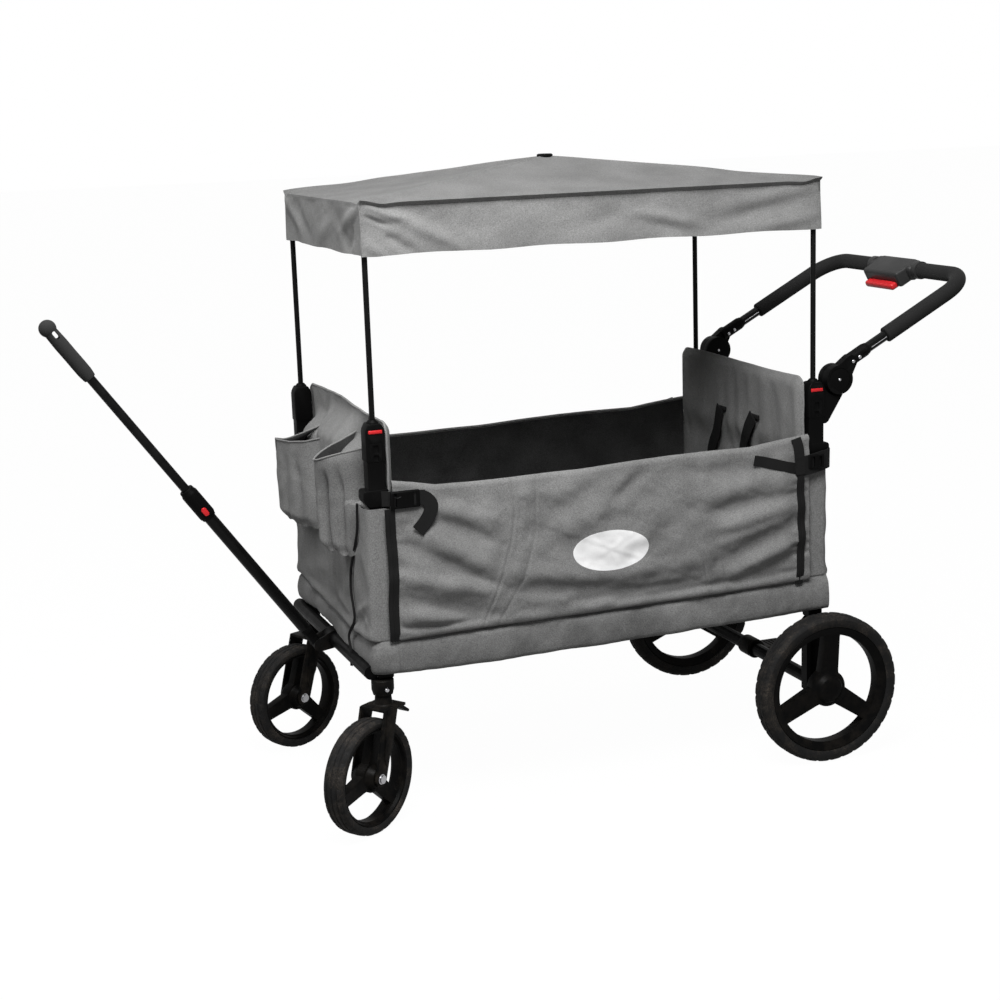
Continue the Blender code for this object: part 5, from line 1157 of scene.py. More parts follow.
def skirt_sheet(points, outs, seams, bottoms, seed):
    """A loose roll of cloth along the basket's foot, from points with outward directions and two heights."""
    grid = []
    run = np.concatenate([[0], np.cumsum(np.linalg.norm(np.diff(points, axis=0), axis=1))])
    section = np.array(SKIRT_SECTION)
    fine = np.linspace(0, len(section) - 1, 34)
    downs = np.interp(fine, range(len(section)), section[:, 0])
    stands = np.interp(fine, range(len(section)), section[:, 1])
    reach = -SKIRT_SECTION[-3][0]
    for down, stand in zip(downs, stands):
        z = seams + (down if down > 0 else down * (seams - bottoms) / reach)
        loose = smooth(-down / 0.012)
        extra = crumple(run, z, 0.10, 0.0026, seed) + crumple(run, z, 0.035, 0.0010, seed + 2)
        tucks = 0.0008 * np.sin(run * 55 + 2.3 * np.sin(run * 13)) * (1 - loose)
        out = stand + extra * loose + tucks
        out = np.where(out > 0, 0.0135 * np.tanh(out / 0.0135), np.maximum(out, -0.0055))
        grid.append(np.column_stack([points[:, 0] + outs[:, 0] * out, points[:, 1] + outs[:, 1] * out, z]))
    return grid_mesh(np.array(grid))


def corner_path(start_x, end_y, steps=26):
    """The far front corner in plan: along the side, round the corner and along the front face."""
    radius = 0.016
    side_y, front_x = SIDE_Y - 0.001, PANEL_OUT
    points, outs = [], []
    for x in np.linspace(-start_x, -front_x + radius, 8)[:-1]:
        points.append((x, side_y))
        outs.append((0, 1))
    for angle in np.radians(np.linspace(90, 180, 9)):
        points.append(
            (-front_x + radius + radius * math.cos(angle), side_y - radius + radius * math.sin(angle))
        )
        outs.append((math.cos(angle), math.sin(angle)))
    for y in np.linspace(side_y - radius, end_y, steps)[1:]:
        points.append((-front_x, y))
        outs.append((-1, 0))
    return np.array(points), np.array(outs)


def make_side_cloth():
    """Both side panels: outer cloth, lining, skirt, zip bands and straps."""
    for side, sign in SIDES:
        seed = 21 if sign < 0 else 47
        # The outer side cloth is the darkened upright copy of the cloth, painted shade
        outer = piece(
            "side_cloth_" + side, mirrored(thick_sheet(side_sheet(seed), outward=False), sign),
            "melange_upright", "rear_frame", ["side_panel_" + side], angle=75
        )
        lining = piece(
            "side_lining_" + side, mirrored(thick_sheet(lining_sheet(seed + 5), 0.0009, outward=False), sign),
            "lining", "rear_frame", angle=75
        )
        x = np.linspace(SKIRT_FRONT, SKIRT_REAR, 190)
        points = np.column_stack([x, np.full_like(x, SIDE_Y - 0.001)])
        outs = np.tile((0.0, 1.0), (len(x), 1))
        roll = skirt_sheet(points, outs, np.interp(x, *SIDE_SEAM), np.interp(x, *SIDE_FOOT), seed + 8)
        roll = mirrored(thick_sheet(roll, outward=False), sign)
        # The skirt is the darkest copy of the cloth, painted shade
        skirt = piece("skirt_" + side, roll, "melange_shaded", "rear_frame", angle=75)
        skirt_length = SKIRT_REAR - SKIRT_FRONT
        for obj, end, length in (
            (outer, SIDE_END, 2 * SIDE_END), (lining, SIDE_END, 2 * SIDE_END),
            (skirt, SKIRT_REAR, skirt_length)
        ):
            crumple_with_fold(obj)
        make_side_trims(side, sign, seed)


def make_side_trims(side, sign, seed):
    """The zip bands and straps on one side."""
    for end, at, width in zip(("front", "rear"), BANDS, BAND_WIDTHS):
        body = end + "_frame"
        top, foot = (BAND_TOP, SEAM_Z - 0.004) if end == "front" else (BAND_TOP - 0.006, SEAM_Z + 0.001)
        z = np.linspace(top, foot, 60)
        lean = 0.0012 * np.sin(z * 31 + at)
        stands = [side_stand(np.full_like(z, at + shift), z, seed) for shift in (-width / 2, 0, width / 2)]
        y = SIDE_Y + CLOTH + 0.0016 + np.maximum(eased(np.max(stands, axis=0), 12), 0.0015)
        line = np.column_stack([at + lean, y, z])
        tape = sweep(line, tape_profile(width, 0.0016), up=(0, 1, 0))
        teeth = sweep(line + np.array((0, 0.0008, 0)), circle((0, 0), 0.0014, 8), up=(0, 1, 0))
        band = piece(f"{end}_band_{side}", mirrored(together(tape, teeth), sign), "webbing", body)
        if end == "rear":
            crumple_with_fold(band)
    make_front_strap(side, sign)
    make_rear_strap(side, sign, seed)


STRAP_THICK = 0.0018


def on_side(points, seed, over=0.0016):
    """A line of (x, z) points laid on the far side's cloth. A third number lifts a point off it."""
    x, z = np.array([p[0] for p in points]), np.array([p[1] for p in points])
    spread = [side_stand(x, z + shift, seed) for shift in (-0.008, 0, 0.008)]
    lift = [p[2] if len(p) > 2 else 0.0 for p in points]
    y = SIDE_Y + CLOTH + over + np.max(spread, axis=0) + np.array(lift)
    return [tuple(p) for p in np.column_stack([x, y, z])]


def make_front_strap(side, sign):
    """Webbing from the front socket to the panel, with a slide buckle and a loose end."""
    z = 0.5770
    width = 0.026
    out = SIDE_Y + (0.0075 if sign < 0 else 0.0115)
    line = curve_through(
        [
            (-0.412, 0.2545, z), (-0.402, 0.2600, z), (-0.390, out - 0.0005, z),
            (-0.370, out + 0.0010, z - 0.001), (-0.352, out + 0.0008, z - 0.001),
            (-0.340, out - 0.0012, z - 0.002)
        ],
        6
    )
    band = sweep(line, tape_profile(width, STRAP_THICK), up=(0, 1, 0))
    over = curve_through(
        [
            (-0.378, out + 0.0040, z), (-0.356, out + 0.0050, z), (-0.345, out + 0.0052, z - 0.001),
            (-0.3370, out + 0.0056, z - 0.006), (-0.3315, out + 0.0062, z - 0.016),
            (-0.3350, out + 0.0070, z - 0.030), (-0.3450, out + 0.0080, z - 0.044),
            (-0.3575, out + 0.0090, z - 0.057)
        ],
        7
    )
    tail = sweep(over, tape_profile(width * 0.94, STRAP_THICK), up=(0, 1, 0))
    webbing = piece(f"front_strap_{side}", mirrored(together(band, tail), sign), "webbing", "front_frame")
    x0, x1 = -0.4020, -0.3500
    body = box((x0, out + 0.0002, z - 0.016), (x1, out + 0.0078, z + 0.014), 0.003, 3)
    slots = [
        box((x, out - 0.01, z - 0.0125), (x + 0.0045, out + 0.02, z + 0.0105), 0.0006)
        for x in (x0 + 0.006, x1 - 0.0115)
    ]
    buckle = moulded(body, cuts=slots, edge=0.0006)
    piece(f"front_buckle_{side}", mirrored(buckle, sign), "plastic", "front_frame")
    ring = curve_through(
        [
            (x0 + 0.006, out + 0.0080, z + 0.005), (x0 + 0.012, out + 0.0084, z + 0.003),
            (x0 + 0.018, out + 0.0080, z + 0.005)
        ],
        6
    )
    piece(
        f"front_buckle_wire_{side}", mirrored(cord_mesh(ring, 0.0005, 8), sign), "housing", "front_frame",
    )


def make_rear_strap(side, sign, seed):
    """Webbing from the panel to the rear post, with a slide buckle at the corner."""
    z = 0.562
    width = 0.019
    out = SIDE_Y + 0.0055
    places = [
        (0.281, z + 0.014), (0.300, z + 0.010), (0.325, z + 0.003), (0.350, z - 0.004), (0.372, z - 0.008)
    ]
    line = curve_through(
        [*on_side(places, seed), (0.392, out + 0.0030, z - 0.008), (0.402, out + 0.0020, z - 0.006)], 8
    )
    band = sweep(line, tape_profile(width, STRAP_THICK), up=(0, 1, 0))
    corner = curve_through(
        [
            (0.364, out + 0.0052, z - 0.006), (0.390, out + 0.0044, z - 0.004),
            (0.424, out - 0.0005, z + 0.001), (0.4375, out - 0.0060, z + 0.003),
            (0.4405, out - 0.0160, z + 0.004), (0.4405, out - 0.0330, z + 0.004)
        ],
        8
    )
    normals = np.array(
        [(0.0, 1.0, 0.0) if p.x < 0.425 else (0.6, 0.8, 0) if p.x < 0.4385 else (1, 0, 0) for p in corner]
    )
    band = together(band, sweep(corner, tape_profile(0.036, STRAP_THICK), up=normals))
    webbing = piece(f"rear_strap_{side}", mirrored(band, sign), "webbing", "rear_frame")
    body = box((0.390, out + 0.0030, z - 0.012), (0.422, out + 0.0080, z + 0.014), 0.002, 3)
    slots = [
        box((x, out - 0.01, z - 0.0085), (x + 0.006, out + 0.02, z + 0.0105), 0.0006) for x in (0.396, 0.410)
    ]
    buckle = moulded(body, cuts=slots, edge=0.0005)
    piece(f"rear_buckle_{side}", mirrored(buckle, sign), "plastic", "rear_frame")
    flap = curve_through(
        [
            *on_side([(0.3665, z + 0.046), (0.3710, z + 0.026, 0.002)], seed),
            (0.3725, out + 0.0068, z - 0.020)
        ],
        8
    )
    tab = sweep(flap, tape_profile(0.020, STRAP_THICK), up=(0, 1, 0))
    piece(f"rear_strap_tab_{side}", mirrored(tab, sign), "webbing", "rear_frame")


OVAL_CENTRE = (-0.004, 0.446)
OVAL_HALF = (0.0715, 0.0355)


def make_oval():
    """A plain white oval printed on the near side panel."""
    rings, sides = 14, 96
    angles = np.linspace(0, 2 * math.pi, sides, endpoint=False)
    grid = []
    for share in np.linspace(0.02, 1.0, rings):
        x = OVAL_CENTRE[0] + OVAL_HALF[0] * share * np.cos(angles)
        z = OVAL_CENTRE[1] + OVAL_HALF[1] * share * np.sin(angles)
        y = -(SIDE_Y + side_stand(x, z, 21) + CLOTH + 0.0004)
        grid.append(np.column_stack([x, y, z]))
    mesh = grid_mesh(np.array(grid), closed=True)
    bm = bmesh.new()
    bm.from_mesh(mesh)
    bm.verts.ensure_lookup_table()
    bm.faces.new([bm.verts[i] for i in range(sides)])
    patch = piece("white_oval", thick_sheet(from_bm(bm), 0.0003), "print", "rear_frame", angle=80)
    crumple_with_fold(patch)


# End panels

PIPING_RADIUS = 0.0021
CORNER_RADIUS = 0.020
PANEL_EDGE_X = 0.3950
PANEL_FREE_HALF = 0.2165
PINCH_REACH = 0.014
ZIP_POINTS = (
    (-0.2130, 0.5640), (-0.2115, 0.5560), (-0.2050, 0.5173), (-0.1805, 0.4785), (-0.1520, 0.4360),
    (-0.1458, 0.3955), (-0.1600, 0.3507), (-0.1360, 0.3154), (-0.1440, 0.2887), (-0.1414, 0.2603)
)
FRONT_SEAM = (
    (-0.2585, -0.2000, -0.1103, -0.0565, 0.0430, 0.1646, 0.2585),
    (0.3295, 0.3250, 0.3195, 0.3245, 0.3284, 0.3330, 0.3400),
)
FRONT_FOOT = (
    (-0.2585, -0.1700, -0.1000, -0.0603, -0.0206, 0.0348, 0.1104, 0.1730, 0.2585),
    (0.2740, 0.2680, 0.2660, 0.2720, 0.2850, 0.2950, 0.2940, 0.2910, 0.2890),
)
REAR_SEAM = 0.3415
WRAP_FOLDS = (
    ((-0.165, 0.360), (-0.240, 0.395), 0.006, 0.0030), ((-0.185, 0.376), (-0.245, 0.350), 0.006, 0.0026),
    ((-0.160, 0.345), (-0.230, 0.372), 0.007, -0.0022), ((-0.120, 0.350), (-0.020, 0.375), 0.009, 0.0028),
    ((-0.110, 0.340), (0.000, 0.352), 0.008, -0.0026), ((0.060, 0.350), (0.230, 0.345), 0.009, -0.0026),
    ((-0.195, 0.520), (-0.250, 0.430), 0.010, 0.0018), ((-0.150, 0.430), (-0.070, 0.360), 0.016, 0.0028),
    ((-0.050, 0.440), (0.100, 0.400), 0.020, -0.0025), ((0.030, 0.400), (0.210, 0.360), 0.016, 0.0028),
    ((0.150, 0.450), (0.235, 0.420), 0.012, -0.0025)
)


def panel_face(y, z):
    """An end panel's outer face, from the wagon's middle: behind the sockets above, round the posts below."""
    low_swell = smooth((0.672 - z) / 0.045) * smooth((PANEL_FREE_HALF - np.abs(y)) / 0.06)
    high_swell = smooth((0.700 - z) / 0.060) * smooth((0.13 - np.abs(y)) / 0.08)
    swell = np.maximum(low_swell, high_swell)
    under_foot = 1 - smooth((z - SHOULDER_Z) / 0.0016)
    return PAD_X + (PANEL_OUT - PAD_X) * np.maximum(swell, under_foot)


def panel_lining(z):
    """How far from the wagon's middle an end panel's inner face is."""
    return PANEL_IN - (PANEL_IN - PAD_IN) * smooth((z - SHOULDER_Z + 0.02) / 0.06)


def panel_top(y, top):
    """Height of an end panel's upper edge, with its round corners and the slack between them."""
    inner = NARROW_HALF - CORNER_RADIUS
    over = np.clip((np.abs(y) - inner) / CORNER_RADIUS, 0, 1)
    return np.interp(y, *top) - CORNER_RADIUS * (1 - np.sqrt(1 - over**2))


def panel_puff(y, z, top, seed):
    """How much an end panel's cloth swells and wrinkles."""
    edge = np.minimum(panel_top(y, top) - z, np.where(z > SHOULDER_Z, NARROW_HALF - np.abs(y), 1.0))
    upright = np.sin(y * 2 * np.pi / 0.052 + 1.9 * np.sin(y * 23) + seed) * smooth((z - 0.33) / 0.15)
    wave = 0.0011 * upright + crumple(y, z, 0.09, 0.0013, seed) + crumple(y, z, 0.03, 0.0004, seed + 1)
    return wave * smooth(edge / 0.03), edge


ZIP_ZS, ZIP_YS = [z for y, z in reversed(ZIP_POINTS)], [y for y, z in reversed(ZIP_POINTS)]


def outer_panel_mesh(end, top, seed):
    """An end panel's outer cloth, made for the front: round both posts below, between the sockets above."""
    radius = 0.009
    plan = []
    for x in np.linspace(SIDE_END - 0.0035, PANEL_OUT - radius, 7)[:-1]:
        plan.append((-x, PANEL_HALF, 0.0, 1.0))
    for angle in np.radians(np.linspace(90, 180, 8)):
        plan.append(
            (
                -PANEL_OUT + radius + radius * math.cos(angle),
                PANEL_HALF - radius + radius * math.sin(angle), math.cos(angle), math.sin(angle)
            )
        )
    half = [(-PANEL_OUT, y, -1.0, 0.0) for y in np.linspace(PANEL_HALF - radius, NARROW_HALF, 4)[1:-1]]
    plan += half
    left = len(plan)
    for y in np.linspace(NARROW_HALF, -NARROW_HALF, 110):
        plan.append((-PANEL_OUT, y, -1.0, 0.0))
    right = len(plan)
    plan += [(x, -y, ox, -oy) for x, y, ox, oy in reversed(plan[:left])]
    plan = np.array(plan)
    bm = bmesh.new()

    def add_rows(columns, heights, upper):
        made = []
        for t in heights:
            row = []
            for x, y, ox, oy in plan[columns]:
                limit = float(panel_top(np.array(y), top)) if upper else SHOULDER_Z
                seam = float(np.interp(y, *FRONT_SEAM)) if end == "front" else REAR_SEAM
                start = SHOULDER_Z if upper else seam - 0.002
                z = start + (limit - start) * t
                puff, edge = panel_puff(np.array(y), np.array(z), top, seed)
                swell = float(puff)
                face, offset = x, 0.0
                if upper:
                    offset = PANEL_OFFSET * float(smooth((z - SHOULDER_Z) / 0.004))
                    face = -float(panel_face(np.array(y), np.array(z)))
                    free = float(smooth((PANEL_FREE_HALF - abs(y)) / 0.03))
                    swell = swell * free if swell > 0 else swell
                    near_edge = 1 - float(smooth(float(edge) / PINCH_REACH)) ** 0.6
                    risen = float(smooth((z - SHOULDER_Z) / 0.004))
                    swell += (face + PANEL_EDGE_X + 0.0014) * near_edge * risen
                else:
                    run = y if ox < -0.9 else math.copysign(PANEL_HALF + PANEL_OUT + x, y)
                    swell += sum(float(fold(np.array(run), np.array(z), *one)) for one in WRAP_FOLDS)
                    if ox > -0.5:
                        ripple = math.sin(z * 2 * math.pi / 0.031 + 2 * math.sin(z * 40) + seed)
                        swell = 0.35 * swell + 0.0004 * ripple
                    if end == "front":
                        zip_y = float(np.interp(z, ZIP_ZS, ZIP_YS))
                        beside = 0.0016 * float(smooth((zip_y - y) / 0.006))
                        swell += beside - 0.0014 * float(bump(y - zip_y, 0.004))
                    lip = 0.0035 * float(bump(z - seam - 0.010, 0.010)) + 0.0020
                    swell = min(swell, 0.0100) + lip - 0.0100 * float(smooth((seam + 0.0035 - z) / 0.0045))
                row.append(bm.verts.new((face + ox * swell, y + offset + oy * min(swell, 0.0012), z)))
            made.append(row)
        for lower, higher in zip(made, made[1:]):
            for i in range(len(lower) - 1):
                bm.faces.new((lower[i], lower[i + 1], higher[i + 1], higher[i]))

    add_rows(slice(0, len(plan)), np.linspace(0, 1, 54) ** 1.3, False)
    add_rows(slice(left, right), np.linspace(0, 1, 34), True)
    bmesh.ops.remove_doubles(bm, verts=bm.verts, dist=0.00002)
    return from_bm(bm)


def inner_panel_mesh(top, seed):
    """An end panel's inner face, made for the front."""
    grid = []
    base = np.linspace(-1, 1, 100)
    for t in np.linspace(0, 1, 60):
        shoulder = (SHOULDER_Z - LINING_FOOT_Z) / (PANEL_TOP - LINING_FOOT_Z)
        half = NARROW_HALF if t > shoulder else PANEL_HALF - 0.0022
        y = base * half
        limit = panel_top(y, top) if t > shoulder else np.full_like(y, PANEL_TOP)
        z = LINING_FOOT_Z + (limit - LINING_FOOT_Z) * t
        puff, edge = panel_puff(y, z, top, seed)
        inner = panel_lining(z)
        pinch = (PANEL_EDGE_X - 0.0014 - inner) * (
            1 - smooth(edge / PINCH_REACH) ** 0.6
        ) if t > shoulder else 0 * y
        shift = PANEL_OFFSET if t > shoulder else 0.0
        grid.append(np.column_stack([-inner - pinch + np.clip(puff, -0.0012, 0.004), y + shift, z]))
    return grid_mesh(np.array(grid))


def piping_line(top):
    """The line of the piping, up one side of an end panel, over the top and down the other side."""
    inner = NARROW_HALF - CORNER_RADIUS
    corner = [NARROW_HALF - CORNER_RADIUS * (1 - math.cos(t)) for t in np.linspace(0.05, math.pi / 2, 10)]
    line = []
    for sign in (1, -1):
        shoulder = float(np.interp(sign * NARROW_HALF, *top)) - CORNER_RADIUS
        up = [(sign * NARROW_HALF, z) for z in np.linspace(SHOULDER_Z + 0.004, shoulder, 16)]
        over = [(sign * y, float(panel_top(np.array(sign * y), top))) for y in corner]
        line.append(up + over)
    across = [(y, float(panel_top(np.array(y), top))) for y in np.linspace(inner, -inner, 38)[1:-1]]
    whole = line[0] + across + line[1][::-1]
    return np.array(
        [(-PANEL_EDGE_X + 0.0004 * math.sin(i * 0.9), y + PANEL_OFFSET, z) for i, (y, z) in enumerate(whole)]
    )


def turned_round(mesh, sx):
    """A mesh made for the front end, mirrored for the rear end."""
    if sx > 0:
        mesh.transform(Matrix.Scale(-1, 4, (1, 0, 0)))
        mesh.flip_normals()
    return mesh


def make_end_panels():
    """The front and rear panels with piping, the corner skirts, the front's zip and the harness straps."""
    for end, sx, top, seed in (("front", -1, FRONT_TOP, 3), ("rear", 1, REAR_TOP, 8)):
        body = end + "_frame"
        outer_mesh = thick_sheet(outer_panel_mesh(end, top, seed), outward=True)
        # Both faces of the end panel are the darkened upright copy of the cloth, painted shade
        outer = piece(
            f"{end}_panel_outer", turned_round(outer_mesh, sx), "melange_upright", body, [f"{end}_panel"], 75
        )
        inner_mesh = thick_sheet(inner_panel_mesh(top, seed + 2), outward=False)
        inner = piece(f"{end}_panel_inner", turned_round(inner_mesh, sx), "melange_upright", body, (), 75)
        bead = cord_mesh(piping_line(top), PIPING_RADIUS, 10, up=(1, 0, 0))
        piece(f"{end}_piping", turned_round(bead, sx), "hem", body)
        points, outs = corner_path(0.398, 0.0)
        points = np.concatenate([points, points[-2::-1] * (1, -1)])
        outs = np.concatenate([outs, outs[-2::-1] * (1, -1)])
        seams, bottoms = np.interp(points[:, 1], *FRONT_SEAM), np.interp(points[:, 1], *FRONT_FOOT)
        if sx > 0:
            seams, bottoms = np.full_like(seams, REAR_SEAM), np.full_like(bottoms, 0.2840)
        skirt = thick_sheet(skirt_sheet(points, outs, seams, bottoms, seed + 30), outward=False)
        # The corner skirt is the darkest copy of the cloth, painted shade
        made = piece(f"{end}_skirt", turned_round(skirt, sx), "melange_shaded", body, (), 75)
    make_front_zip()
    make_harness()


def make_front_zip():
    """The thin black zip down the front panel, with its puller, and the small snap at its top corner."""
    line = curve_through(
        [(-PANEL_OUT - 0.0062 - 0.0050 * float(smooth((0.335 - z) / 0.02)), y, z) for y, z in ZIP_POINTS], 8
    )
    tape = sweep(line, tape_profile(0.0080, 0.0014), up=(-1, 0, 0))
    cord = cord_mesh([Vector(p) + Vector((-0.0010, 0, 0)) for p in line], 0.0019, 8, up=(-1, 0, 0))
    piece("front_zip", together(tape, cord), "webbing", "front_frame")
    at = Vector((-PANEL_OUT - 0.0066, -0.1530, 0.4330))
    puller = moulded(
        box(at - Vector((0.0012, 0.0030, 0.006)), at + Vector((0.0012, 0.0050, 0.006)), 0.001), edge=0.0005
    )
    piece("front_zip_puller", puller, "plastic", "front_frame")
    snap_at = (-PAD_X - 0.0012, -0.1560, 0.6965)
    snap = lathe([(0, 0.0022), (0.0042, 0.0016), (0.0052, 0.0), (0.0052, -0.002), (0, -0.002)], 28)
    snap.transform(Matrix.Translation(snap_at) @ Matrix.Rotation(math.radians(-90), 4, "Y"))
    piece("front_snap", snap, "plastic", "front_frame")


HARNESS_FLAT = (0.030, 0.30)
HARNESS_LINES = (
    ((0.0580, 0.617), (0.0890, 0.564), (0.1210, 0.517), (0.128, 0.430), (0.130, 0.330)),
    ((-0.0770, 0.620), (-0.0480, 0.585), (-0.0190, 0.548), (0.002, 0.450), (0.004, 0.330)),
)


def make_harness():
    """Two black harness straps down the backrest."""
    for number, points in enumerate(HARNESS_LINES, 1):
        line = curve_through([(float(panel_lining(z)) - 0.0068, y, z) for y, z in points], 12)
        band = sweep(line, tape_profile(HARNESS_FLAT[0], STRAP_THICK), up=(-1, 0, 0))
        low, high = Vector((PAD_IN - 0.006, -0.018, -0.004)), Vector((PAD_IN - 0.002, 0.018, 0.004))
        at = Vector((0, *points[0]))
        slot = box(low + at, high + at, 0.001)
        strap = piece(f"harness_strap_{number}", together(band, slot), "webbing", "rear_frame")


# Bottle pockets

# Each pocket has its side, middle, half width, depth, base, rim, the fold at its back and its valleys
POCKETS = (
    ("near", -0.1435, 0.0475, 0.0510, 0.467, 0.6270, 0.000, ((0.34, 0.085, 0.0230), (0.66, 0.080, 0.0190))),
    ("far", 0.1240, 0.0950, 0.0510, 0.470, 0.6200, 0.115, ((0.46, 0.06, 0.0040), (0.70, 0.06, 0.0055))),
)
POCKET_SEEDS = {"near": 61, "far": 71}
POCKET_RISES = {"near": 0.030, "far": 0.018}
POCKET_CLOTH = 0.0015
BINDING_RADIUS = 0.0017
POCKET_PLANS = {
    "near": ((0, 0.04, 0.08, 0.14, 0.28, 0.62, 0.86, 1), (0, 0.70, 0.97, 1.0, 0.95, 0.54, 0.24, 0)),
    "far": ((0, 0.05, 0.12, 0.22, 0.34, 0.62, 0.86, 1), (0, 0.40, 0.84, 1.0, 0.99, 0.80, 0.45, 0)),
}


def eased(values, rounds):
    """Soften the corners in a row of values, and keep both ends."""
    for _ in range(rounds):
        values = np.concatenate([values[:1], (values[:-2] + 2 * values[1:-1] + values[2:]) / 4, values[-1:]])
    return values


def pocket_mesh(side, middle_y, half, depth, bottom, rim, fold_in, valleys):
    """A pocket's cloth from the middle of its base to its rim. Gives the mesh and its rim line."""
    seed, rise = POCKET_SEEDS[side], POCKET_RISES[side]
    along = np.linspace(0, 1, 110)
    out_share = eased(np.interp(along, *POCKET_PLANS[side]), 6)
    back = smooth(1 - along / 0.26)
    rows = []
    for t in np.concatenate([np.linspace(0.04, 1, 8)[:-1] - 1, np.linspace(0, 1, 50)]):
        base, share = 1 + min(t, 0.0), max(t, 0.0)
        spread = 0.96 + 0.04 * min(1.0, share * 1.8)
        y = middle_y + half * (1 - 2 * along) * spread * (0.35 + 0.65 * base)
        y = y - fold_in * back * float(smooth((share - 0.60) / 0.40)) * base
        low = bottom - 0.004 * bump(along - 0.55, 0.30) + 0.0016 * np.sin(along * 31 + seed)
        top = rim + (rise + 0.010 * back) * (1 - out_share)
        z = low + (top - low) * share + 0.005 * (1 - base)
        face = panel_face(y, z) + 0.0008
        foot = 0.72 + 0.28 * float(smooth(share / 0.12)) ** 0.7
        out = (PANEL_OUT + depth * spread - face) * out_share * foot * base
        loose = smooth(share / 0.05) * (1 - smooth((share - 0.62) / 0.30))
        for at, width, height in valleys:
            sway = 0.02 * math.sin(share * 5 + at * 9)
            out = out - height * bump(along - at - sway, width) * (0.35 * (1 - share) + loose) * out_share
        out = out + crumple(y, z, 0.055, 0.0014, seed) * out_share * loose
        out = out + 0.0022 * np.sin(along * 44 + seed) * smooth(0.14 - share) * out_share
        rows.append(np.column_stack([-face - np.maximum(out, 0.0004), y, z]))
    return grid_mesh(np.array(rows)), rows[-1]


def make_pockets():
    """Two bottle pockets with bound rims."""
    for side, middle_y, half, depth, bottom, rim, fold_in, valleys in POCKETS:
        mesh, line = pocket_mesh(side, middle_y, half, depth, bottom, rim, fold_in, valleys)
        # The near pocket is the darkest copy of the cloth, painted shade; the far pocket and the bindings are
        # the darkened upright copy, painted shade
        bag = piece(
            f"bottle_bag_{side}", thick_sheet(mesh, POCKET_CLOTH, lined=True),
            ["melange_shaded" if side == "near" else "melange_upright", "lining"], "front_frame",
            [f"bottle_pocket_{side}"], 75
        )
        bound = piece(
            f"bottle_bag_binding_{side}", cord_mesh(line, BINDING_RADIUS, 10), "melange_upright",
            "front_frame"
        )


# Floor

MAT_PLAY = 0.0070
MAT_THICK = 0.0118


def make_floor():
    """The two halves of the padded mat on the folding floor."""
    for end in ("rear", "front"):
        low, high = local(end + "_floor_mat")
        thick = MAT_THICK
        length = high.x - low.x
        columns, rows = 90, 60
        x = np.linspace(low.x + 0.0005, high.x - 0.0005, columns)
        y = np.linspace(low.y + MAT_PLAY, high.y - MAT_PLAY, rows)
        grid_x, grid_y = np.meshgrid(x, y)
        edge = np.minimum(
            np.minimum(grid_x - low.x, high.x - grid_x), np.minimum(grid_y - y[0], y[-1] - grid_y)
        )
        crown = thick * (0.45 + 0.55 * smooth(edge / 0.016) ** 0.7)
        channel = length / 4
        lines = np.abs((grid_x - low.x + channel / 2) % channel - channel / 2)
        crown = crown - 0.0022 * bump(lines, 0.0035) + crumple(grid_x, grid_y, 0.09, 0.0004, 15)
        upper = np.stack([grid_x, grid_y, low.z + np.minimum(crown, thick)], axis=-1)
        mat = modified(grid_mesh(upper), ("SOLIDIFY", {"thickness": 0.004, "offset": -1}))
        obj = piece(end + "_mat_pad", mat, "mat", end + "_floor", [end + "_floor_mat"], 60)
        refinish(end + "_floor_board", "plastic")
    high = local("rear_floor_mat")[1]
    foot, crest = high.z - 0.0010, high.z + 0.0030
    line = curve_through([(0.005, 0, foot), (0.025, 0, crest), (0.065, 0, crest), (0.085, 0, foot)], 10)
    loop = sweep(line, tape_profile(0.025, STRAP_THICK))
    piece("floor_pull_loop", loop, "webbing", "rear_floor")


# Wheels

REAR_TYRE_LOW, REAR_TYRE_HIGH = local("rear_wheel_far_tyre")
REAR_RADIUS = (REAR_TYRE_HIGH.z - REAR_TYRE_LOW.z) / 2
REAR_HALF = (REAR_TYRE_HIGH.y - REAR_TYRE_LOW.y) / 2
FRONT_RADIUS = (local("front_wheel_far_tyre")[1].z - local("front_wheel_far_tyre")[0].z) / 2
FRONT_HALF = 0.0205
REAR_TYRE_DEPTH, FRONT_TYRE_DEPTH = 0.022, 0.0165


def tyre_mesh(radius, half, depth, blocks):
    """A tyre about Y: a tread of blocks between grooves, soft shoulders and sidewalls."""
    sides = blocks * 6
    inner = radius - depth
    outline = [
        (inner + 0.0004, half * 0.84, 0), (inner + depth * 0.20, half * 0.95, 0),
        (inner + depth * 0.45, half * 1.00, 0), (inner + depth * 0.66, half * 0.985, 0),
        (inner + depth * 0.70, half * 0.955, 0), (radius - depth * 0.16, half * 0.87, 2),
        (radius - depth * 0.05, half * 0.70, 2), (radius - 0.0006, half * 0.60, 1),
        (radius - 0.0022, half * 0.53, 0), (radius - 0.0022, half * 0.45, 0), (radius, half * 0.38, 1),
        (radius, half * 0.10, 1), (radius - 0.0018, half * 0.05, 0)
    ]
    section = outline + [(r, -y, kind) for r, y, kind in reversed(outline)]
    rows = []
    for r, y, kind in section:
        ring = []
        for i in range(sides):
            angle = 2 * math.pi * i / sides
            offset = 3 if y < 0 else 0
            in_gap = (i + offset) % 6 == 0
            cut = 0.0017 if kind == 2 and in_gap else 0.0010 if kind == 1 and in_gap else 0.0
            rr = r - cut
            ring.append((rr * math.cos(angle), y, rr * math.sin(angle)))
        rows.append(ring)
    rows.append(rows[0])
    mesh = grid_mesh(np.array(rows), closed=True)
    bm = bmesh.new()
    bm.from_mesh(mesh)
    bmesh.ops.remove_doubles(bm, verts=bm.verts, dist=0.000001)
    return from_bm(bm)


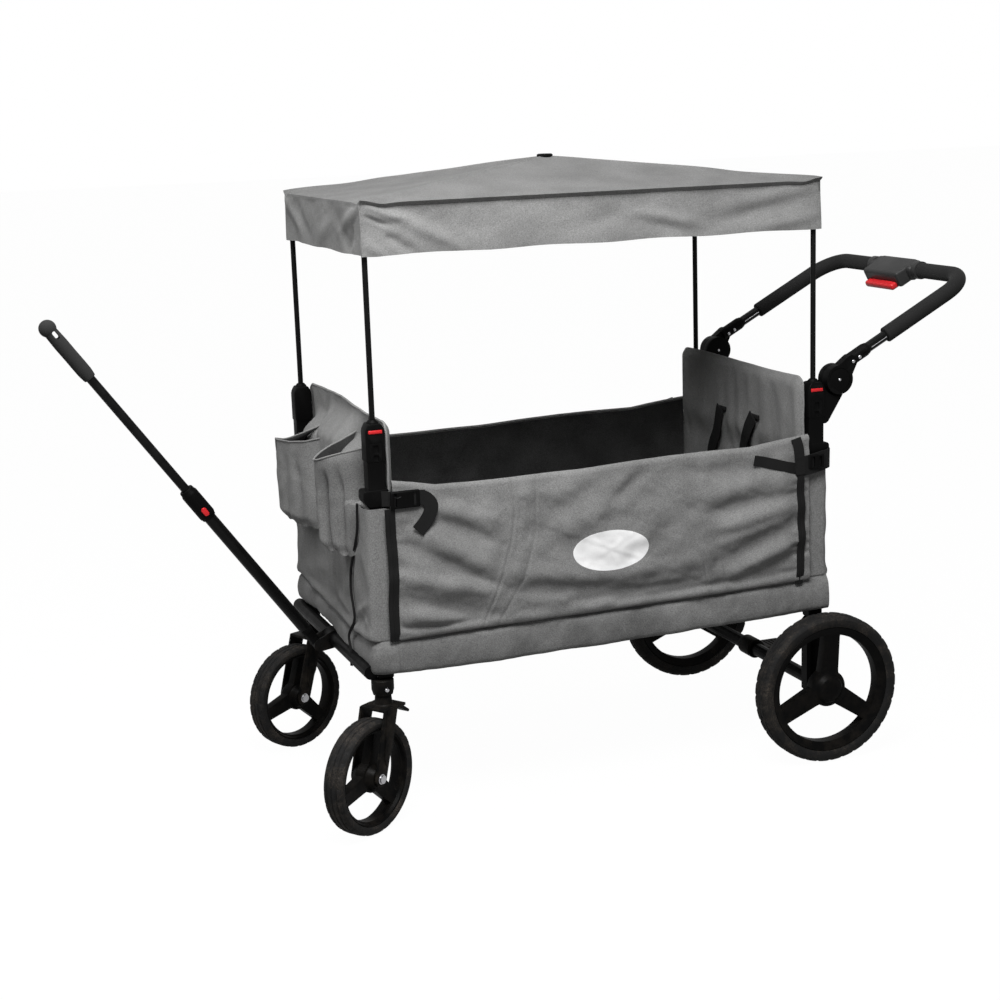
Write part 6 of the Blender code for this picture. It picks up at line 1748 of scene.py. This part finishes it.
def wheel_window(start, end, inner, outer, spoke_inner, spoke_outer):
    """The outline of an opening between two spokes."""
    outer_lean = math.degrees(math.asin(spoke_outer / 2 / outer))
    inner_lean = math.degrees(math.asin(spoke_inner / 2 / inner))
    return arc((0, 0), outer, start + outer_lean, end - outer_lean, 20) + arc(
        (0, 0), inner, end - inner_lean, start + inner_lean, 8
    )


def rim_mesh(radius, half, ring, web, hub, hub_half, spokes, first, bore, rounding):
    """A three-spoke rim about Y, with a flanged edge, a stepped hub and rounded windows."""
    ring_inner = radius - ring
    upper = [
        (bore, hub_half - 0.0010), (hub * 0.78, hub_half - 0.0006), (hub * 0.86, hub_half - 0.0022),
        (hub * 0.98, web / 2 + 0.0040), (hub * 1.12, web / 2 + 0.0006), (hub * 1.5, web / 2 - 0.0008),
        (ring_inner - 0.004, web / 2 - 0.0004), (ring_inner + 0.001, web / 2 + 0.0015),
        (radius - 0.0030, half * 0.84 - 0.0010), (radius - 0.0008, half * 0.84),
        (radius, half * 0.84 - 0.0010)
    ]
    profile = upper + [(r, -y) for r, y in reversed(upper)]
    shape = lathe(profile, 96, "Y", closed=True)
    windows = []
    for start in (first, first + 120, first + 240):
        window = wheel_window(start, start + 120, hub * 1.28, ring_inner - 0.0015, *spokes)
        windows.append(moulded(plate(window, web * 4), edge=0))
    return moulded(shape, cuts=windows, edge=rounding, steps=3, angle=40)


def make_wheels():
    """The tyres and rims of all four wheels."""
    rear_tyre = tyre_mesh(REAR_RADIUS, REAR_HALF, REAR_TYRE_DEPTH, 34)
    rear_rim = rim_mesh(
        REAR_RADIUS - REAR_TYRE_DEPTH, REAR_HALF, ring=0.014, web=0.020, hub=0.027, hub_half=0.0210,
        spokes=(0.036, 0.030), first=85, bore=0.0083, rounding=0.0022
    )
    cap = lathe(
        [(0, 0.0222), (0.012, 0.0220), (0.0195, 0.0212), (0.0212, 0.0198), (0.0212, 0.0170), (0, 0.0170)],
        48, "Y"
    )
    for side, sign in SIDES:
        low, high = local(f"rear_wheel_{side}_tyre")
        at = (low + high) / 2
        body = "rear_wheel_" + side
        piece(f"rear_tyre_{side}", moved(rear_tyre.copy(), at), "tyre", body, [body + "_tyre"], 30)
        piece(f"rear_rim_{side}", moved(rear_rim.copy(), at), "rim", body, [body + "_rim"], 35)
        piece(f"hub_cap_{side}", moved(mirrored(cap, sign), at), "rim", body)
    front_rim = rim_mesh(
        FRONT_RADIUS - FRONT_TYRE_DEPTH, FRONT_HALF, ring=0.006, web=0.018, hub=0.021, hub_half=0.0235,
        spokes=(0.030, 0.023), first=75, bore=0.0043, rounding=0.0018
    )
    front_tyre = tyre_mesh(FRONT_RADIUS, FRONT_HALF, FRONT_TYRE_DEPTH, 28)
    for side, sign in SIDES:
        body = "front_wheel_" + side
        turn = caster_turn(side)
        piece(f"front_tyre_{side}", moved(front_tyre.copy(), turn), "tyre", body, [body + "_tyre"], 30)
        piece(f"front_rim_{side}", moved(front_rim.copy(), turn), "rim", body, [body + "_rim"], 35)


CASTER_YAW = {"near": 0.605, "far": 0.441}
CASTER_TRAIL = 0.049
LEVER_PIN = (0.0315, 0.2065)
EAR_THICK = 0.003
EAR_Y = 0.0103
SWIVEL_LOW, SWIVEL_HIGH = local("caster_housing_far")
SWIVEL = ((SWIVEL_LOW.x + SWIVEL_HIGH.x) / 2, (SWIVEL_LOW.y + SWIVEL_HIGH.y) / 2)


def caster_turn(side, at_wheel=True):
    """The place and turn of a caster: at its wheel's axis, or at its swivel on the ground."""
    sign = -1 if side == "near" else 1
    turn = Matrix.Rotation(CASTER_YAW[side], 4, "Z")
    place = Matrix.Translation((SWIVEL[0], sign * SWIVEL[1], 0)) @ turn
    return place @ Matrix.Translation((-CASTER_TRAIL, 0, FRONT_RADIUS)) if at_wheel else place


def make_casters():
    """The swivel housings, forks, wheel bolts and lock levers of the front wheels."""
    wheel = (-CASTER_TRAIL, FRONT_RADIUS)
    leg_inner, leg = 0.0241, 0.004
    leg_outer = leg_inner + leg
    low_z, high_z = 0.2115, 0.2165
    legs = []
    for sign in (-1, 1):
        points = [(0.004, high_z - 0.0005), (-0.0305, high_z - 0.0005)] + arc(wheel, 0.014, 165, 345, 20)
        legs.append(plate(points, leg, sign * (leg_inner + leg / 2)))
    rib = [
        plate(
            [
                (0.001, high_z - 0.001), (-0.024, high_z - 0.001), (-0.040, 0.135), (-0.036, 0.120),
                (-0.018, 0.150)
            ],
            0.0062, sign * (leg_inner + 0.0031)
        )
        for sign in (-1, 1)
    ]
    bridge = box((-0.030, -leg_outer + 0.0003, low_z), (0.026, leg_outer - 0.0003, high_z), 0.0008)
    crown = lathe(
        [(0, 0.2347), (0.0135, 0.2347), (0.014, 0.2335), (0.0155, 0.219), (0.019, 0.2150), (0, 0.2150)], 40
    )
    ears = [
        plate(link((0.018, 0.2131), LEVER_PIN, 0.0045, 0.0040), EAR_THICK, sign * (EAR_Y + EAR_THICK / 2))
        for sign in (-1, 1)
    ]
    fork = moulded(bridge, joins=[*legs, *rib, crown, *ears], edge=0.0009)
    bolt_profile = [
        (0, 0.0345), (0.0035, 0.0342), (0.0062, 0.0325), (0.0072, 0.0300), (0.0072, 0.0292), (0.0088, 0.0290),
        (0.0088, 0.0284), (0.004, 0.0284), (0.004, -0.0284), (0.0088, -0.0284), (0.0088, -0.0290),
        (0.0072, -0.0292), (0.0072, -0.0325), (0, -0.0330)
    ]
    bolt = moved(lathe(bolt_profile, 32, "Y"), (wheel[0], 0, wheel[1]))
    lever = moulded(
        plate(link(LEVER_PIN, (0.055, 0.1905), 0.0035, 0.0026), 0.020),
        joins=[cross_rod(LEVER_PIN, -0.013, 0.013, 0.0016, 20)], edge=0.0008
    )
    housing = lathe(
        [
            (0, 0.2617), (0.0185, 0.2617), (0.0195, 0.2605), (0.0195, 0.2435), (0.0182, 0.2400),
            (0.0172, 0.2352), (0.0080, 0.2352), (0, 0.2400)
        ],
        48
    )
    screw = lathe([(0, 0.0030), (0.0030, 0.0026), (0.0040, 0.0012), (0.0040, -0.002), (0, -0.002)], 24)
    for side, sign in SIDES:
        turn = caster_turn(side, at_wheel=False)
        body = "caster_" + side
        piece(f"fork_{side}", moved(fork.copy(), turn), "low_plastic", body, ["caster_fork_" + side], 35)
        piece(f"wheel_bolt_{side}", moved(bolt.copy(), turn), "steel", body, ["front_wheel_bolt_" + side], 35)
        piece(
            f"lock_lever_{side}", moved(lever.copy(), turn), "low_plastic", "swivel_lock_" + side,
            ["swivel_lock_lever_" + side], 35
        )
        at = Vector((SWIVEL[0], sign * SWIVEL[1], 0))
        piece(
            f"swivel_housing_{side}", moved(housing.copy(), at), "low_plastic", "front_frame",
            ["caster_housing_" + side], 35
        )
        face = Matrix.Translation(at + Vector((0.002, sign * 0.0190, 0.2460))) @ Matrix.Rotation(
            math.radians(-90 * sign), 4, "X"
        )
        piece(f"housing_screw_{side}", moved(screw.copy(), face), "steel", "front_frame")


def make_rear_axle():
    """The rear feet and axle tube, the axle, the frames and the brake pedal."""
    for node in ("rear_frame", "front_frame", "rear_axle_carrier"):
        refinish(node, "paint")
    refinish("rear_axle", "steel")
    high = local("brake_pedal")[1]
    axle_x = (REAR_TYRE_LOW.x + REAR_TYRE_HIGH.x) / 2
    half = high.y
    plate_z = REAR_RADIUS - 0.006
    collar = lathe(
        [
            (0.0134, 0.021), (0.0186, 0.021), (0.0190, 0.0198), (0.0190, -0.0198), (0.0186, -0.021),
            (0.0134, -0.021)
        ],
        48, "Y", closed=True
    )
    moved(collar, (axle_x, 0, REAR_RADIUS))
    pad = box((axle_x + 0.0155, -half, plate_z - 0.0075), (high.x, half, plate_z + 0.0075), 0.0068, 5)
    grooves = [
        box(
            (axle_x + 0.034 + i * 0.0085, -half + 0.008, plate_z + 0.0062),
            (axle_x + 0.037 + i * 0.0085, half - 0.008, plate_z + 0.02)
        )
        for i in range(4)
    ]
    pedal = moulded(collar, joins=[pad], cuts=grooves, edge=0.0006)
    piece("brake_foot_pedal", pedal, "low_plastic", "brake", ["brake_pedal"], 35)


# Push handle

PUSH_TILT = math.radians(28)
PUSH_ALONG = Vector((math.cos(PUSH_TILT), 0, math.sin(PUSH_TILT)))
PUSH_UP = Vector((-math.sin(PUSH_TILT), 0, math.cos(PUSH_TILT)))
PUSH_START = Vector((PUSH_PIVOT[0], 0, PUSH_PIVOT[1])) + 0.0165 * PUSH_UP
PUSH_ARM_Y = 0.2442
PUSH_BAR = 0.327
PUSH_BEND = 0.058
FOAM_RADIUS = 0.015
FOAM_START = 0.1235
RING_HALF = 0.085


def push_point(along, y, up=0.0):
    """A point of the push handle: along its arms, across the wagon, and square to its plane."""
    return PUSH_START + PUSH_ALONG * float(along) + PUSH_UP * float(up) + Vector((0, y, 0))


def push_turn():
    """The push handle's own directions as a matrix: along, across, up."""
    return Matrix.Translation(PUSH_START) @ Matrix((PUSH_ALONG, (0, 1, 0), PUSH_UP)).transposed().to_4x4()


def rivet(at, out, radius, height):
    """A domed rivet head."""
    dome = lathe(
        [
            (0, height), (radius * 0.55, height * 0.85), (radius * 0.9, height * 0.4), (radius, 0),
            (radius, -0.001), (0, -0.001)
        ],
        24
    )
    turn = Vector(out).to_track_quat("Z", "Y").to_matrix().to_4x4()
    return moved(dome, Matrix.Translation(at) @ turn)


def make_push_handle():
    """The push handle: joint halves with rivets, slotted tube, foam sleeves, grip housing and trigger."""
    split, outer = HUB_SPLIT_Y + 0.0004, HUB_OUTER_Y
    thick = outer - split
    centre = split + thick / 2
    hub = plate(circle(PUSH_PIVOT, HUB_RADIUS - 0.0002, 72), thick, centre)
    neck_at = PUSH_START + 0.036 * PUSH_ALONG
    neck = plate(
        link((PUSH_PIVOT[0] + 0.002, PUSH_PIVOT[1] + 0.004), (neck_at.x, neck_at.z), 0.020, 0.0118, 16),
        thick * 0.96, centre
    )
    sleeve = rod(push_point(0.0285, PUSH_ARM_Y), push_point(0.074, PUSH_ARM_Y), 0.0122, 40)
    tip = rod(push_point(0.073, PUSH_ARM_Y), push_point(0.080, PUSH_ARM_Y), 0.0122, 40, 0.0106)
    recess = cross_rod(PUSH_PIVOT, outer - 0.0008, outer + 0.02, 0.0215, 64)
    boss = cross_rod(PUSH_PIVOT, outer - 0.004, outer - 0.0004, 0.0195, 64)
    mould = moulded(hub, joins=[neck, sleeve, tip], cuts=[recess], edge=0.0012, steps=3)
    for side, sign in SIDES:
        shape = mirrored(together(mould, moulded(boss, edge=0.0006)), sign)
        piece(f"handle_joint_{side}", shape, "plastic", "push_handle", ["push_connector_" + side], 35)
        rivets = [rivet((PUSH_PIVOT[0], outer - 0.0005, PUSH_PIVOT[1]), (0, 1, 0), 0.0028, 0.0016)]
        rivets.append(rivet((PUSH_PIVOT[0], HUB_INNER_Y + 0.0004, PUSH_PIVOT[1]), (0, -1, 0), 0.0028, 0.0012))
        for along in (0.0395, 0.0545):
            for way in (1, -1):
                at = push_point(along, PUSH_ARM_Y + way * 0.0117, -0.002)
                rivets.append(rivet(at, (0, way, 0), 0.0034, 0.0018))
        piece(f"handle_rivets_{side}", mirrored(together(*rivets), sign), "steel", "push_handle")
    refinish("push_tube", "tube")
    lines = [
        cord_mesh(
            [push_point(t, sign * (PUSH_ARM_Y + way * 0.0099), 0.0) for t in np.linspace(0.084, 0.120, 6)],
            0.0008, 8
        )
        for sign in (-1, 1) for way in (-1, 1)
    ]
    piece("handle_slot_lines", together(*lines), "steel", "push_handle")

    bar = PUSH_BAR
    turn = arc((bar - PUSH_BEND, PUSH_ARM_Y - PUSH_BEND), PUSH_BEND, 90, 0, 22)
    path = [
        (FOAM_START, PUSH_ARM_Y),
        *[(FOAM_START + (bar - PUSH_BEND - FOAM_START) * t, PUSH_ARM_Y) for t in np.linspace(0.02, 0.98, 14)],
        *turn
    ]
    path += [(bar, y) for y in np.linspace(PUSH_ARM_Y - PUSH_BEND, RING_HALF + 0.0006, 12)[1:]]
    line = [push_point(along, y) for along, y in path]
    radius = FOAM_RADIUS - 0.0002
    foam = sweep(line, circle((0, 0), radius, 36), up=tuple(PUSH_UP))
    foam = moulded(foam, edge=0.0022, steps=4, angle=60)
    for side, sign in SIDES:
        piece(f"foam_sleeve_{side}", mirrored(foam, sign), "foam", "push_handle", ["handle_foam_" + side], 40)

    front = bar - 0.042
    body = box((front, -0.061, -0.0162), (bar + 0.0155, 0.061, 0.0162), 0.006, 4)
    saddle = box((bar - 0.019, -0.0735, -0.0160), (bar + 0.0160, 0.0735, 0.0160), 0.009, 5)
    rings = [rod((bar, sign * 0.068, 0), (bar, sign * RING_HALF, 0), 0.0172, 48) for sign in (-1, 1)]
    pocket = box((front - 0.02, -0.0495, -0.0172), (front + 0.017, 0.0495, -0.0030), 0.002)
    bore = rod((bar, -0.12, 0), (bar, 0.12, 0), 0.0099, 36)
    housing = moulded(body, joins=[saddle, *rings], cuts=[pocket, bore], edge=0.0010)
    piece("grip_cover", moved(housing, push_turn()), "housing", "push_handle", ["grip_housing"], 40)
    low_up, high_up = -0.0165, -0.0035
    key = box((front - 0.013, -0.049, low_up), (front + 0.011, 0.049, high_up), 0.0048, 4)
    grip_line = box((front - 0.009, -0.040, high_up - 0.0006), (front - 0.0078, 0.040, high_up + 0.01))
    trigger = moulded(key, cuts=[grip_line], edge=0.0004)
    piece("red_trigger", moved(trigger, push_turn()), "red", "trigger", ["fold_trigger"], 40)


# Pull handle

PULL_TILT = math.radians(54.5)
PULL_HINGE = Vector((-0.4712, 0, 0.2655))
TUBE_AT = Vector((-0.442, 0, 0.2750))


def pull_turn():
    """The pull handle's place: its own Z runs along it from the hinge."""
    return Matrix.Translation(PULL_HINGE) @ Matrix.Rotation(-(math.pi / 2 - PULL_TILT), 4, "Y")


def make_pull_handle():
    """The bracket on the front tube and the telescopic pull handle with its collar, button and grip."""
    ear_y, ear_thick = 0.0128, 0.004
    outer = ear_y + ear_thick
    clamp = lathe(
        [
            (0.0128, outer), (0.0152, outer), (0.0160, outer - 0.001), (0.0160, -outer + 0.001),
            (0.0152, -outer), (0.0128, -outer)
        ],
        48, "Y", closed=True
    )
    moved(clamp, TUBE_AT)
    tube_at, hinge_at = (TUBE_AT.x, TUBE_AT.z), (PULL_HINGE.x, PULL_HINGE.z)
    ears = []
    for sign in (-1, 1):
        ear = plate(link(tube_at, hinge_at, 0.0160, 0.0110, 20), ear_thick, sign * (ear_y + ear_thick / 2))
        ears.append(moulded(ear, cuts=[cross_rod(tube_at, -0.05, 0.05, 0.0129, 48)], edge=0))
    pin_end = outer + 0.0006
    pin = cross_rod(hinge_at, -pin_end, pin_end, 0.004, 28)
    bracket = moulded(clamp, joins=[*ears, pin], edge=0.0007)
    piece("pull_bracket_cast", bracket, "low_plastic", "front_frame", ["pull_bracket"], 35)

    place = pull_turn()
    eye = moulded(
        cross_rod((0, 0), -0.0125, 0.0125, 0.0100, 40),
        joins=[
            rod((0, 0, 0.001), (0, 0, 0.0397), 0.0093, 36), rod((0, 0, 0.030), (0, 0, 0.0397), 0.0105, 36)
        ],
        cuts=[cross_rod((0, 0), -0.03, 0.03, 0.0044, 28)], edge=0.0008
    )
    piece("pull_knuckle", moved(eye, place), "plastic", "pull_handle", ["pull_joint"], 35)
    tube_profile = [
        (0.0090, 0.040), (0.0106, 0.040), (0.0110, 0.0406), (0.0110, 0.3446), (0.0106, 0.345), (0.0090, 0.345)
    ]
    piece(
        "pull_tube_outer", moved(lathe(tube_profile, 40, closed=True), place), "tube", "pull_handle",
        ["pull_lower_tube"]
    )
    upper_profile = [(0.0066, 0.268), (0.0080, 0.268), (0.0080, 0.660), (0.0066, 0.660)]
    piece(
        "pull_tube_inner", moved(lathe(upper_profile, 36, closed=True), place), "tube", "pull_slide",
        ["pull_upper_tube"]
    )
    collar_profile = [
        (0.0084, 0.3810), (0.0118, 0.3810), (0.0128, 0.3800), (0.0135, 0.3740), (0.0148, 0.3715),
        (0.0150, 0.3690), (0.0150, 0.3230), (0.0146, 0.3200), (0.0134, 0.3185), (0.0130, 0.3155),
        (0.0126, 0.3150), (0.0113, 0.3150), (0.0113, 0.3453), (0.0084, 0.3453)
    ]
    window = plate(link((0, 0.3278), (0, 0.3352), 0.0054, 0.0054 - 0.00001), 0.015, -0.015)
    collar = moulded(lathe(collar_profile, 48, closed=True), cuts=[window], edge=0.0005)
    piece("pull_clamp", moved(collar, place), "plastic", "pull_handle", ["pull_collar"], 35)
    button = moulded(
        plate(link((0, 0.3278), (0, 0.3352), 0.00475, 0.00474), 0.003, 0.0015 - 0.017), edge=0.0009, steps=3
    )
    piece("red_clamp_button", moved(button, place), "red", "pull_button", ["collar_button"])

    bulb = 0.7615 - 0.0150
    grip = [(0, 0.7615)] + [(r, bulb + z) for r, z in arc((0, 0), 0.0150, 84, -38, 18)]
    grip += [
        (0.0124, 0.722), (0.0127, 0.712), (0.0125, 0.690), (0.0126, 0.660), (0.0124, 0.650), (0.0112, 0.640),
        (0.0105, 0.637), (0.0083, 0.637), (0.0083, 0.6603), (0, 0.6603)
    ]
    slot = plate(link((0.003, 0.72575), (0.003, 0.73525), 0.00325, 0.00324), 0.06)
    handle = moulded(lathe(grip, 44), cuts=[slot], edge=0.0007)
    piece("pull_hand_grip", moved(handle, place), "grip", "pull_slide", ["pull_grip"], 40)


# Stage, lamps and camera

CAMERA_PLACE = Vector((-1.2584, -3.1504, 1.2175))
CAMERA_RIGHT = Vector((0.93639, -0.34938, -0.03323))
CAMERA_UP = Vector((0.10413, 0.18617, 0.97698))
CAMERA_AHEAD = Vector((0.33515, 0.91830, -0.21071))
CAMERA_LENS = 66.29
SENSOR_WIDTH = 36.0

# The paper glows for the camera, and the rest of what is seen is lit paper, which keeps the shadow
GLOW_SHARE = 0.90
GLOSSY_SHARE = 0.4
PAPER_GLOW = 1.09
PAPER_GREY = 0.22
FLOOR_HALF_SIZE = 30.0
FLOOR_GAP = 0.0005

# Each lamp has its name, place, size and share of the key lamp's power
LAMPS = (
    ("key_lamp", (-0.55, -1.45, 2.45), 1.1, 1.0), ("top_lamp", (-0.5, 0.2, 3.0), 1.6, 0.22),
    ("side_lamp", (-2.2, 0.1, 2.5), 1.2, 0.26)
)
LAMP_TARGET = Vector((0, 0, 0.5))


def add_lamp(name, place, size, power):
    """A large soft lamp that looks at the wagon."""
    data = bpy.data.lights.new(name, "AREA")
    data.size = size
    data.energy = power
    obj = bpy.data.objects.new(name, data)
    bpy.context.scene.collection.objects.link(obj)
    obj.visible_camera = False
    obj.location = place
    obj.rotation_euler = (LAMP_TARGET - Vector(place)).to_track_quat("-Z", "Y").to_euler()


def shown_directly(tree):
    """1 for what the camera sees directly, or in metal or glass."""
    path = shader_node(tree, "ShaderNodeLightPath").outputs
    glossy = calculate(tree, "MULTIPLY", path["Is Glossy Ray"], GLOSSY_SHARE)
    seen = calculate(tree, "MAXIMUM", path["Is Camera Ray"], glossy)
    return calculate(tree, "MAXIMUM", seen, path["Is Transmission Ray"])


def make_stage():
    """A white floor that keeps a faint shadow, a white surround, soft lamps and the photograph's camera."""
    scene = bpy.context.scene
    look = scene.wagon_look
    mesh = bpy.data.meshes.new("floor")
    size = FLOOR_HALF_SIZE
    mesh.from_pydata(
        [(-size, -size, 0), (size, -size, 0), (size, size, 0), (-size, size, 0)], [], [(0, 1, 2, 3)]
    )
    floor = bpy.data.objects.new("floor", mesh)
    scene.collection.objects.link(floor)
    floor.location.z = -FLOOR_GAP
    paper, tree, shader = new_material("white_paper")
    shader.inputs["Base Color"].default_value = (PAPER_GREY, PAPER_GREY, PAPER_GREY, 1)
    shader.inputs["Roughness"].default_value = 0.9
    glow = shader_node(tree, "ShaderNodeEmission", {"Color": (1, 1, 1, 1), "Strength": PAPER_GLOW})
    share = calculate(tree, "MULTIPLY", shown_directly(tree), GLOW_SHARE)
    mixed = shader_node(tree, "ShaderNodeMixShader", {0: share, 1: shader.outputs[0], 2: glow.outputs[0]})
    tree.links.new(mixed.outputs[0], tree.nodes["Material Output"].inputs["Surface"])
    mesh.materials.append(paper)

    world = bpy.data.worlds.new("white_room")
    scene.world = world
    world.use_nodes = True
    tree = world.node_tree
    strength = in_range(tree, shown_directly(tree), 0.0, 1.0, look.room_light, 1.0)
    tree.links.new(strength, tree.nodes["Background"].inputs["Strength"])
    tree.nodes["Background"].inputs["Color"].default_value = (1, 1, 1, 1)

    for name, place, size, share in LAMPS:
        add_lamp(name, place, size, look.key_power * share)

    data = bpy.data.cameras.new("photo_camera")
    data.lens = CAMERA_LENS
    data.sensor_width = SENSOR_WIDTH
    camera = bpy.data.objects.new("photo_camera", data)
    scene.collection.objects.link(camera)
    turn = Matrix((CAMERA_RIGHT, CAMERA_UP, -CAMERA_AHEAD)).transposed().to_4x4()
    camera.matrix_world = Matrix.Translation(CAMERA_PLACE + SHIFT) @ turn
    scene.camera = camera
    scene.view_settings.view_transform = "Standard"


# The add-on


class WagonLook(PropertyGroup):
    """Colours and light that a user may change."""

    yarn_dark: FloatVectorProperty(
        name="Dark yarn", description="Colour of the cloth's dark threads", subtype="COLOR",
        default=(0.150, 0.150, 0.149), min=0, max=1
    )
    yarn_light: FloatVectorProperty(
        name="Light yarn", description="Colour of the cloth's light threads", subtype="COLOR",
        default=(0.300, 0.300, 0.296), min=0, max=1
    )
    red: FloatVectorProperty(
        name="Red parts", description="Colour of the buttons and the trigger", subtype="COLOR",
        default=(0.62, 0.02, 0.025), min=0, max=1
    )
    black_level: FloatProperty(
        name="Black parts", description="How light the black parts are", subtype="FACTOR", default=0.022,
        min=0.005, max=0.2
    )
    key_power: FloatProperty(
        name="Key lamp", description="Power of the largest lamp", subtype="POWER", unit="POWER", default=74.0,
        min=0
    )
    room_light: FloatProperty(
        name="Room light", description="Strength of the even light from all round", subtype="FACTOR",
        default=0.13, min=0, max=2
    )


class WAGON_OT_stage(Operator):
    """Make the floor, the surround, the lamps and the camera"""

    bl_idname = "wagon.stage"
    bl_label = "Stage and camera"

    def execute(self, context):
        make_stage()
        return {"FINISHED"}


class WAGON_OT_canopy(Operator):
    """Make the canopy's cloth, seams, ribs and poles"""

    bl_idname = "wagon.canopy"
    bl_label = "Canopy"

    def execute(self, context):
        make_canopy()
        return {"FINISHED"}


class WAGON_OT_sockets(Operator):
    """Make the corner sockets and their buttons"""

    bl_idname = "wagon.sockets"
    bl_label = "Corner sockets"

    def execute(self, context):
        make_sockets()
        return {"FINISHED"}


class WAGON_OT_sides(Operator):
    """Make the side panels with skirts, bands, straps and the white oval"""

    bl_idname = "wagon.sides"
    bl_label = "Side panels"

    def execute(self, context):
        make_side_cloth()
        make_oval()
        return {"FINISHED"}


class WAGON_OT_ends(Operator):
    """Make the front and rear panels with piping, zip and harness"""

    bl_idname = "wagon.ends"
    bl_label = "End panels"

    def execute(self, context):
        make_end_panels()
        return {"FINISHED"}


class WAGON_OT_pockets(Operator):
    """Make the two bottle pockets"""

    bl_idname = "wagon.pockets"
    bl_label = "Bottle pockets"

    def execute(self, context):
        make_pockets()
        return {"FINISHED"}


class WAGON_OT_floor(Operator):
    """Make the padded mats of the folding floor"""

    bl_idname = "wagon.floor"
    bl_label = "Floor mats"

    def execute(self, context):
        make_floor()
        return {"FINISHED"}


class WAGON_OT_wheels(Operator):
    """Make the tyres and rims"""

    bl_idname = "wagon.wheels"
    bl_label = "Wheels"

    def execute(self, context):
        make_wheels()
        return {"FINISHED"}


class WAGON_OT_casters(Operator):
    """Make the front casters"""

    bl_idname = "wagon.casters"
    bl_label = "Casters"

    def execute(self, context):
        make_casters()
        return {"FINISHED"}


class WAGON_OT_axle(Operator):
    """Finish the frames and make the brake pedal"""

    bl_idname = "wagon.axle"
    bl_label = "Frames and brake"

    def execute(self, context):
        make_rear_axle()
        return {"FINISHED"}


class WAGON_OT_push_handle(Operator):
    """Make the push handle"""

    bl_idname = "wagon.push_handle"
    bl_label = "Push handle"

    def execute(self, context):
        make_push_handle()
        return {"FINISHED"}


class WAGON_OT_pull_handle(Operator):
    """Make the pull handle"""

    bl_idname = "wagon.pull_handle"
    bl_label = "Pull handle"

    def execute(self, context):
        make_pull_handle()
        return {"FINISHED"}


OPERATORS = (
    WAGON_OT_stage, WAGON_OT_sockets, WAGON_OT_canopy, WAGON_OT_ends, WAGON_OT_sides, WAGON_OT_pockets,
    WAGON_OT_floor, WAGON_OT_wheels, WAGON_OT_casters, WAGON_OT_axle, WAGON_OT_push_handle,
    WAGON_OT_pull_handle
)


class WAGON_PT_looks(Panel):
    """Lists the wagon's colours and pieces"""

    bl_idname = "WAGON_PT_looks"
    bl_label = "Folding wagon"
    bl_space_type = "VIEW_3D"
    bl_region_type = "UI"
    bl_category = "Wagon"

    def draw(self, context):
        look = context.scene.wagon_look
        for name in ("yarn_dark", "yarn_light", "red", "black_level", "key_power", "room_light"):
            self.layout.prop(look, name)
        for operator in OPERATORS:
            self.layout.operator(operator.bl_idname)


CLASSES = (WagonLook, *OPERATORS, WAGON_PT_looks)


def register():
    """Register the add-on's classes and its settings."""
    for one in CLASSES:
        bpy.utils.register_class(one)
    bpy.types.Scene.wagon_look = PointerProperty(type=WagonLook)


def unregister():
    """Remove the settings and the classes."""
    del bpy.types.Scene.wagon_look
    for one in reversed(CLASSES):
        bpy.utils.unregister_class(one)


def main():
    register()
    for operator in OPERATORS:
        group, name = operator.bl_idname.split(".")
        getattr(getattr(bpy.ops, group), name)()
    bpy.context.view_layer.update()


if __name__ == "__main__":
    main()
